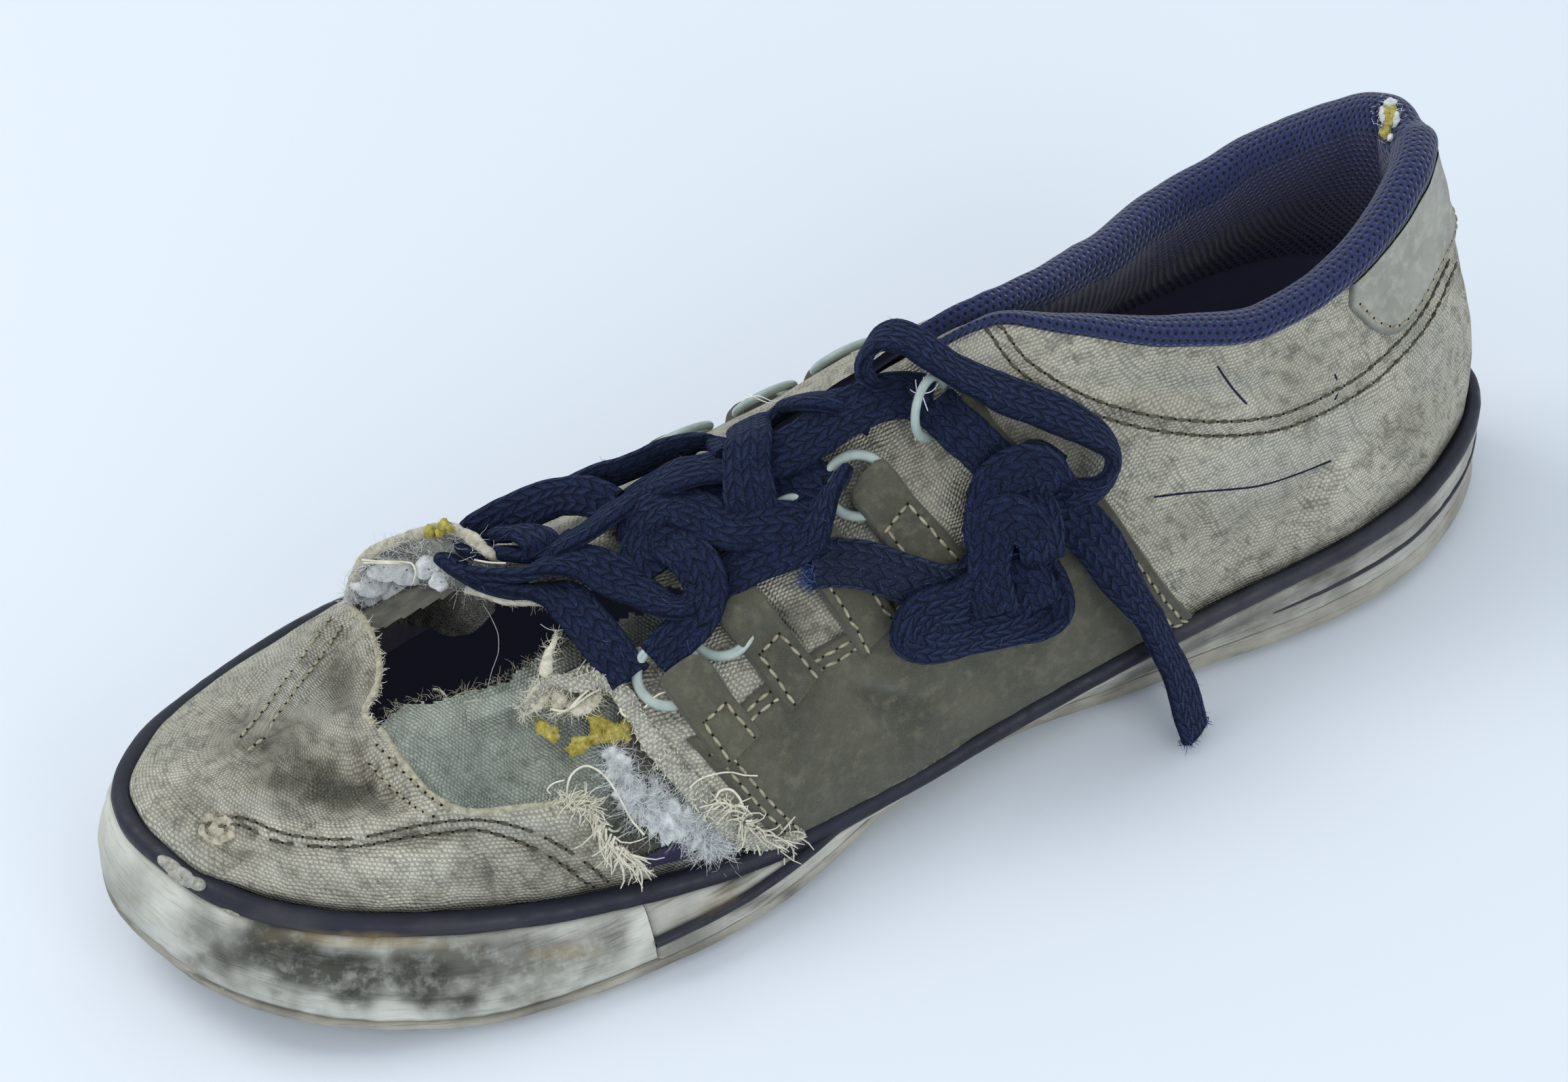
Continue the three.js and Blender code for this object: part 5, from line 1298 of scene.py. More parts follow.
def build_sole():
    def ring_piece(name, rows, mat, slot, replaces, keep=None, noise=.12):
        G, s = round_sections(rows)
        n, m = G.shape[:2]
        out = G - np.array([MID, -5.0, 0]) * 1.0
        out[..., 0] *= .35
        out[..., 2] = 0
        G = G + unit(out) * (noise * value_noise(G, 2.6, 31) + noise * 1.4 * value_noise(G, 9.0, 32))[..., None]
        uv = ring_uv(G)
        F = grid_faces(n, m, closed_i=True)
        if keep is not None:
            ok = keep(s)
            k = ok[F[:, 0] // m] & ok[F[:, 1] // m]
            F = F[k]
        V = G.reshape(-1, 3)
        # triangles must face out
        c = V[F].mean(1)
        nn = np.cross(V[F[:, 1]] - V[F[:, 0]], V[F[:, 3]] - V[F[:, 0]])
        cen = c.copy()
        cen[:, 1] = -5
        cen[:, 0] *= .7
        if ((nn * (c - cen)).sum(1)).sum() < 0:
            F = F[:, ::-1]
        ms = rubber_masks(V)
        V2, F2, uv2, a, b, t = packed(V, F, uv.reshape(-1, 2), ms["dirt"], ms["stain"], ms["tan"])
        return make(name, V2, F2, mat, uv=uv2, attrs={"dirt": a, "stain": b, "tan": t}, slot=slot, replaces=replaces)

    sb = float(angle(BUMPER_X))
    ring_piece("rubber_wall", wall_rows, M["wall"], "rubber_wall", ("sidewall",))
    ring_piece("toe_bumper_skin", bumper_rows, M["bumper"], "rubber_wall", ("toe_bumper",), keep=lambda s: s >= sb - .002, noise=.16)
    ring_piece("dark_band", band_rows, M["navy"], "rubber_dark", ("foxing_band",), noise=.08)
    ring_piece("sole_edge", side_rows, M["tread"], "rubber_sole", (), noise=.1)
    # the bumper's cut ends
    for side, nm in ((-1, "bumper_end_medial"), (1, "bumper_end_lateral")):
        s = np.array([sb - .002, sb + .012])
        G = bumper_rows(side, s)
        V = np.vstack([G[0], G[0] + 0])
        core = flat_at(side, s[:1], r_side(s[:1]) - 3.4, seat(s[:1]) + 8)[0]
        V = np.vstack([G[0], core[None]])
        k = np.arange(len(G[0]) - 1)
        F = np.stack([k, k + 1, np.full(len(k), len(G[0]))], 1)
        if side > 0:
            F = F[:, ::-1]
        make(nm, V, F, M["bumper"], uv=V[:, [0, 2]], attrs={"dirt": np.full(len(V), .6), "stain": np.full(len(V), .3), "tan": np.zeros(len(V))}, slot="rubber_wall")

    def pin_rows(side, s):
        z = seat(s) + 4.2
        off = np.maximum(r_side(s), r_tuck(s) + 3.4)
        return np.stack([flat_at(side, s, off - .8, z), flat_at(side, s, off + .62, z + .15), flat_at(side, s, off + .75, z + .8), flat_at(side, s, off + .6, z + 1.45), flat_at(side, s, off - .8, z + 1.6)], 1)

    ring_piece("wall_line", pin_rows, M["navy"], "rubber_dark", (), keep=lambda s: s <= sb, noise=.05)

    # tread: the CAD outsole's own form
    for node, name, mat, slot in (("outsole", "outsole_tread", "tread", "rubber_sole"),):
        src = frame["nodes"][node]
        me = src.data.copy()
        me.materials.clear()
        me.materials.append(M[mat])
        o = bpy.data.objects.new(name, me)
        scene.collection.objects.link(o)
        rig.ride(o, "root")
        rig.slot(o, slot)
        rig.replaces(o, node)

    # footbed, with its edge turned up a little
    s = np.linspace(0, np.pi, 200)
    med, lat = flat_at(-1, s, r_tuck(s) - 2.6, seat(s) + 4.3), flat_at(1, s, r_tuck(s) - 2.6, seat(s) + 4.3)
    k = np.linspace(0, 1, 30)
    G = med[:, None] * (1 - k)[None, :, None] + lat[:, None] * k[None, :, None]
    G[..., 2] += 1.6 * (np.abs(2 * k - 1) ** 4)[None] + .25 * value_noise(G, 9, 41)
    base = G[:, [0, -1]].copy()
    base[..., 2] -= 4.5
    G = np.concatenate([base[:, :1], G, base[:, 1:]], 1)
    make("footbed", G.reshape(-1, 3), grid_faces(*G.shape[:2]), M["footbed"], slot="footbed", replaces=("insole",))


# ------------------------------------------------------------------ collar: padded mesh roll and lining
def collar_frame(side, s):
    E, Nn = topline(side, s), normals(side, s, np.full_like(s, .995))
    up = unit(E - canvas(side, s, np.full_like(s, .96)))
    return E, Nn, up


def build_collar():
    full, end = float(angle(62)), float(angle(14))

    def rows(side, s):
        k = 1 - .72 * smooth((s - full) / (end - full))
        E, Nn, up = collar_frame(side, s)
        E = E + Nn * relief(E)[:, None]

        def over(u, o):
            return E + up * np.asarray(u)[..., None] + Nn * np.asarray(o)[..., None]

        d = 2.7
        out = [over(-.3 + 0 * k, .2 + 0 * k), over(.1 + 0 * k, .9 + 0 * k), over(.8 + .6 * k, 1.25 + 0 * k), over(.7 + 2.2 * k, 1.1 + 0 * k), over(.7 + 3.6 * k, .2 + 0 * k), over(.7 + 4.5 * k, -1.2 + 0 * k),
               over(.7 + 4.8 * k, -1.8 - 1.2 * k), over(.7 + 4.2 * k, -2.2 - 2.6 * k), over(.3 + 2.6 * k, -2.6 - 4.0 * k), over(-1.2 + .8 * k, -d - 5.2 * k)]
        low = [canvas(side, s, np.full_like(s, t)) - normals(side, s, np.full_like(s, t)) * (d + e * k)[:, None] for t, e in ((.8, 5.6), (.68, 5.0), (.55, 3.6), (.42, 1.4), (.3, .2))]
        return np.stack(out + low, 1)

    s = np.concatenate([np.linspace(0, full, 150), np.linspace(full, end, 40)[1:]])
    med, lat = rows(-1, s), rows(1, s)
    G = np.concatenate([med[::-1], lat[1:]], 0)
    # finer round the section, as a smooth curve
    n, m = G.shape[:2]
    fine = []
    for i in range(n):
        fine.append(spline(G[i], 1.0)[:, :3] if False else G[i])
    q = np.linspace(0, m - 1, 46)
    i0 = np.clip(q.astype(int), 0, m - 2)
    f = (q - i0)[None, :, None]
    gm = np.concatenate([2 * G[:, :1] - G[:, 1:2], G, 2 * G[:, -1:] - G[:, -2:-1]], 1)
    p0, p1, p2, p3 = gm[:, i0], gm[:, i0 + 1], gm[:, i0 + 2], gm[:, i0 + 3]
    G = .5 * (2 * p1 + (p2 - p0) * f + (2 * p0 - 5 * p1 + 4 * p2 - p3) * f**2 + (3 * p1 - p0 - 3 * p2 + p3) * f**3)
    uv = ring_uv(G)
    m = G.shape[1]
    split = 28
    a, b = G[:, : split + 1], G[:, split:]
    o = make("collar_roll", a.reshape(-1, 3), grid_faces(a.shape[0], a.shape[1]), M["roll"], uv=uv[:, : split + 1].reshape(-1, 2), slot="mesh_navy", replaces=("collar_pad",))
    make("collar_lining", b.reshape(-1, 3), grid_faces(b.shape[0], b.shape[1]), M["roll_in"], uv=uv[:, split:].reshape(-1, 2), slot="mesh_navy")
    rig.padded(o, .85)
    heel_hole(G)
    return o


def heel_hole(G):
    """The worn hole inside the collar at the heel, with foam showing."""
    flat = G.reshape(-1, 3)
    px = seen(flat)
    n, m = G.shape[:2]
    j = np.tile(np.arange(m), n)
    ok = (j > 16) & (j < 40)
    d = np.where(ok, np.linalg.norm(px - np.array([2048, 176]), axis=1), 1e9)
    i = int(np.argmin(d))
    c = flat[i]
    foam, edge, hair = Bag(), Bag(), Bag()
    u_, v_ = np.meshgrid(np.linspace(0, 2 * np.pi, 30)[:-1], np.linspace(.05, np.pi - .05, 16), indexing="ij")
    S = np.stack([np.cos(u_) * np.sin(v_), np.sin(u_) * np.sin(v_), np.cos(v_)], -1)
    for k, (dx, dy, wx, wy, bag) in enumerate([(0, 2, 1.5, 2.6, foam), (-.6, -1.6, 1.0, 1.4, foam), (1.2, .8, .9, 1.8, edge), (-1.2, 1.8, .7, 1.6, edge), (.4, -2.6, 1.1, .8, edge), (.2, 4.2, 1.2, .8, edge)]):
        V = c + CR * (dx + S[..., :1] * wx) + CU * (dy - 1 + S[..., 1:2] * wy) + CB * (.9 + S[..., 2:] * .8)
        V = V + S * (.35 * value_noise(V, .9, 5 + k) + .25 * value_noise(V, .5, 6))[..., None]
        bag.add(V.reshape(-1, 3), grid_faces(29, 16, closed_i=True))
    r = np.random.default_rng(5)
    st = c + CR * r.normal(0, 1.2, (500, 1)) + CU * (r.normal(.2, 1.6, (500, 1))) + CB * .9
    V, F = fibres(st, CB * .6 + r.normal(0, .8, (500, 3)), r.uniform(.4, 1.6, 500), .045, curl=.9, seed=6)
    hair.add(V, F)
    foam.make("heel_foam", M["foam"], slot="mesh_navy")
    edge.make("heel_hole_edge", M["wadding"], slot="mesh_navy")
    hair.make("heel_hole_hairs", M["wadding_hair"], slot="mesh_navy")


# ------------------------------------------------------------------ laces and rings
# middle of each stretch (x, y, z) and the way its flat side faces (nx, ny, nz); width in mm first
STRANDS = {
    "a": (9.0, [(-65.9, 9.4, 51.7, 0.59, 0.32, 0.74), (-64.1, 0.9, 53.9, 0.60, 0.37, 0.71), (-60.5, -7.0, 55.7, 0.52, 0.55, 0.65), (-54.9, -10.4, 56.2, 0.35, 0.44, 0.83), (-51.0, -14.2, 55.5, 0.11, -0.21, 0.97), (-48.9, -20.7, 53.3, -0.02, -0.36, 0.93), (-47.1, -26.7, 50.7, 0.01, -0.41, 0.91), (-45.5, -31.7, 48.3, 0.02, -0.43, 0.90)]),
    "a2": (8.5, [(-64.6, -1.7, 56.7, 0.51, 0.73, 0.46), (-58.2, -7.2, 58.4, 0.23, 0.76, 0.61), (-51.0, -8.2, 59.6, 0.02, 0.36, 0.93), (-45.7, -10.1, 59.3, 0.09, -0.11, 0.99), (-42.0, -14.2, 58.1, -0.03, -0.30, 0.95), (-38.0, -19.3, 56.6, 0.27, -0.09, 0.96), (-33.9, -24.1, 54.9, 0.40, 0.23, 0.89), (-30.3, -25.1, 54.6, 0.19, 0.38, 0.90)]),
    "b": (8.5, [(-40.3, -30.6, 49.5, -0.36, -0.49, 0.79), (-35.7, -29.8, 52.0, -0.31, -0.45, 0.84), (-31.0, -28.5, 54.0, -0.32, -0.39, 0.86), (-27.8, -26.1, 56.6, -0.55, -0.38, 0.74), (-27.0, -23.1, 59.7, -0.50, -0.47, 0.73), (-28.1, -18.4, 61.4, -0.38, -0.21, 0.90), (-29.8, -13.2, 60.9, -0.30, -0.01, 0.95)]),
    "c": (9.5, [(-5.7, 6.0, 64.2, -0.17, 0.56, 0.81), (-9.8, -5.6, 71.5, -0.16, 0.37, 0.92), (-12.3, -10.5, 69.7, -0.30, -0.25, 0.92), (-13.8, -15.4, 67.5, -0.34, -0.60, 0.72), (-13.8, -16.9, 63.6, -0.35, -0.88, 0.32), (-13.7, -18.1, 60.2, -0.33, -0.90, 0.30)]),
    "d3": (8.0, [(-40.0, 12.4, 56.9, 0.15, 0.97, 0.20), (-35.4, 11.3, 58.6, 0.18, 0.95, 0.26), (-29.0, 9.2, 60.8, 0.15, 0.94, 0.30), (-21.7, 7.7, 63.2, 0.11, 0.91, 0.40), (-16.6, 6.2, 64.4, 0.25, 0.83, 0.49), (-12.5, 4.8, 63.3, 0.49, 0.45, 0.75), (-12.6, -5.8, 69.0, 0.37, 0.44, 0.82)]),
    "d2": (8.0, [(-35.8, 0.4, 59.8, -0.57, -0.46, 0.68), (-38.7, 5.1, 60.5, -0.57, -0.34, 0.75), (-43.4, 10.0, 58.4, -0.43, -0.26, 0.86), (-49.3, 11.3, 57.1, -0.22, -0.50, 0.83), (-55.5, 11.5, 56.0, -0.21, -0.66, 0.72), (-60.5, 11.7, 54.1, 0.26, -0.59, 0.77), (-61.4, 6.7, 54.4, 0.45, 0.37, 0.81), (-55.8, 0.6, 56.6, 0.26, 0.58, 0.77), (-49.7, -3.8, 58.3, 0.01, 0.58, 0.81), (-44.7, -3.5, 59.4, -0.22, 0.42, 0.88)]),
    "d1": (8.0, [(-56.6, 5.7, 57.5, 0.25, 0.70, 0.67), (-53.4, 2.0, 60.1, 0.23, 0.46, 0.86), (-51.4, -2.7, 60.6, 0.23, -0.21, 0.95), (-51.8, -4.3, 58.3, -0.10, -0.81, 0.57)]),
    "d4": (9.0, [(-49.8, -4.5, 58.9, -0.24, 0.56, 0.79), (-43.5, -4.3, 60.7, -0.28, 0.53, 0.80), (-36.7, -3.2, 62.7, -0.23, 0.48, 0.85), (-29.1, 1.1, 61.6, -0.32, 0.40, 0.86), (-23.9, -5.1, 68.3, -0.36, 0.23, 0.91), (-17.6, -6.2, 68.0, 0.11, 0.08, 0.99), (-13.3, -7.1, 67.3, 0.13, -0.11, 0.98)]),
    "d5": (9.0, [(-34.8, -9.9, 59.7, -0.55, -0.53, 0.64), (-33.1, -8.1, 62.6, -0.55, -0.22, 0.81), (-27.6, -8.5, 64.9, -0.25, -0.03, 0.97), (-23.2, -12.8, 65.0, -0.08, -0.23, 0.97), (-19.2, -18.0, 63.4, -0.06, -0.29, 0.96), (-13.3, -20.1, 63.4, -0.10, -0.44, 0.89), (-8.0, -21.9, 62.7, 0.18, -0.49, 0.85), (-5.5, -23.6, 59.7, 0.27, -0.72, 0.64)]),
    "d6": (9.0, [(-34.3, -16.6, 56.4, -0.21, -0.59, 0.78), (-35.1, -12.4, 59.3, -0.39, -0.50, 0.77), (-31.3, -10.3, 62.0, -0.38, -0.23, 0.90), (-26.5, -10.4, 63.5, -0.29, -0.19, 0.94)]),
    "d7": (8.5, [(-22.0, 2.8, 58.5, -0.20, 0.43, 0.88), (-18.5, -7.5, 64.2, -0.23, 0.21, 0.95), (-13.1, -11.1, 63.7, -0.06, -0.24, 0.97)]),
    "e2": (8.5, [(-30.1, -23.0, 54.9, -0.24, -0.37, 0.90), (-24.1, -23.5, 56.3, -0.32, -0.39, 0.86), (-19.2, -23.6, 58.6, -0.34, -0.41, 0.85), (-13.3, -24.4, 60.2, -0.26, -0.46, 0.85), (-7.3, -24.9, 61.5, -0.25, -0.38, 0.89), (-3.0, -22.6, 63.8, -0.57, 0.23, 0.79), (0.7, -19.6, 65.7, -0.62, 0.54, 0.57), (4.3, -16.9, 66.3, -0.58, 0.69, 0.42)]),
    "e3": (8.5, [(-6.5, -8.6, 65.7, -0.25, -0.18, 0.95), (-2.7, -12.9, 65.9, -0.27, -0.33, 0.90), (0.3, -17.0, 64.6, -0.23, -0.42, 0.88)]),
    "e4": (8.5, [(-9.1, -14.5, 63.1, -0.30, -0.34, 0.89), (-4.4, -16.7, 63.8, -0.25, -0.40, 0.88), (-0.7, -19.1, 63.4, -0.21, -0.47, 0.86)]),
    "f": (9.5, [(24.2, -12.8, 73.2, 0.13, -0.69, 0.71), (19.9, -11.4, 75.4, 0.09, -0.58, 0.81), (14.1, -10.6, 75.9, -0.15, -0.43, 0.89), (7.3, -10.0, 73.9, -0.35, -0.35, 0.87), (1.1, -9.6, 71.1, -0.38, -0.31, 0.87), (-4.4, -9.2, 69.1, -0.30, -0.23, 0.92), (-10.2, -8.0, 67.8, -0.23, -0.02, 0.97)]),
    "g": (8.5, [(-4.6, 4.1, 64.3, -0.33, 0.59, 0.73), (2.2, 4.3, 67.2, -0.01, 0.76, 0.65), (4.8, -4.7, 74.7, 0.13, 0.56, 0.82), (9.7, -7.4, 74.0, 0.26, -0.04, 0.97), (13.9, -10.3, 72.0, 0.07, -0.50, 0.86)]),
    "i": (9.5, [(24.5, -14.1, 73.1, -0.25, -0.35, 0.90), (26.1, -18.8, 71.6, -0.17, -0.52, 0.84), (29.0, -22.8, 68.6, 0.04, -0.76, 0.65), (32.3, -25.5, 63.4, 0.17, -0.83, 0.53), (34.8, -27.4, 59.6, 0.12, -0.86, 0.50)]),
    "h": (9.0, [(16.7, -6.6, 74.7, -0.52, -0.81, -0.27), (14.4, -6.4, 78.9, -0.96, 0.05, -0.26), (14.4, -6.5, 83.5, -0.69, 0.64, 0.33), (17.8, -6.7, 86.7, -0.28, 0.37, 0.89), (21.8, -8.7, 86.7, 0.36, -0.15, 0.92), (25.8, -11.5, 82.8, 0.55, -0.28, 0.79), (31.0, -14.6, 78.1, 0.52, -0.23, 0.83), (38.0, -18.4, 73.3, 0.35, -0.34, 0.87), (45.6, -22.8, 69.1, 0.32, -0.36, 0.88), (51.3, -26.6, 65.0, 0.57, -0.25, 0.78), (53.3, -30.1, 61.0, 0.93, -0.31, 0.18), (50.9, -32.1, 57.6, 0.47, -0.80, -0.37), (46.5, -31.9, 56.2, -0.11, -0.98, -0.18), (41.5, -30.7, 56.1, -0.29, -0.92, 0.26), (37.0, -28.5, 57.9, -0.12, -0.77, 0.63)]),
    "j": (9.5, [(36.7, -24.8, 61.1, 0.62, -0.52, 0.58), (31.2, -29.4, 62.8, 0.45, -0.63, 0.63), (27.5, -31.6, 61.0, 0.08, -0.82, 0.57), (25.3, -34.4, 56.5, 0.07, -0.91, 0.40), (26.2, -36.2, 50.7, 0.14, -0.90, 0.42), (29.7, -37.4, 48.5, -0.27, -0.89, 0.37), (33.9, -37.8, 52.3, -0.06, -0.97, 0.22), (35.2, -35.5, 58.4, 0.07, -0.80, 0.59), (35.1, -30.1, 62.6, 0.25, -0.48, 0.84), (38.9, -26.2, 62.7, 0.52, -0.72, 0.45), (41.7, -27.4, 59.4, 0.12, -0.90, 0.42)]),
    "k": (9.5, [(31.8, -33.1, 50.9, 0.33, -0.76, 0.56), (25.6, -37.5, 48.6, 0.38, -0.87, 0.32), (17.4, -40.3, 48.4, 0.22, -0.97, 0.12), (10.4, -40.8, 49.3, 0.06, -0.94, 0.33), (6.3, -41.9, 45.9, 0.14, -0.98, 0.16), (11.5, -42.0, 41.4, 0.08, -1.00, 0.04), (19.3, -41.0, 39.3, 0.03, -1.00, 0.01), (27.4, -41.6, 39.0, -0.08, -0.99, 0.14), (33.5, -42.1, 40.2, -0.38, -0.59, 0.71), (34.3, -39.3, 44.6, -0.61, -0.71, 0.35), (31.9, -35.9, 49.8, -0.10, -0.85, 0.51)]),
    "l": (9.2, [(39.2, -26.6, 58.9, 0.01, -0.82, 0.58), (35.9, -28.3, 56.5, 0.04, -0.84, 0.54), (32.3, -30.7, 53.0, 0.15, -0.83, 0.53), (26.8, -34.7, 49.1, 0.22, -0.85, 0.48), (20.4, -36.6, 47.9, 0.17, -0.88, 0.44), (13.5, -36.8, 50.0, 0.08, -0.86, 0.50), (7.8, -34.7, 53.5, -0.03, -0.78, 0.62), (2.5, -31.6, 56.1, -0.10, -0.69, 0.71), (-2.6, -29.3, 57.2, -0.10, -0.64, 0.76), (-7.4, -28.0, 57.8, -0.08, -0.59, 0.80)]),
    "m": (9.5, [(38.4, -29.8, 55.8, 0.01, -0.85, 0.53), (42.3, -31.6, 53.0, -0.01, -0.86, 0.51), (46.3, -34.7, 47.8, 0.02, -0.90, 0.44), (49.6, -37.7, 40.1, 0.33, -0.83, 0.45), (53.0, -40.5, 32.2, 0.70, -0.53, 0.48), (55.2, -43.0, 26.1, 0.72, -0.55, 0.42), (57.2, -46.0, 17.8, 0.73, -0.58, 0.36), (58.7, -48.5, 10.1, 0.61, -0.73, 0.29), (59.6, -50.0, 2.7, 0.62, -0.76, 0.22)]),
}


def strand(key, step=.8):
    w, rows = STRANDS[key]
    R = spline(np.array(rows), step)
    return w, R[:, :3], unit(R[:, 3:6])


def lace_mesh(bag, key, thick=3.1, wmul=1.0, ends=(1.0, 1.0)):
    w, C, N = strand(key)
    k = np.linspace(0, 1, len(C))
    wob = 1 + .07 * value_noise(C, 6.0, 51) + .05 * value_noise(C, 2.5, 52)
    C = C + N * (.35 * value_noise(C, 5.0, 53))[:, None]
    width = w * wmul * wob * lerp(ends[0], 1, smooth(k / .1)) * lerp(ends[1], 1, smooth((1 - k) / .1))
    V, F, uv, caps = sweep(C, N, width, thick * (1 + .08 * value_noise(C, 4.0, 54)), around=22, power=2.9)
    V = V.reshape(-1, 3)
    bag["V"].append(V)
    bag["F"].append(F + bag["n"])
    bag["T"].append(caps + bag["n"])
    bag["uv"].append(uv)
    bag["n"] += len(V)
    return w, C, N


def new_bag():
    return {"V": [], "F": [], "T": [], "uv": [], "n": 0}


def lace_object(name, bag, mat, replaces, slot="lace_navy"):
    V, uv = np.concatenate(bag["V"]), np.concatenate(bag["uv"])
    F = np.concatenate(bag["F"])
    T = np.concatenate(bag["T"])
    tri = np.vstack([F[:, [0, 1, 2]], F[:, [0, 2, 3]], T])
    return make(name, V, tri, mat, uv=uv, slot=slot, replaces=replaces)


def fuzz(name, bag, count, lo, hi, seed, mat="hair_blue", radius=.045, droop=.05):
    V = np.concatenate(bag["V"])
    F = np.concatenate(bag["F"])
    r = np.random.default_rng(seed)
    a = V[F[:, 0]]
    nn = np.cross(V[F[:, 1]] - a, V[F[:, 3]] - a)
    area = np.linalg.norm(nn, axis=1)
    pick = r.choice(len(F), count, p=area / area.sum())
    w = r.random((count, 2))
    P = a[pick] + (V[F[pick, 1]] - a[pick]) * w[:, :1] + (V[F[pick, 3]] - a[pick]) * w[:, 1:]
    N = unit(nn[pick])
    tang = unit(np.cross(N, r.normal(size=(count, 3))))
    V2, F2 = fibres(P - N * .1, N * r.uniform(.2, 1, (count, 1)) + tang * r.uniform(.3, 1.2, (count, 1)), r.uniform(lo, hi, count) ** 1.0, radius, curl=.55, segments=3, seed=seed, droop=droop)
    return make(name, V2, F2, M[mat], slot="lace_navy")


def torus(center, normal, radius, bar, along=None, nu=64, nv=14, squash=1.0):
    n = unit(np.asarray(normal, float))
    x = unit(np.cross(n, [0.3, 0.1, 0.95])) if along is None else unit(along - n * (n @ along))
    y = np.cross(n, x)
    a = 2 * np.pi * np.arange(nu) / nu
    b = 2 * np.pi * np.arange(nv) / nv
    rad = np.cos(a)[:, None] * x + np.sin(a)[:, None] * y
    V = np.asarray(center)[None, None] + rad[:, None] * (radius + bar * np.cos(b))[None, :, None] + n[None, None] * (bar * squash * np.sin(b))[None, :, None]
    return V.reshape(-1, 3), grid_faces(nu, nv, closed_i=True, closed_j=True, flip=False)


RING_SPOTS = [  # picture position of the ring's middle, radius, lift, tip towards the sole in degrees
    ("1", (985, 995), 5.8, 2.6, 8), ("2", (1062, 922), 5.8, 2.4, 6), ("3", (1174, 780), 5.8, 2.6, 6), ("4", (1264, 716), 5.8, 2.8, 6), ("5", (1372, 600), 5.9, 2.9, 4)]
LATERAL_RINGS = [("1", -52, .6), ("2", -35, .68), ("3", -18, .76), ("4", -2, .8), ("5", 13, .84)]


def nearest_lace(px):
    best = (1e9, 0)
    for w, rows in STRANDS.values():
        C = np.array(rows)[:, :3]
        q = seen(C)
        i = int(np.argmin(np.linalg.norm(q - np.array(px), axis=1)))
        best = min(best, (float(np.linalg.norm(q[i] - np.array(px))), float(-((C[i] - EYE) @ CB))))
    return best[1]


def build_rings():
    for name, px, rad, lift, tip in RING_SPOTS:
        side, s, t = locate([px], lift)[0]
        P, N = skin(int(side), np.array([s]), np.array([t]), lift)
        P, N = P[0], N[0]
        if name == "5":  # stands on edge, with the cord through it
            d = nearest_lace(px) - 2.2
            P = EYE - CB * d + CR * ((px[0] - WIDE / 2) * d / FOCAL) - CU * ((px[1] - HIGH / 2) * d / FOCAL)
            n5 = unit(CR * .86 + CB * .46 - CU * .22)
            V, F = torus(P, n5, rad, 1.0, squash=.8)
            make("ring_near_5", V, F, M["ring"], slot="ring_plastic", replaces=("ring_medial_5",))
            continue
        down = unit(canvas(-1, np.array([s]), np.array([max(t - .05, 0)]))[0] - canvas(-1, np.array([s]), np.array([t]))[0])
        n = unit(N + down * math.tan(math.radians(tip)))
        V, F = torus(P, n, rad, 1.02, squash=.75)
        make("ring_near_" + name, V, F, M["ring"], slot="ring_plastic", replaces=("ring_medial_" + name,))
    for name, x, t in LATERAL_RINGS:
        s = np.array([float(angle(x))])
        P, N = skin(1, s, np.array([t - .14]), 1.5)
        V, F = torus(P[0], N[0], 6.0, 1.1, squash=.8)
        make("ring_far_" + name, V, F, M["ring"], slot="ring_plastic", replaces=("ring_lateral_" + name,))


CORD_TEXT = {  # key: name, CAD node, length's far end
    "j": ("lace_knot_skin", "lace_knot", "object"), "k": ("lace_flat_loop", "lace_loop_flat", "object"), "l": ("lace_frayed_end", "lace_tail_frayed", "bare"),
    "m": ("lace_long_end", "lace_tail_long", "bare"), "h": ("lace_top_loop", "lace_loop_top", "object")}


KNOT_WRAPS = [  # turns of the knot: picture route, nearness to the camera (mm before the strands below), width
    ([(1452, 742), (1470, 712), (1505, 690), (1540, 694), (1556, 720)], [(.5), 2.6, 3.4, 2.8, .6], 8.5),
    ([(1448, 800), (1470, 770), (1502, 768), (1530, 792), (1538, 824)], [.4, 2.8, 3.8, 3.0, .6], 8.8),
    ([(1430, 868), (1452, 838), (1486, 836), (1520, 862), (1534, 892)], [.4, 2.6, 3.4, 2.8, .6], 9.0),
    ([(1476, 700), (1470, 750), (1462, 800), (1458, 850), (1470, 905)], [1.0, 1.6, 1.8, 1.6, .6], 8.4)]


def knot_wraps():
    out = []
    b = new_bag()
    for pts, near, w in KNOT_WRAPS:
        base = min(nearest_lace(p) for p in pts[1:-1])
        rows = []
        for k, (p, q) in enumerate(zip(pts, near)):
            d = base + 1.0 - q
            c = EYE - CB * d + CR * ((p[0] - WIDE / 2) * d / FOCAL) - CU * ((p[1] - HIGH / 2) * d / FOCAL)
            u = k / (len(pts) - 1) * 2 - 1
            t = np.array(pts[min(k + 1, len(pts) - 1)], float) - np.array(pts[max(k - 1, 0)], float)
            t /= np.linalg.norm(t)
            n = unit(CB + (CR * t[0] - CU * t[1]) * u * .8)
            rows.append(np.concatenate([c, n]))
        R = spline(np.array(rows), .8)
        C, N = R[:, :3], unit(R[:, 3:])
        V, F, uv, caps = sweep(C, N, w * (1 + .08 * value_noise(C, 4.0, 51)), 2.9, around=22, power=2.9)
        b["V"].append(V)
        b["F"].append(F + b["n"])
        b["T"].append(caps + b["n"])
        b["uv"].append(uv)
        b["n"] += len(V)
    out.append(lace_object("knot_turns", b, M["lace"], ()))
    out.append(fuzz("knot_turn_hairs", b, 900, .8, 2.4, 333))
    return out


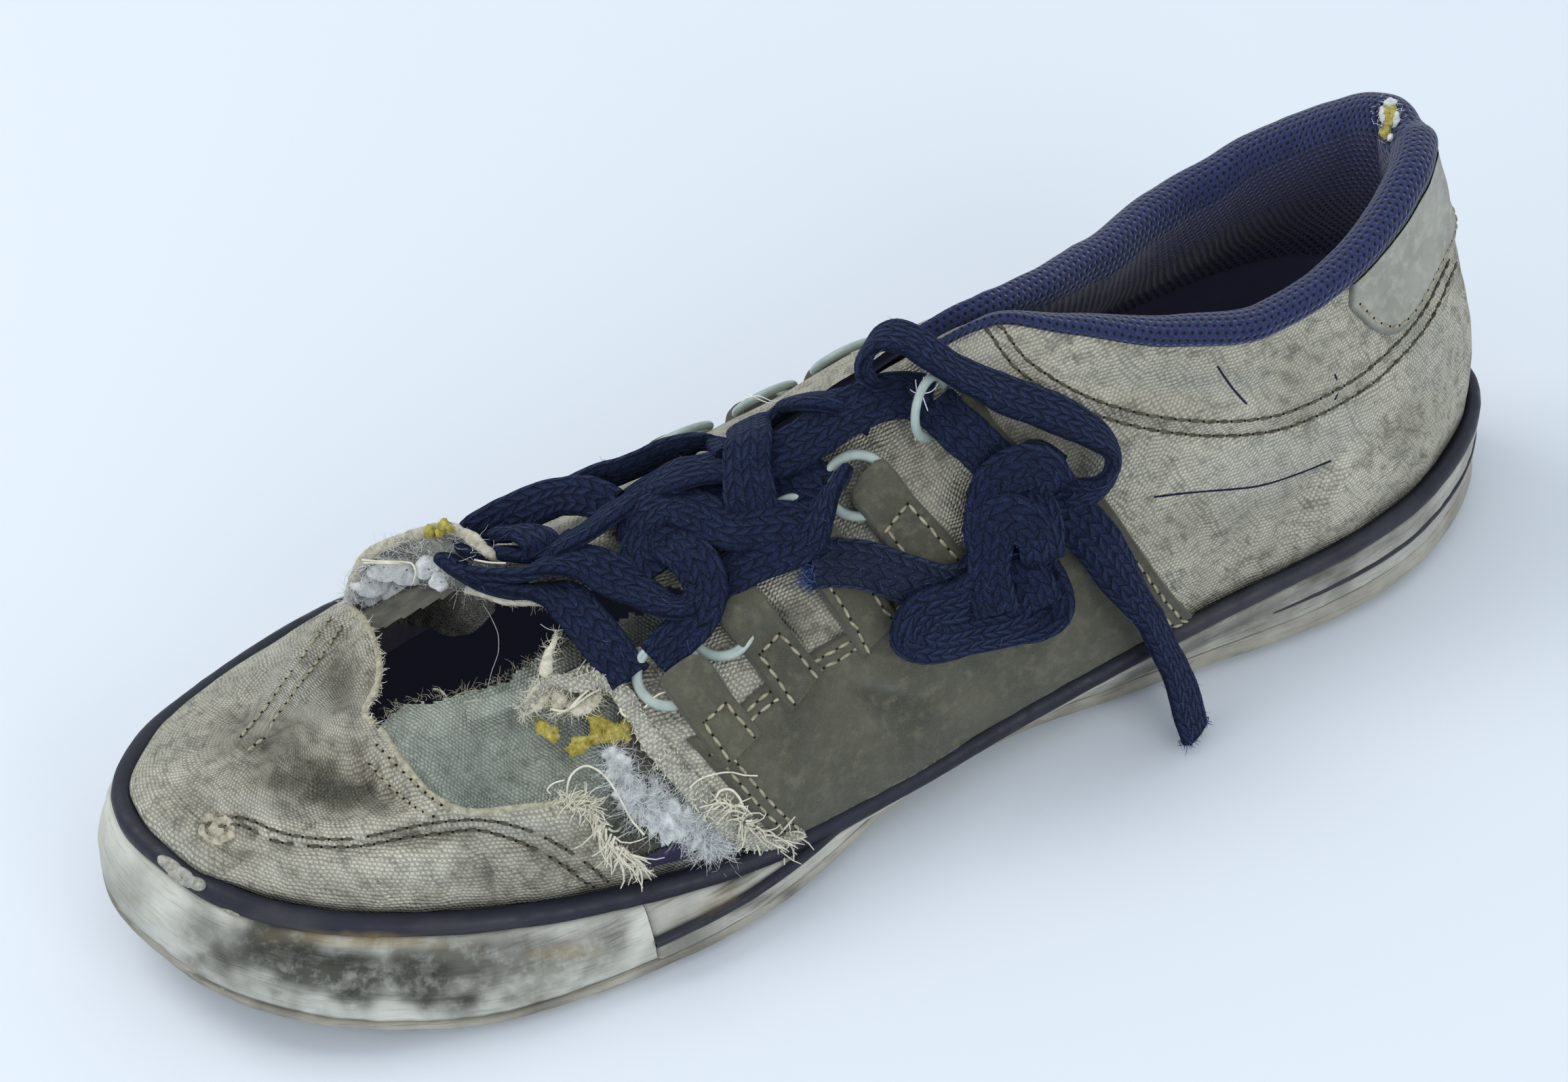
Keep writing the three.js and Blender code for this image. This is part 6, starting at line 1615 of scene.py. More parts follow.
def build_laces():
    bag = new_bag()
    for key in ("a", "a2", "b", "c", "d3", "d2", "d1", "d4", "d5", "d6", "d7", "e2", "e3", "e4", "f", "g", "i"):
        lace_mesh(bag, key)
    lace_object("lace_over_throat", bag, M["lace"], ("lace_bars",))
    fuzz("lace_hairs", bag, 3600, .8, 2.6, 61)
    for key, (name, node, far) in CORD_TEXT.items():
        b = new_bag()
        w, C, N = lace_mesh(b, key, ends=(1, 1 if key not in "lm" else (.92 if key == "m" else 1.1)))
        o = lace_object(name, b, M["lace_fuzz" if key == "l" else "lace"], (node,))
        hairs = fuzz(name + "_hairs", b, 1500 if key in "lm" else 700, .8, 3.0 if key in "lm" else 2.4, 70 + ord(key))
        extra = [hairs]
        if key in "lm":  # the worn open end
            r = np.random.default_rng(ord(key))
            T, q = unit(C[-1] - C[-3]), 520 if key == "l" else 260
            x = unit(np.cross(T, N[-1]))
            st = C[-1] - T * r.uniform(0, 1.2, (q, 1)) + x * r.uniform(-.46, .46, (q, 1)) * w + N[-1] * r.uniform(-1.2, 1.2, (q, 1))
            V, F = fibres(st, T + r.normal(0, .28, (q, 3)), r.uniform(.8, 4.2 if key == "l" else 2.2, q), .11, curl=.5, segments=4, seed=ord(key) + 1)
            extra.append(make(name + "_tip", V, F, M["hair_blue"], slot="lace_navy"))
        if key == "j":
            extra += knot_wraps()
        path = (C + SHIFT) / 1000
        L = float(np.linalg.norm(np.diff(path, axis=0), axis=1).sum())
        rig.cord(o, exit=tuple(path[0]), length=round(L, 4), diameter=w / 1000, far_end=far, stiffness="limp", lay="loose", path=[tuple(p) for p in path], with_pieces=extra)


# ------------------------------------------------------------------ suede, seams and stitches
def chart_inverse(side, u, v):
    c = CHART[side]
    u, v = np.broadcast_arrays(np.asarray(u, float), np.asarray(v, float))
    shape = u.shape
    u, v = u.ravel(), v.ravel()
    s = np.interp(u, c.u, c.s)
    si = s / np.pi * 720
    i = np.clip(si.astype(int), 0, 719)
    a = (si - i)[:, None]
    t = np.empty(len(u))
    for k in range(0, len(u), 8000):
        q = slice(k, k + 8000)
        col = c.v[i[q]] * (1 - a[q]) + c.v[i[q] + 1] * a[q]
        j = np.clip((col < v[q, None]).sum(1) - 1, 0, 119)
        r = np.arange(len(j))
        lo, hi = col[r, j], col[r, j + 1]
        t[q] = (j + np.clip((v[q] - lo) / np.maximum(hi - lo, 1e-6), 0, 1)) / 120
    return s.reshape(shape), t.reshape(shape)


def on_skin(side, uv, lift=0.0):
    s, t = chart_inverse(side, uv[..., 0], uv[..., 1])
    P, N = skin(side, s, t, 0.0)
    return P + N * (np.broadcast_to(np.asarray(lift, float), P.shape[:-1]))[..., None], N


def to_uv(points, side=-1):
    rows = locate(points)
    return CHART[side].uv(rows[:, 1], rows[:, 2])


def flat_spline(uv, step=1.0):
    uv = np.asarray(uv, float)
    return spline(np.column_stack([uv, np.zeros(len(uv))]), step)[:, :2]


def offset_line(uv, d):
    T = unit(np.gradient(uv, axis=0))
    return uv + np.stack([-T[:, 1], T[:, 0]], 1) * d


SUEDE_DIRT = [(1140, 950, 60, 80, 45, .4), (1240, 1190, 120, 40, -25, .5), (1500, 1050, 120, 40, -25, .5), (1100, 1200, 60, 60, 0, .35), (1350, 1130, 90, 40, -20, .5), (1700, 900, 60, 50, 0, .4), (1180, 1050, 60, 60, 0, .35), (1480, 900, 60, 60, 0, .35)]


def cloth_attrs(P, edge=None):
    out = {"dirt": spots(P, SUEDE_DIRT).ravel()}
    out["edge"] = np.zeros(len(out["dirt"])) if edge is None else np.asarray(edge, float).ravel()
    return out


def strip(name, side, uv, width, thick, mat, slot, tip=None, n=15, seed=3):
    """A band of suede along a route in the chart. tip lifts its first millimetres over a ring."""
    C = flat_spline(uv, .7)
    T = unit(np.gradient(C, axis=0))
    X = np.stack([-T[:, 1], T[:, 0]], 1)
    w = np.broadcast_to(np.asarray(width, float), (len(C),)) if np.ndim(width) == 0 else np.interp(np.linspace(0, 1, len(C)), np.linspace(0, 1, len(width)), width)
    a = np.concatenate([[-1, -.995, -.97, -.92], np.linspace(-.84, .84, n), [.92, .97, .995, 1]])
    L = np.concatenate([[0], np.cumsum(np.linalg.norm(np.diff(C, axis=0), axis=1))])
    wob = .22 * value_noise(np.column_stack([C, np.zeros(len(C))]), 5.0, seed)
    half = w / 2 + wob
    # rounded corners at the start
    half = half * np.sqrt(np.clip(1 - (1 - np.clip(L / 3.2, 0, 1)) ** 2.6, .0, 1)) + .05
    G = C[:, None] + X[:, None] * (a[None] * half[:, None])[..., None]
    prof = np.array([-.35, .55, .85, .97] + [1.0] * n + [.97, .85, .55, -.35])
    h = thick * prof[None] * np.ones((len(C), 1))
    if tip is not None:
        h = h + tip * (smooth((11.5 - L) / 6.0) * smooth((L + .5) / 1.3))[:, None] * (np.abs(a) < .999)[None]
    P, N = on_skin(side, G, h)
    # the start's edge comes down to the cloth
    if tip is not None:
        first, _ = on_skin(side, G[0], -.3 + 0 * h[0])
        P = np.concatenate([first[None], P], 0)
        G = np.concatenate([G[:1], G], 0)
    edge = np.clip(1 - (1 - np.abs(a)) / .16, 0, 1)[None] * np.ones((len(P), 1))
    return make(name, P.reshape(-1, 3), grid_faces(P.shape[0], P.shape[1], flip=side < 0), M[mat], attrs=cloth_attrs(P.reshape(-1, 3), edge), slot=slot)


def fine_param(n, ends):
    k = np.linspace(0, 1, n)
    return np.unique(np.concatenate([k, ends, 1 - np.asarray(ends)]))


def panel(name, side, low, high, thick, mat, slot, n=150, m=44, closed=(True, True, False, True)):
    """A panel between a low and a high line of the chart, both running the same way."""
    low, high = flat_spline(low, .5), flat_spline(high, .5)
    a = fine_param(n, [.002, .005, .01])
    b = fine_param(m, [.006, .014, .028])

    def at(line, k):
        d = np.linspace(0, 1, len(line))
        return np.stack([np.interp(k, d, line[:, 0]), np.interp(k, d, line[:, 1])], -1)

    A, B = at(low, a), at(high, a)
    G = A[:, None] * (1 - b)[None, :, None] + B[:, None] * b[None, :, None]
    height = np.linalg.norm(B - A, axis=1)
    length = np.linalg.norm(np.diff(high, axis=0), axis=1).sum()
    d_a = np.minimum(a if closed[0] else 1 + a, (1 - a) if closed[1] else 2 - a) * length
    d_b = np.minimum(b if closed[2] else 1 + b, (1 - b) if closed[3] else 2 - b)[None] * height[:, None]
    d = np.minimum(d_a[:, None], d_b)
    h = thick * np.where(d <= 1e-6, -.4, 1 - (1 - np.clip(d / .8, 0, 1)) ** 2 * .55)
    P, N = on_skin(side, G, h)
    edge = np.clip(1 - d / 1.6, 0, 1)
    return make(name, P.reshape(-1, 3), grid_faces(len(a), len(b), flip=side > 0), M[mat], attrs=cloth_attrs(P.reshape(-1, 3), edge), slot=slot)


def stitch_template():
    a = 2 * np.pi * np.arange(6) / 6
    rows = []
    for x, r in ((-1, .05), (-.8, .62), (-.35, 1), (.35, 1), (.8, .62), (1, .05)):
        rows.append(np.stack([np.full(6, x), np.cos(a) * r, np.sin(a) * r - (1 - min(1.0, r + .25)) * .8], 1))
    return np.stack(rows)


TEMPLATE = stitch_template()


def stitches_3d(P, N, bag, holes=None, pitch=3.0, length=.80, wide=.34, high=.30, sink=.0, seed=1, miss=.0):
    r = np.random.default_rng(seed)
    L = np.concatenate([[0], np.cumsum(np.linalg.norm(np.diff(P, axis=0), axis=1))])
    mid = np.arange(pitch / 2, L[-1], pitch)
    if not len(mid):
        return
    keep = r.random(len(mid)) >= miss
    mid = mid[keep]

    def at(q):
        return np.stack([np.interp(q, L, P[:, k]) for k in range(3)], -1), unit(np.stack([np.interp(q, L, N[:, k]) for k in range(3)], -1))

    c, n = at(mid)
    a, _ = at(np.clip(mid - pitch * .4, 0, L[-1]))
    b, _ = at(np.clip(mid + pitch * .4, 0, L[-1]))
    t = unit(b - a)
    x = np.cross(n, t)
    t = unit(t + x * r.normal(0, .10, (len(mid), 1)))
    x = np.cross(n, t)
    n2 = np.cross(t, x)
    V = c[:, None, None] + t[:, None, None] * TEMPLATE[None, ..., 0:1] * pitch * length / 2 + x[:, None, None] * TEMPLATE[None, ..., 1:2] * wide + n2[:, None, None] * (TEMPLATE[None, ..., 2:3] * high - sink)
    F0 = grid_faces(6, 6, closed_j=True)
    F = (F0[None] + (np.arange(len(mid)) * 36)[:, None, None]).reshape(-1, 4)
    bag.add(V, F)
    if holes is not None:
        e = np.concatenate([mid - pitch / 2, mid[-1:] + pitch / 2])
        c, n = at(np.clip(e, 0, L[-1]))
        k = 2 * np.pi * np.arange(6) / 6
        x = unit(np.cross(n, [0.2, 0.3, 0.9]))
        y = np.cross(n, x)
        rim = c[:, None] + (x[:, None] * np.cos(k)[None, :, None] + y[:, None] * np.sin(k)[None, :, None]) * .30 - n[:, None] * .06
        top = c[:, None] + n[:, None] * .05
        V = np.concatenate([rim, top], 1)
        i = np.arange(6)
        F0 = np.stack([i, (i + 1) % 6, np.full(6, 6)], 1)
        F = (F0[None] + (np.arange(len(c)) * 7)[:, None, None]).reshape(-1, 3)
        holes.add(V, F)


def stitches(side, uv, lift, bag, holes=None, **kw):
    C = flat_spline(uv, .8) if len(uv) > 2 else np.linspace(uv[0], uv[1], 40)
    P, N = on_skin(side, C, lift)
    stitches_3d(P, N, bag, holes, **kw)


def stitch_px(points, bag, holes=None, lift=.12, **kw):
    P, N = trace(points, 1.0, 0.0)
    stitches_3d(P + N * lift, N, bag, holes, **kw)


SADDLE_TOP = [(1010, 1090), (1062, 1068), (1120, 1012), (1200, 958), (1280, 912), (1370, 838), (1470, 756), (1560, 712), (1608, 706)]
SADDLE_FRONT_LOW, SADDLE_REAR_LOW = (1152, 1240), (1760, 892)
TABS = [  # ring tabs: top, foot, width at top and foot (mm)
    ("1", (996, 986), (1085, 1098), 8.6, 9.6), ("2", (1078, 886), (1178, 1012), 8.6, 9.6), ("3", (1182, 776), (1290, 930), 8.6, 9.8), ("4", (1272, 704), (1400, 862), 9.0, 10.2), ("5", (1398, 602), (1540, 762), 8.0, 10.0)]


def build_suede():
    light, dark, holes = Bag(), Bag(), Bag()
    for side in (-1, 1):
        top = to_uv(SADDLE_TOP)
        low0, low1 = to_uv([SADDLE_FRONT_LOW, SADDLE_REAR_LOW])
        if side > 0:
            shift = CHART[1].u[-1] / CHART[-1].u[-1]
            spots_ = np.array([CHART[1].uv(angle(x), t - .14) for _, x, t in LATERAL_RINGS]).reshape(-1, 2)
            spots_ = spots_[np.argsort(spots_[:, 0] * np.sign(top[-1, 0] - top[0, 0]))]
            d_ = spots_[-1] - spots_[-2]
            top = np.vstack([spots_[0] - d_ * .5, spots_, spots_[-1] + d_ * .6]) - [0, 17.0]
            low0, low1 = np.array([top[0, 0] - d_[0] * .25, -1.0]), np.array([top[-1, 0] + d_[0] * .35, -1.0])
        low0[1], low1[1] = -1.0, -1.0
        k = np.linspace(0, 1, 12)[:, None]
        low = low0 * (1 - k) + low1 * k
        nm = "medial" if side < 0 else "lateral"
        panel("suede_saddle_" + nm, side, low, top, 1.15, "suede", "suede")
        T = flat_spline(top, .6)
        n = len(T)
        for off in (-2.1, -4.2):
            line = offset_line(T, off if side < 0 else off)
            # the chart runs toe to heel or heel to toe: keep the line inside the panel
            inner = T + np.array([0, -abs(off)])
            line = np.where(((line - inner) ** 2).sum(1, keepdims=True) < 9, line, inner)
            stitches(side, line[6:-6], 1.22, light, holes, pitch=3.1, seed=5)
        for a, b, sgn in ((top[0], low0, 1), (top[-1], low1, -1)):
            d = unit(b - a)
            x = np.array([d[1], -d[0]])
            mid = (top.mean(0) + low.mean(0)) / 2
            if (mid - a) @ x < 0:
                x = -x
            for off in (1.9, 3.9):
                stitches(side, np.array([a + x * off + d * 4, b + x * off - d * .5]), 1.22, light, holes, pitch=3.1, seed=7)
        for name, ta, tb, wa, wb in TABS:
            a, b = to_uv([ta, tb])
            if side > 0:
                x_, t_ = [(x, t) for nm_, x, t in LATERAL_RINGS if nm_ == name][0]
                a = CHART[1].uv(angle(x_), t_ - .14).reshape(2) - [0, 1.5]
                b = a - [0, 19.0]
            d = unit(b - a)
            foot = b + d * 1.5
            rows = [a + (foot - a) * q for q in (0, .25, .5, .75, 1.0)]
            strip("suede_tab_%s_%s" % (nm, name), side, rows, [wa, wa, (wa + wb) / 2, wb, wb], 2.0 if side < 0 else 1.6, "suede", "suede", tip=2.6 if side < 0 else 1.6, seed=int(name))
            x = np.array([-d[1], d[0]])
            length = np.linalg.norm(foot - a)
            box = min(12.0, length * .55)
            for q in (-1, 1):
                stitches(side, np.array([a + d * box + x * q * (wa / 2 - 1.7), foot + x * q * (wb / 2 - 1.6) - d * .5]), 2.08, light, holes, pitch=2.9, seed=int(name))
            for e in (0.0,):
                stitches(side, np.array([a + d * (box + e) - x * (wa / 2 - 1.8), a + d * (box + e) + x * (wa / 2 - 1.8)]), 2.1, light, holes, pitch=2.4, seed=3)
    # heel patch
    edge = to_uv([(1988, 452), (2002, 468), (2022, 486), (2046, 494), (2066, 486), (2090, 458), (2110, 418), (2128, 380)])
    edge = edge[np.argsort(-edge[:, 0])]
    for side in (-1, 1):
        E = edge.copy()
        E = np.vstack([E, [[0.0, E[-1, 1] + 1.0]]])
        s, _ = chart_inverse(side, E[:, 0], 0 * E[:, 0])
        high = np.stack([E[:, 0], CHART[side].uv(s, np.full(len(s), 1.0))[:, 1] - .4], 1)
        panel("heel_patch_" + ("medial" if side < 0 else "lateral"), side, E, high, 1.1, "heel_suede", "suede", n=60, m=40, closed=(True, False, True, False))
        # stitches just inside the patch
        for off in (1.7,):
            T = flat_spline(E, .6)
            inn = offset_line(T, off)
            other = offset_line(T, -off)
            pick = inn if inn[len(inn) // 2, 1] > T[len(T) // 2, 1] else other
            stitches(side, pick[3:-1], 1.16, light, holes, pitch=2.6, seed=9)
    # quarter seam: piped fold with two rows, running round the heel
    seam = [(1448, 474), (1470, 508), (1500, 545), (1560, 585), (1620, 613), (1700, 634), (1800, 643), (1900, 630), (2000, 582), (2060, 532), (2110, 470), (2148, 385)]
    up = [(x + dx, y + dy) for (x, y), (dx, dy) in zip(seam, [(18, -8), (18, -10), (14, -14), (9, -17), (6, -19), (3, -20), (-1, -21), (-7, -20), (-12, -17), (-14, -13), (-14, -8), (-12, -2)])]
    stitch_px(seam, dark, holes, lift=.2, pitch=2.7, seed=11)
    stitch_px(up, dark, holes, lift=.25, pitch=2.7, seed=12)
    # toe cap: double rows and the far seam
    toe = [(318, 1222), (345, 1216), (368, 1222), (400, 1240), (460, 1249), (530, 1249), (600, 1236), (660, 1229), (700, 1224), (755, 1238), (808, 1262), (850, 1291), (882, 1318)]
    toe2 = [(330, 1205), (365, 1208), (400, 1224), (450, 1236), (520, 1238), (590, 1224), (650, 1213), (710, 1210), (770, 1222), (825, 1247), (868, 1276), (900, 1303)]
    stitch_px(toe, dark, holes, lift=.3, pitch=2.4, seed=13, miss=.08)
    stitch_px(toe2, dark, holes, lift=.3, pitch=2.4, seed=14, miss=.12)
    far = [(505, 925), (470, 975), (432, 1025), (405, 1062), (368, 1108)]
    far2 = [(488, 912), (455, 958), (420, 1005), (392, 1045), (352, 1092)]
    stitch_px(far, light, holes, lift=.3, pitch=2.2, seed=15, miss=.1)
    stitch_px(far2, light, holes, lift=.3, pitch=2.2, seed=16, miss=.1)
    row = [(556, 1100), (590, 1135), (625, 1168), (662, 1196)]
    row2 = [(545, 1128), (575, 1160), (610, 1190), (640, 1205)]
    stitch_px(row, light, holes, lift=.3, pitch=2.2, seed=17)
    stitch_px(row2, light, holes, lift=.3, pitch=2.2, seed=18)
    light.make("stitches_suede", M["stitch"], slot="suede")
    dark.make("stitches_canvas", M["stitch_dark"], slot="canvas")
    holes.make("stitch_holes", M["hole"], slot="canvas")
    # plain pen strokes
    ink = Bag()
    for line in ([(1702, 733), (1760, 726), (1850, 718), (1905, 702), (1962, 680)], [(1795, 540), (1815, 570), (1838, 596)], [(1968, 552), (1975, 575), (1968, 590)]):
        P, N = trace(line, .8)
        V, F, uv, caps = sweep(P + N * .05, N, .42, .12, around=6)
        ink.add(V[: len(P) * 6], F)
    ink.make("pen_strokes", M["ink"], slot="canvas")


def build_tongue():
    s = np.linspace(float(angle(33)), float(angle(-34)), 120)
    A, B = topline(-1, s), topline(1, s)
    k = np.linspace(-.35, 1.35, 36)
    G = A[:, None] * (1 - k)[None, :, None] + B[:, None] * k[None, :, None]
    G[..., 2] -= 2.6 + 6.0 * (np.abs(k - .5) ** 2)[None] - 1.0 * np.sin(np.pi * np.clip(k, 0, 1))[None]
    G = G + [0, 0, 1] * (.4 * value_noise(G, 7, 91) + .2 * value_noise(G, 3, 92))[..., None]
    uv = np.stack([G[..., 0], G[..., 1]], -1)
    n, m = G.shape[:2]
    one = np.ones(n * m)
    make("tongue_cloth", G.reshape(-1, 3), grid_faces(n, m, flip=False), M["canvas"], uv=uv.reshape(-1, 2), attrs={"dirt": .45 * one, "stain": .1 * one, "pale": .2 * one}, slot="canvas", replaces=("tongue",))


# ------------------------------------------------------------------ the tear: lining, foam, felt, wadding, frayed edges
def at_depth(px, depth):
    px = np.asarray(px, float)
    z = np.asarray(depth, float)[..., None]
    return EYE - CB * z + CR * ((px[..., 0:1] - WIDE / 2) * z / FOCAL) - CU * ((px[..., 1:2] - HIGH / 2) * z / FOCAL)


def depth_of(P):
    return -((P - EYE) @ CB)


def place(points, lift=0.0):
    """Points and normals of the worn surface at picture positions."""
    pts = np.asarray(points, float).reshape(-1, 2)
    rows = locate(pts, 0.0)
    P, N = np.zeros((len(pts), 3)), np.zeros((len(pts), 3))
    for side in (-1, 1):
        k = rows[:, 0] == side
        if k.any():
            P[k], N[k] = skin(side, rows[k, 1], rows[k, 2], 0.0)
    return P + N * lift if np.isscalar(lift) else P + N * np.asarray(lift)[:, None], N


def px_sheet(name, polygon, sink, mat, slot, step=5.0, ragged=4.0, uvscale=.136, attrs=None, seed=5, shade=None):
    """A piece of cloth behind the opening: a grid over picture positions, pushed away from the camera by sink mm."""
    poly = np.asarray(polygon, float)
    lo, hi = poly.min(0) - step, poly.max(0) + step
    X, Y = np.meshgrid(np.arange(lo[0], hi[0], step), np.arange(lo[1], hi[1], step), indexing="ij")
    px = np.stack([X, Y], -1)
    sd = signed_distance(px.reshape(-1, 2), poly).reshape(X.shape)
    q3 = np.stack([X, Y, 0 * X], -1)
    sd = sd + ragged * (value_noise(q3, 14.0, seed) + .6 * value_noise(q3, 6.0, seed + 1))
    P, N = place(px.reshape(-1, 2))
    P, N = P.reshape(X.shape + (3,)), N.reshape(X.shape + (3,))
    # keep only the base form of the surface
    for _ in range(6):
        P[1:-1, 1:-1] = (P[:-2, 1:-1] + P[2:, 1:-1] + P[1:-1, :-2] + P[1:-1, 2:]) / 4
    s = sink(px, sd) if callable(sink) else sink
    back = unit(P - EYE)
    P = P + back * s[..., None] if not np.isscalar(s) else P + back * s
    ok = sd > 0
    F = grid_faces(*X.shape)
    keep = ok.reshape(-1)[F].all(1)
    F = F[keep]
    V = P.reshape(-1, 3)
    c = V[F].mean(1)
    nn = np.cross(V[F[:, 1]] - V[F[:, 0]], V[F[:, 3]] - V[F[:, 0]])
    if ((nn * (EYE - c)).sum(1)).sum() < 0:
        F = F[:, ::-1]
    uv = np.stack([X * uvscale * .8 + Y * uvscale * .6, -X * uvscale * .6 + Y * uvscale * .8], -1).reshape(-1, 2)
    a = {k: np.broadcast_to(v(px) if callable(v) else v, X.shape).reshape(-1) for k, v in (attrs or {"dirt": .2, "stain": .0, "pale": .0}).items()}
    keys = list(a)
    out = packed(V, F, uv, *[a[k] for k in keys])
    return make(name, out[0], out[1], M[mat], uv=out[2], attrs=dict(zip(keys, out[3:])), slot=slot)


def blob(points, radius, seed, flat=.5, lift=0.0, n=18, rough=.35, scale=2.0):
    """Lumpy sweep along a route given in the picture."""
    P, N = place(points, lift)
    R = spline(np.hstack([P, N]), .8) if len(P) > 1 else np.hstack([P, N])
    C, N = R[:, :3], unit(R[:, 3:])
    rad = np.interp(np.linspace(0, 1, len(C)), np.linspace(0, 1, len(radius)), radius)
    k = np.linspace(0, 1, len(C))
    rad = rad * np.sqrt(np.clip(1 - (2 * k - 1) ** 8, .03, 1))
    V, F, uv, caps = sweep(C, N, 2 * rad, 2 * rad * flat, around=n, power=2.0)
    nn = unit(V - np.vstack([np.repeat(C, n, 0), C[:1], C[-1:]]))
    V = V + nn * (rough * rad.mean() * (value_noise(V, scale, seed) + .6 * value_noise(V, scale * .45, seed + 1)))[:, None]
    T = np.vstack([F[:, [0, 1, 2]], F[:, [0, 2, 3]], caps])
    return V, T, C, N, rad


def hairs_round(C, N, rad, count, lo, hi, radius, seed, bias=.5, droop=.0, curl=.8, segments=5, flat=.5):
    r = np.random.default_rng(seed)
    i = r.integers(0, len(C), count)
    T = unit(np.gradient(C, axis=0))[i]
    n = N[i]
    x = np.cross(T, n)
    a = r.uniform(-np.pi, np.pi, count)
    a = np.where(r.random(count) < bias, r.normal(np.pi / 2, .9, count), a)
    d = x * np.cos(a)[:, None] + n * np.sin(a)[:, None]
    start = C[i] + (x * np.cos(a)[:, None] + n * (np.sin(a) * flat)[:, None]) * rad[i][:, None] * r.uniform(.6, 1.05, (count, 1))
    d = unit(d + T * r.normal(0, .9, (count, 1)) + r.normal(0, .5, (count, 3)))
    return fibres(start, d, r.uniform(lo, hi, count), radius, curl=curl, segments=segments, sides=3, seed=seed + 1, droop=droop)


def tuft(bag, px, direction_px, count, length, radius, seed, lift=0.5, spread=6.0, up=.5, droop=.15, curl=.6, thin=.35, segments=6):
    """Loose yarn ends from a picture position towards another."""
    r = np.random.default_rng(seed)
    P0, N0 = place([px], lift)
    P1, _ = place([direction_px], lift)
    d = unit(P1[0] - P0[0])
    x = np.cross(d, N0[0])
    start = P0[0] + x * r.normal(0, spread * .136, (count, 1)) + d * r.normal(0, .4, (count, 1)) + N0[0] * r.uniform(-.3, .5, (count, 1))
    dirs = d + N0[0] * r.normal(up, .35, (count, 1)) + x * r.normal(0, .45, (count, 1))
    V, F = fibres(start, dirs, length * r.uniform(.6, 1.15, count), radius * r.uniform(.7, 1.1, count), curl=curl, segments=segments, sides=5, seed=seed + 1, droop=droop, taper=thin)
    bag.add(V, F)


def loose_thread(bag, pts, lift, radius=.16, sides=6):
    """One thread through picture positions with its own lifts."""
    P, N = place(pts, np.asarray(lift, float))
    R = spline(np.hstack([P, N]), .5)
    C, N = R[:, :3], unit(R[:, 3:])
    C = C + .12 * np.stack([value_noise(C, 3.0, 81), value_noise(C, 3.0, 82), value_noise(C, 3.0, 83)], -1)
    V, F, uv, caps = sweep(C, N, 2 * radius, 2 * radius, around=sides, power=2.0)
    bag.add(V[: len(C) * sides], F)


TOE_EDGE = [(507, 890), (522, 901), (534, 913), (543, 930), (550, 945), (554, 960), (557, 980), (555, 1003), (548, 1024), (537, 1044), (541, 1060), (553, 1066)]
LOWER_EDGE = [(800, 1191), (850, 1180), (869, 1184), (877, 1205), (885, 1228), (900, 1249), (925, 1267), (947, 1284), (957, 1306)]
QUARTER_EDGE = [(772, 1052), (797, 1028), (812, 1008), (832, 1012), (856, 1018), (882, 1006), (906, 1016), (926, 1041), (950, 1076), (985, 1126), (1020, 1162), (1060, 1201), (1102, 1236), (1142, 1247), (1182, 1263)]
FAR_EDGE = [(515, 890), (540, 872), (565, 856), (600, 836), (640, 838), (660, 850), (700, 866), (760, 881), (820, 884)]


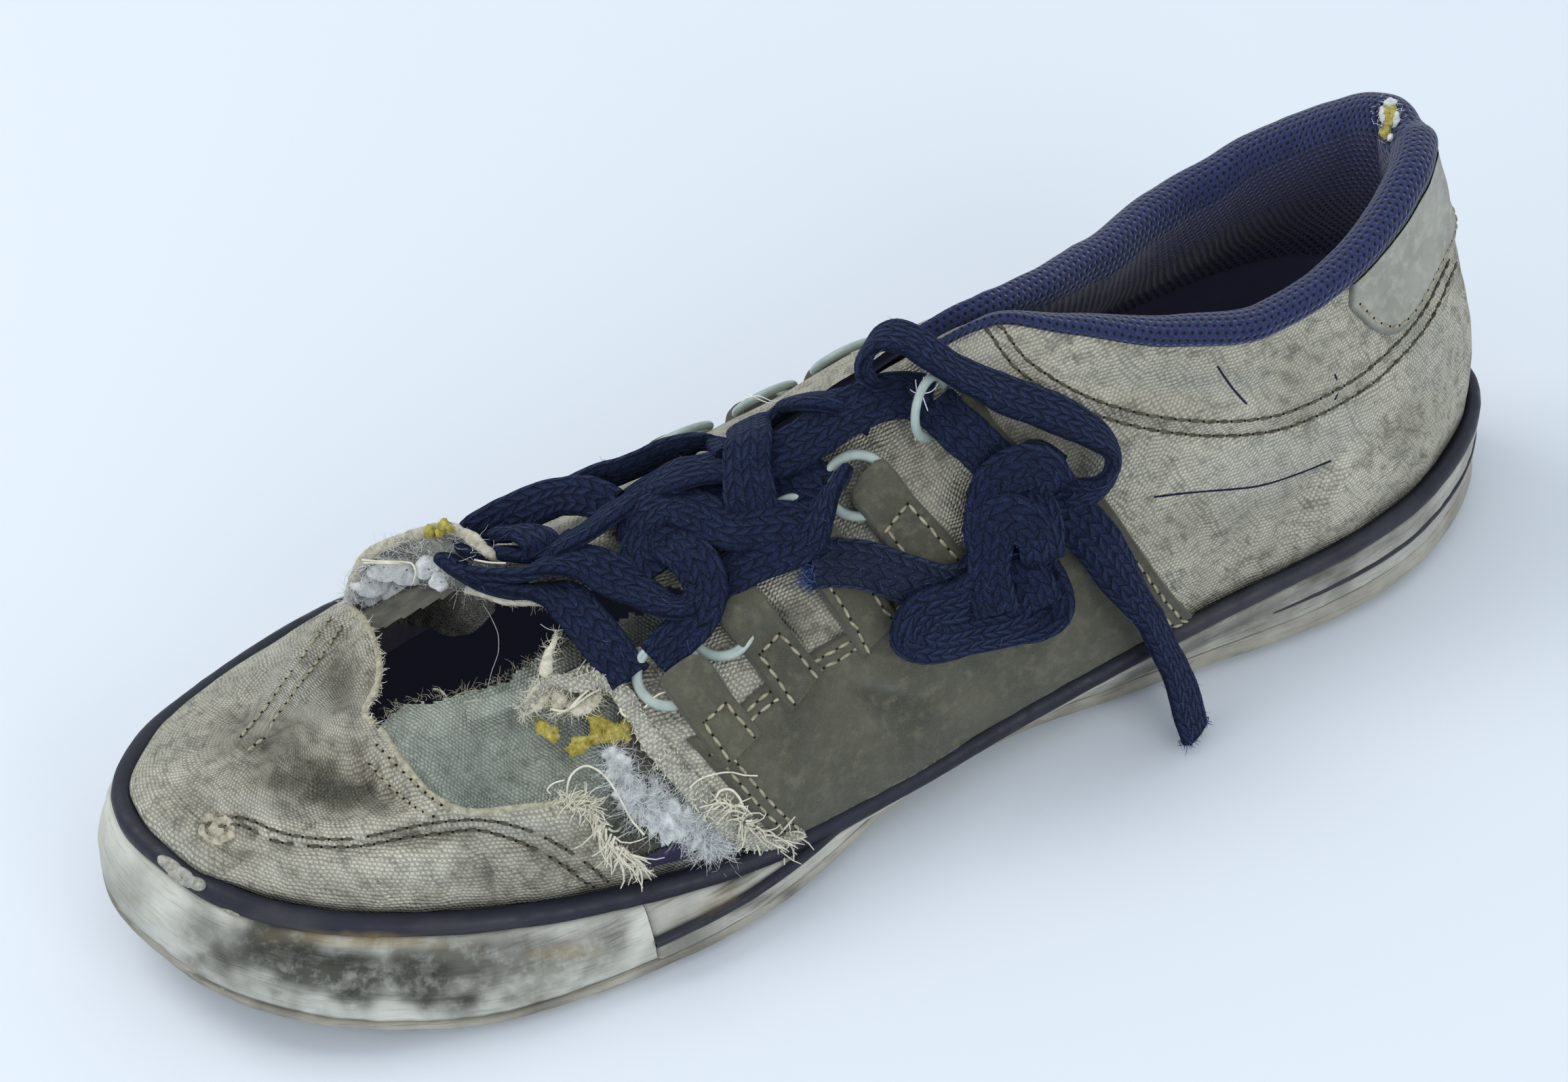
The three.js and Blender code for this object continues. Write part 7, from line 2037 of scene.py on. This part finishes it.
def build_tear():
    # inner lining, sunken behind the opening
    sheet_px = [(548, 1085), (562, 1066), (585, 1046), (640, 1028), (700, 1020), (745, 1000), (800, 966), (850, 940), (900, 920), (965, 890), (1070, 1000), (1215, 1275), (965, 1350), (700, 1280), (590, 1215), (540, 1130)]

    def sink(px, sd):
        x, y = px[..., 0], px[..., 1]
        q = np.stack([x, y, 0 * x], -1)
        base = 3.2 + 2.6 * np.exp(-(((x - 700) / 140) ** 2 + ((y - 1090) / 60) ** 2)) + 2.2 * np.exp(-(((x - 930) / 60) ** 2 + ((y - 1210) / 50) ** 2))
        folds = 1.5 * np.sin((x * .55 + y * .83) / 34.0 + 1.2 * value_noise(q, 70, 3)) * np.exp(-(((x - 690) / 150) ** 2)) + .8 * np.exp(-((x - 640 - (y - 1100) * .35) / 16.0) ** 2) * (y > 1090)
        ridge = -2.5 * np.exp(-((y - (1060 - (x - 700) * .33)) / 16.0) ** 2) * ((x > 690) & (x < 860))
        rim = -1.0 * np.exp(-(sd / 10.0) ** 2)
        return base + folds + ridge + rim + .5 * value_noise(q, 45, 4) + .25 * value_noise(q, 18, 5)

    lining = px_sheet("torn_lining", sheet_px, sink, "canvas_in", "canvas", step=4.5, ragged=5.0, uvscale=.136,
                      attrs={"dirt": lambda p: np.clip(1.1 * np.exp(-(((p[..., 0] - 960) / 110) ** 2 + ((p[..., 1] - 1250) / 60) ** 2)) + .8 * np.exp(-(((p[..., 0] - 850) / 150) ** 2 + ((p[..., 1] - 960) / 50) ** 2)) + .45 * np.exp(-(((p[..., 0] - 790) / 60) ** 2 + ((p[..., 1] - 1140) / 60) ** 2)), 0, 1),
                             "stain": lambda p: .8 * np.exp(-(((p[..., 0] - 900) / 80) ** 2 + ((p[..., 1] - 955) / 36) ** 2)) + .55 * np.exp(-(((p[..., 0] - 930) / 60) ** 2 + ((p[..., 1] - 1240) / 40) ** 2)),
                             "pale": lambda p: .5 * np.exp(-(((p[..., 0] - 650) / 90) ** 2 + ((p[..., 1] - 1060) / 40) ** 2))})
    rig.sheet(lining, flat=(0.078, 0.046), held="stretched", rests_on=("footbed",), area=None)
    # frayed top edge of the lining
    pale, dirty, wad, yel = Bag(), Bag(), Bag(), Bag()
    rim = np.array([(562, 1066), (585, 1046), (610, 1036), (640, 1028), (670, 1025), (700, 1020), (725, 1012), (745, 1000), (775, 984), (800, 968), (830, 950), (860, 938)], float)
    R = spline(np.column_stack([rim, np.zeros(len(rim))]), 3.0)[:, :2]
    r = np.random.default_rng(91)
    pick = R[r.integers(0, len(R), 420)] + r.normal(0, 3, (420, 2))
    P, N = place(pick)
    back = unit(P - EYE)
    P = P + back * 3.4
    upd = unit(CU * 1.0 + 0 * P)
    V, F = fibres(P, upd * 1.0 + r.normal(0, .8, (420, 3)), r.uniform(.8, 3.4, 420), .055, curl=.9, segments=4, seed=92)
    dirty.add(V, F)

    # far side's lining: felt-dark band over the cavity
    # foam showing under the frayed corner
    def lump(base, amp):
        return lambda px, sd: base - np.clip(sd / 5, 0, 1) * amp - .9 * value_noise(np.stack([px[..., 0], px[..., 1], 0 * px[..., 0]], -1), 9, 7) * amp - .4 * value_noise(np.stack([px[..., 0], px[..., 1], 0 * px[..., 0]], -1), 4, 8)

    px_sheet("foam_left", [(786, 1056), (802, 1060), (822, 1070), (832, 1086), (818, 1098), (800, 1092), (788, 1076)], lump(1.4, 1.2), "foam", "canvas", step=2.5, ragged=4.0, seed=41)
    px_sheet("foam_right", [(832, 1104), (846, 1088), (868, 1080), (866, 1062), (858, 1046), (878, 1046), (894, 1060), (908, 1066), (926, 1058), (942, 1074), (930, 1092), (905, 1096), (885, 1100), (862, 1110), (842, 1118)], lump(1.5, 1.3), "foam", "canvas", step=2.5, ragged=5.0, seed=43)
    # felt interlining beside the quarter's edge
    felt = px_sheet("felt_layer", [(892, 1072), (935, 1056), (962, 1095), (1000, 1140), (1050, 1190), (1075, 1215), (1040, 1230), (985, 1200), (930, 1150), (905, 1110)],
                    lambda px, sd: 2.3 - .9 * np.clip(sd / 12, 0, 1) + .4 * value_noise(np.stack([px[..., 0], px[..., 1], 0 * px[..., 0]], -1), 9, 8), "felt", "canvas", step=4.0, ragged=4.0)
    # wadding
    wadding = Bag()
    for pts, rad, sd_, lf in (([(902, 1100), (914, 1125), (926, 1152), (938, 1180), (955, 1200)], (1.2, 2.0, 2.5, 2.8, 2.4), 11, -1.9), ([(940, 1190), (975, 1208), (1015, 1214), (1050, 1232), (1078, 1252), (1094, 1272)], (2.0, 2.8, 3.0, 3.4, 3.4, 2.0), 12, -1.3),
                              ([(1015, 1225), (1045, 1250), (1070, 1272)], (2.0, 2.8, 1.6), 13, -1.7), ([(960, 1150), (985, 1180), (1010, 1200)], (1.5, 2.4, 1.8), 14, -2.2)):
        V, T, C, N, rr = blob(pts, rad, sd_, flat=.36, lift=lf, rough=.8, scale=1.1, n=24)
        wadding.add(V, T)
        V, F = hairs_round(C, N, rr, 2600, 1.5, 6.5, .04, sd_ + 100, bias=.7, curl=1.3, flat=.45)
        wad.add(V, F)
    wadding.make("wadding_quarter", M["wadding"], slot="canvas")

    # frayed, rope-like edge of the quarter
    P, N = place(np.array(spline(np.column_stack([QUARTER_EDGE, np.zeros(len(QUARTER_EDGE))]), 8.0)[:, :2]), 0.0)
    for _ in range(3):
        P[1:-1] = (P[:-2] + 2 * P[1:-1] + P[2:]) / 4
    R = spline(np.hstack([P, N]), .5)
    C, N = R[:, :3], unit(R[:, 3:])
    k = np.linspace(0, 1, len(C))
    T = unit(np.gradient(C, axis=0))
    across = np.cross(T, N)
    lift = .7 + 1.9 * np.exp(-((k - .2) / .12) ** 2) + .9 * np.exp(-((k - .95) / .1) ** 2) + .3 * value_noise(C, 4.0, 61)
    C = C + N * lift[:, None] + across * (.5 * value_noise(C, 5.0, 62))[:, None]
    wid = np.interp(k, [0, .08, .16, .25, .35, .7, .85, 1], [1.6, 2.6, 3.4, 3.6, 4.2, 4.3, 4.0, 2.4]) * (1 + .16 * value_noise(C, 3.0, 63))
    V, F, uv, caps = sweep(C, N, wid, 1.9 * (1 + .2 * value_noise(C, 2.5, 64)), around=20, power=2.2)
    Vn = V + unit(V - np.vstack([np.repeat(C, 20, 0), C[:1], C[-1:]])) * (.22 * value_noise(V, .9, 65) + .16 * value_noise(V, .5, 66))[:, None]
    TT = np.vstack([F[:, [0, 1, 2]], F[:, [0, 2, 3]], caps])
    make("quarter_frayed_edge", Vn, TT, M["canvas"], uv=uv * 1.0, attrs={"dirt": np.full(len(V), .1), "stain": np.zeros(len(V)), "pale": np.full(len(V), .5)}, slot="canvas")
    V, F = hairs_round(C, N, wid / 2, 1500, .5, 1.7, .09, 301, bias=.6, curl=.9, segments=4, flat=.5)
    pale.add(V, F)
    # hanging weft ends on the side of the cavity
    r = np.random.default_rng(17)
    n = 420
    i = r.integers(int(len(C) * .02), len(C), n)
    start = C[i] - across[i] * 0 + across[i] * (wid[i] / 2 * .8 * np.sign(.5))[:, None] * 0
    toe = unit(np.array([-1.0, -.35, 0]) + 0 * C[i])
    V, F = fibres(start + toe * (wid[i] * .3)[:, None], toe * 1.0 + N[i] * r.uniform(-.6, .6, (n, 1)) + r.normal(0, .5, (n, 3)), r.uniform(.8, 2.4, n), .13, curl=.8, segments=4, sides=4, seed=18, droop=.25)
    pale.add(V, F)

    # spike and corner
    V, T, Cs, Ns, rr = blob([(806, 1008), (808, 985), (814, 965), (824, 944)], (1.5, 1.1, .7, .25), 21, flat=.8, lift=2.2, rough=.25, scale=1.2, n=12)
    cornerbag = Bag()
    cornerbag.add(V, T)
    Vh, Fh = hairs_round(Cs, Ns, rr, 260, .8, 3.0, .05, 22, bias=.2, curl=.7)
    pale.add(Vh, Fh)
    for pts, rad, sd_, lf in (([(770, 1058), (782, 1044), (796, 1028), (808, 1010)], (.6, 1.6, 2.2, 1.6), 23, .6), ([(815, 1012), (825, 1035), (818, 1052)], (1.2, 1.6, 1.0), 24, .4), ([(832, 1040), (850, 1046), (868, 1038), (884, 1020)], (1.0, 1.5, 1.4, .9), 25, .2)):
        V, T, Cs, Ns, rr = blob(pts, rad, sd_, flat=.6, lift=lf, rough=.4, scale=1.1, n=14)
        cornerbag.add(V, T)
        Vh, Fh = hairs_round(Cs, Ns, rr, 500, .8, 3.4, .07, sd_ + 40, bias=.4, curl=.9)
        pale.add(Vh, Fh)
    cornerbag.make("frayed_corner", M["wadding_warm"], slot="canvas")
    # thread loops over the corner
    for pts, lf in (([(812, 1050), (835, 1052), (850, 1040), (870, 1022), (888, 1012)], (1.2, 1.6, 2.2, 2.6, 2.2)), ([(822, 1056), (845, 1046), (868, 1030), (892, 1020), (905, 1032)], (1.0, 1.4, 1.8, 1.8, 1.2)),
                    ([(838, 1012), (862, 1004), (885, 998), (902, 1012)], (2.0, 2.6, 2.6, 1.8)), ([(840, 1024), (862, 1014), (884, 1006), (912, 1026)], (1.8, 2.4, 2.4, 1.6)), ([(898, 1020), (918, 1034), (914, 1052), (928, 1062)], (1.6, 1.8, 1.6, 1.0))):
        loose_thread(pale, pts, lf, radius=.24)

    # tassels at both ends
    for q, (a, b) in enumerate([((880, 1212), (872, 1275)), ((886, 1222), (868, 1292)), ((893, 1232), (884, 1296)), ((900, 1240), (900, 1300)), ((908, 1248), (918, 1296)), ((918, 1256), (930, 1300)), ((930, 1266), (940, 1304)), ((942, 1276), (952, 1308)), ((874, 1196), (866, 1240)), ((912, 1250), (926, 1310))]):
        tuft(pale, a, b, 9, 6.6 if q < 6 else 4.4, .30, 400 + q, lift=.6, spread=5.0, up=.25, droop=.12, curl=.45)
    for q, (a, b) in enumerate([((1112, 1222), (1150, 1262)), ((1122, 1230), (1165, 1262)), ((1136, 1238), (1182, 1266)), ((1150, 1244), (1186, 1258)), ((1120, 1240), (1138, 1280)), ((1134, 1246), (1158, 1280)), ((1098, 1212), (1140, 1236))]):
        tuft(pale, a, b, 10, 6.4, .33, 430 + q, lift=.8, spread=6.0, up=.3, droop=.1, curl=.5)
    for q, (a, b) in enumerate([((1062, 1180), (1050, 1156)), ((1075, 1190), (1068, 1160)), ((1090, 1204), (1080, 1180))]):
        tuft(pale, a, b, 12, 5.0, .26, 460 + q, lift=1.2, spread=5.0, up=.6, droop=.2, curl=.9)
    # tuft on the lower flap's corner
    for q, (a, b) in enumerate([((842, 1186), (872, 1170)), ((856, 1184), (884, 1178)), ((868, 1188), (892, 1200)), ((838, 1190), (846, 1172))]):
        tuft(pale, a, b, 18, 4.6, .17, 480 + q, lift=.8, spread=6.0, up=.7, droop=.1, curl=.9)
    # fringe along the edges of the toe piece
    for edge, count, lo, hi, toward, seed in ((TOE_EDGE, 1100, .5, 2.2, (1.0, 0.0, .05), 501), (LOWER_EDGE, 700, .6, 2.6, (.75, .3, .1), 502), ([(560, 1075), (600, 1134), (640, 1176), (690, 1197), (740, 1196), (800, 1189)], 500, .3, 1.1, (.2, .6, .4), 503)):
        E = spline(np.column_stack([edge, np.zeros(len(edge))]), 3.0)[:, :2]
        r = np.random.default_rng(seed)
        q = E[r.integers(0, len(E), count)] + r.normal(0, 1.6, (count, 2))
        P, N = place(q, -.25)
        P = P + N * r.uniform(-.5, .35, (count, 1))
        V, F = fibres(P, unit(np.array(toward))[None] + r.normal(0, .38, (count, 3)) - N * .12, r.uniform(lo, hi, count), .075, curl=.5, segments=4, sides=3, seed=seed + 9, droop=.05)
        pale.add(V, F)
        # thickness of the cut edge
        P, N = place(E, -.45)
        R = spline(np.hstack([P, N]), .6)
        C2, N2 = R[:, :3], unit(R[:, 3:])
        V, F, uv, caps = sweep(C2, N2, 1.7 * (1 + .2 * value_noise(C2, 2.0, seed)), 1.25 * (1 + .2 * value_noise(C2, 1.6, seed + 2)), around=10, power=2.0)
        V = V + .1 * np.stack([value_noise(V, .8, 7), value_noise(V, .8, 8), value_noise(V, .8, 9)], -1)
        dirty.add(V[: len(C2) * 10], F)

    # far flap, standing up beyond the cavity
    build_far_flap(pale, wad)

    # single threads
    loose_thread(pale, [(834, 1176), (836, 1152), (848, 1140), (862, 1138), (884, 1150), (904, 1176), (922, 1204), (944, 1226)], (1.2, 4.0, 5.5, 6.0, 5.5, 4.5, 3.4, 2.4), radius=.2)
    loose_thread(pale, [(812, 1172), (806, 1166), (815, 1158), (830, 1154)], (.6, 1.2, 1.8, 2.6), radius=.14)
    loose_thread(pale, [(1014, 1160), (1028, 1148), (1046, 1139), (1070, 1136), (1092, 1140), (1110, 1140)], (1.6, 2.4, 2.8, 2.8, 2.4, 2.2), radius=.15)
    loose_thread(pale, [(948, 1048), (962, 1034), (982, 1026), (1002, 1026), (1012, 1022)], (1.8, 2.6, 2.8, 2.4, 2.0), radius=.15)
    loose_thread(pale, [(1050, 1176), (1056, 1162), (1070, 1160), (1082, 1172), (1092, 1190)], (1.6, 2.4, 2.8, 2.6, 1.8), radius=.24)
    fine = Bag()
    for pts, lf in (([(700, 870), (716, 900), (718, 930), (710, 960), (706, 1008)], (-4, -5, -6, -6, -5)), ([(852, 930), (866, 942), (872, 965), (856, 990), (846, 1010)], (1, 1.5, 2, 2, 1)), ([(505, 862), (508, 845), (528, 832), (545, 830)], (2, 4, 5, 4)),
                    ([(688, 1000), (690, 1018), (680, 1038)], (-4, -4, -3.6)), ([(800, 930), (812, 938), (826, 940), (838, 936)], (2, 2.4, 2.6, 2.4))):
        loose_thread(fine, pts, lf, radius=.055, sides=4)
    for pts, lf in (([(632, 1000), (642, 1004), (652, 1014), (662, 1026)], (-3.4, -3.0, -3.2, -3.6)), ([(650, 1018), (672, 1010), (700, 1006), (728, 1008)], (-3.4, -3, -3, -3.6)), ([(610, 1036), (650, 1026), (700, 1021), (740, 1004)], (-3.4, -3.2, -3.2, -3.4)), ([(620, 1034), (660, 1027), (705, 1020)], (-3.0, -2.8, -3.0))):
        loose_thread(dirty, pts, lf, radius=.22)
    pale.make("frayed_yarn", M["thread"], slot="canvas")
    dirty.make("worn_yarn", M["thread_dirty"], slot="canvas")
    wad.make("wadding_hairs", M["wadding_hair"], slot="canvas")

    # loose ends beyond the throat
    for pts in ([(1098, 588), (1118, 584), (1140, 592), (1160, 590)], [(1104, 582), (1126, 592), (1146, 598)], [(1338, 572), (1352, 580), (1372, 578), (1384, 566)], [(1350, 560), (1352, 590), (1346, 622), (1350, 650)], [(1362, 556), (1360, 580), (1368, 606)]):
        pts = np.array(pts, float)
        d0 = nearest_lace(tuple(pts[len(pts) // 2])) - 2.5
        Cx = at_depth(pts, np.full(len(pts), d0) - .5 * np.sin(np.linspace(0, 3, len(pts))))
        Rx = spline(np.hstack([Cx, np.broadcast_to(CB, (len(Cx), 3))]), .5)
        V, F, u2, caps = sweep(Rx[:, :3], Rx[:, 3:], .22, .22, around=5, power=2.0)
        fine.add(V[: len(Rx) * 5], F)
    # torn patch over the dark band at the toe
    patch = Bag()
    for x, y, w, h_, a_ in ((252, 1279, 2.4, 1.3, -38), (268, 1292, 2.6, 1.5, -34), (286, 1303, 1.6, 1.1, -28), (360, 1349, 3.4, .5, -14)):
        p0, _ = place([(x + 18, y - 22)])
        d0 = float(depth_of(p0)[0]) - (1.0 if w < 3 else .2)
        c0 = at_depth(np.array([[x, y]], float), np.array([d0]))[0]
        u_, v_ = np.meshgrid(np.linspace(0, 2 * np.pi, 26)[:-1], np.linspace(.05, np.pi - .05, 14), indexing="ij")
        S = np.stack([np.cos(u_) * np.sin(v_), np.sin(u_) * np.sin(v_), np.cos(v_)], -1)
        ca, sa = math.cos(math.radians(a_)), math.sin(math.radians(a_))
        X1, Y1 = CR * ca + CU * sa, CU * ca - CR * sa
        V = c0 + X1 * S[..., :1] * w * 1.3 + Y1 * S[..., 1:2] * h_ - CB * .3 + CB * S[..., 2:] * .7
        V = V + S * (.5 * value_noise(V, 1.6, 5) + .3 * value_noise(V, .7, 6))[..., None]
        patch.add(V.reshape(-1, 3), grid_faces(25, 14, closed_i=True))
    fine.make("fine_hairs", M["wadding_hair"], slot="canvas")
    patch.make("torn_band_patch", M["rubber_scrap"], slot="rubber_wall")
    # worn hole in the toe's seam
    hole = Bag()
    V, T, C, N, rr = blob([(296, 1214), (310, 1206), (330, 1210), (342, 1224), (330, 1238), (310, 1238), (298, 1226), (296, 1214)], (.7, .8, .8, .8, .8, .8, .7, .7), 31, flat=.5, lift=.1, rough=.8, scale=1.2, n=10)
    hole.add(V, T)
    Vh, Fh = hairs_round(C, N, rr, 420, .4, 1.8, .05, 33, bias=.6, curl=.6)
    hole.add(np.asarray(Vh), np.vstack([Fh[:, [0, 1, 2]], Fh[:, [0, 2, 3]]]))
    V, T, C, N, rr = blob([(306, 1224), (332, 1224)], (1.9, 1.9), 34, flat=.3, lift=-.3, rough=.3, scale=1.6, n=14)
    hole.add(V, T)
    hole.make("toe_hole", M["canvas_light"], slot="canvas", uv=None)


def build_far_flap(pale, wad):
    base_px = np.array([(512, 893), (535, 884), (560, 874), (590, 866), (620, 862), (650, 862), (680, 866), (705, 872), (735, 868)], float)
    top_px = np.array([(514, 888), (524, 850), (540, 822), (572, 803), (615, 788), (655, 779), (688, 789), (716, 812), (742, 830)], float)
    base, _ = place([(540, 880), (600, 845), (660, 850), (730, 872)])
    dep = depth_of(base)
    d_of = lambda x: np.interp(x, [540, 600, 660, 730], dep)
    k = np.linspace(0, 1, 80)
    B = np.stack([np.interp(k, np.linspace(0, 1, len(base_px)), base_px[:, j]) for j in (0, 1)], -1)
    Tp = np.stack([np.interp(k, np.linspace(0, 1, len(top_px)), top_px[:, j]) for j in (0, 1)], -1)
    Bc = spline(np.column_stack([base_px, 0 * base_px[:, 0]]), 3.0)
    Tc = spline(np.column_stack([top_px, 0 * top_px[:, 0]]), 3.0)
    B = np.stack([np.interp(k, np.linspace(0, 1, len(Bc)), Bc[:, j]) for j in (0, 1)], -1)
    Tp = np.stack([np.interp(k, np.linspace(0, 1, len(Tc)), Tc[:, j]) for j in (0, 1)], -1)
    b = np.linspace(-.9, 1, 48)
    px = B[:, None] * (1 - b)[None, :, None] + Tp[:, None] * b[None, :, None]
    q = np.stack([px[..., 0], px[..., 1], 0 * px[..., 0]], -1)
    rise = (B[:, None, 1] - px[..., 1]) / 7.3 / math.cos(math.radians(EL))
    depth = d_of(px[..., 0]) - rise * math.sin(math.radians(EL)) * .8 + 1.2 + 1.0 * value_noise(q, 26, 71) + .5 * value_noise(q, 11, 72)
    P = at_depth(px, depth)
    n, m = P.shape[:2]
    # front, with the wadding's grey, and the cloth behind it
    uv = np.stack([px[..., 0] * .136, px[..., 1] * .136], -1).reshape(-1, 2)
    back = P - CB * 1.3
    grey = np.clip(1.15 - np.abs(b - .35) / .45, 0, 1)[None] * np.ones((n, 1))
    low = np.clip((.2 - b) / .4, 0, 1)[None] * np.ones((n, 1))
    make("far_flap_front", P.reshape(-1, 3), grid_faces(n, m, flip=True), M["flap"], uv=uv, attrs={"dirt": np.clip(low * 1.0 + .15, 0, 1).ravel(), "stain": (low * .8).ravel(), "pale": (grey * .6).ravel()}, slot="canvas")
    make("far_flap_back", back.reshape(-1, 3), grid_faces(n, m), M["canvas"], uv=uv, attrs={"dirt": np.full(n * m, .4), "stain": np.zeros(n * m), "pale": np.full(n * m, .1)}, slot="canvas")
    # rolled rim
    R = spline(np.hstack([(P[:, -1] + back[:, -1]) / 2, np.broadcast_to(CB, (n, 3))]), .6)
    V, F, u2, caps = sweep(R[:, :3], R[:, 3:], 2.3 * (1 + .2 * value_noise(R[:, :3], 3, 4)), 1.7, around=12, power=2.2)
    V = V + .16 * np.stack([value_noise(V, 1.0, 7), value_noise(V, 1.0, 8), value_noise(V, 1.0, 9)], -1)
    TT = np.vstack([F[:, [0, 1, 2]], F[:, [0, 2, 3]], caps])
    make("far_flap_rim", V, TT, M["canvas_light"], slot="canvas")
    # hairs all over, denser to the left
    r = np.random.default_rng(77)
    cnt = 5200
    i = (r.beta(1.1, 1.9, cnt) * (n - 1)).astype(int)
    j = r.integers(int(m * .42), m, cnt)
    S = P[i, j] + CB * .1 + r.normal(0, .35, (cnt, 3))
    d = CB * r.uniform(.1, .9, (cnt, 1)) + CU * r.normal(.1, .6, (cnt, 1)) + CR * r.normal(.1, .7, (cnt, 1))
    V, F = fibres(S, d, r.uniform(1.5, 5.0, cnt), .04, curl=1.1, segments=5, seed=78)
    wad.add(V, F)
    # soft lumps
    lumps = Bag()
    for q_, (x, y, w) in enumerate([(545, 858, 3.0), (566, 838, 2.6), (600, 842, 2.8), (585, 872, 2.6), (556, 880, 2.2), (632, 838, 2.2), (650, 858, 1.6), (540, 890, 2.0)]):
        c = at_depth(np.array([[x, y]]), np.array([float(d_of(x)) - (B[:, 1].mean() - y) / 7.3 * .8 * .9 - .2]))[0]
        u_, v_ = np.meshgrid(np.linspace(0, 2 * np.pi, 22)[:-1], np.linspace(.05, np.pi - .05, 14), indexing="ij")
        S = np.stack([np.cos(u_) * np.sin(v_), np.sin(u_) * np.sin(v_), np.cos(v_)], -1)
        V = c - CB * .5 + (CR * S[..., :1] * w * 1.35 + CU * S[..., 1:2] * w * 1.05 + CB * S[..., 2:] * w * .24)
        V = V + S * (.7 * value_noise(V, 1.4, 5) + .4 * value_noise(V, .6, 6))[..., None]
        lumps.add(V.reshape(-1, 3), grid_faces(21, 14, closed_i=True))
    lumps.make("far_flap_wadding", M["wadding"], slot="canvas")
    # threads and specks of foam
    for pts in ([(533, 826), (560, 828), (592, 829), (608, 832), (613, 845), (610, 858)], [(536, 830), (570, 831), (598, 832)], [(700, 826), (722, 830), (746, 831)]):
        pts = np.array(pts, float)
        dd = d_of(pts[:, 0]) - 6.5 - .4 * np.sin(np.linspace(0, 3, len(pts)))
        C = at_depth(pts, dd)
        R = spline(np.hstack([C, np.broadcast_to(CB, (len(C), 3))]), .5)
        V, F, u2, caps = sweep(R[:, :3], R[:, 3:], .42, .42, around=6, power=2.0)
        pale.add(V[: len(R) * 6], F)
    specks = Bag()
    for x, y, w in ((655, 774, 1.2), (634, 784, 1.4), (648, 786, .9), (664, 780, .8)):
        c = at_depth(np.array([[x, y]]), np.array([float(d_of(x)) - 10.5]))[0]
        u_, v_ = np.meshgrid(np.linspace(0, 2 * np.pi, 14)[:-1], np.linspace(.05, np.pi - .05, 10), indexing="ij")
        S = np.stack([np.cos(u_) * np.sin(v_), np.sin(u_) * np.sin(v_), np.cos(v_)], -1)
        V = c + S * w
        V = V + S * (.4 * value_noise(V, .7, 5))[..., None]
        specks.add(V.reshape(-1, 3), grid_faces(13, 10, closed_i=True))
    specks.make("foam_specks", M["foam"], slot="canvas")
    # cut canvas edge left of the laces
    pts = np.array([(690, 868), (715, 874), (745, 881), (780, 885), (822, 886)], float)
    P, N = place(pts, -.2)
    R = spline(np.hstack([P, N]), .6)
    V, F, u2, caps = sweep(R[:, :3], R[:, 3:], 2.2 * (1 + .2 * value_noise(R[:, :3], 3, 4)), 1.6, around=12, power=2.2)
    V = V + .14 * np.stack([value_noise(V, .9, 7), value_noise(V, .9, 8), value_noise(V, .9, 9)], -1)
    pale.add(V[: len(R) * 12], F)
    V, F = hairs_round(R[:, :3], unit(R[:, 3:]), np.full(len(R), .9), 500, .6, 2.2, .05, 88, bias=.5, curl=.7)
    pale.add(V, F)


EXTRA = [build_suede, build_tongue, build_tear]


# ------------------------------------------------------------------ floor and light
def build_stage():
    me = bpy.data.meshes.new("floor")
    a = 3.0
    me.from_pydata([(-a, -a, 0), (a, -a, 0), (a, a, 0), (-a, a, 0)], [], [(0, 1, 2, 3)])
    me.materials.append(floor_material())
    floor = bpy.data.objects.new("floor", me)
    scene.collection.objects.link(floor)
    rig.stage(floor)

    def area(name, loc, aim, size, power, color=(1, 1, 1), size_y=None):
        L = bpy.data.lights.new(name, "AREA")
        L.shape = "RECTANGLE"
        L.size, L.size_y = size, size_y or size
        L.energy = power
        L.color = color
        o = bpy.data.objects.new(name, L)
        scene.collection.objects.link(o)
        o.location = loc
        o.rotation_euler = (Vector(aim) - Vector(loc)).to_track_quat("-Z", "Y").to_euler()
        return o

    area("key", (-0.6, 0.55, 1.3), (0, 0, 0.03), 0.8, 8.2, (1.0, 0.99, 0.97), 0.8)
    area("fill_left", (-1.3, -0.5, 0.7), (0, 0, 0.03), 0.9, 2.6, (0.95, 0.98, 1.0))
    area("fill_front", (0.35, -1.5, 0.75), (0, 0, 0.05), 1.0, 9.0, (0.97, 0.99, 1.0))

    world = bpy.data.worlds.new("world")
    scene.world = world
    world.use_nodes = True
    bg = world.node_tree.nodes["Background"]
    bg.inputs[0].default_value = (0.86, 0.93, 1.0, 1)
    bg.inputs[1].default_value = 0.80
    scene.view_settings.view_transform = "Standard"
    scene.view_settings.look = "None"
    scene.view_settings.exposure = 0.0


def floor_material():
    n = Net("floor", rough=0.8, spec=0.1)
    n.color(rgb(220, 226, 234))
    return n.m


build_stage()
build_upper()
build_sole()
build_collar()
build_rings()
build_laces()
for extra in EXTRA:
    extra()
SIZES["at_end"] = [[float(v) for v in c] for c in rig.bounds()]
with open("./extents.json", "w") as f:
    json.dump(SIZES, f)
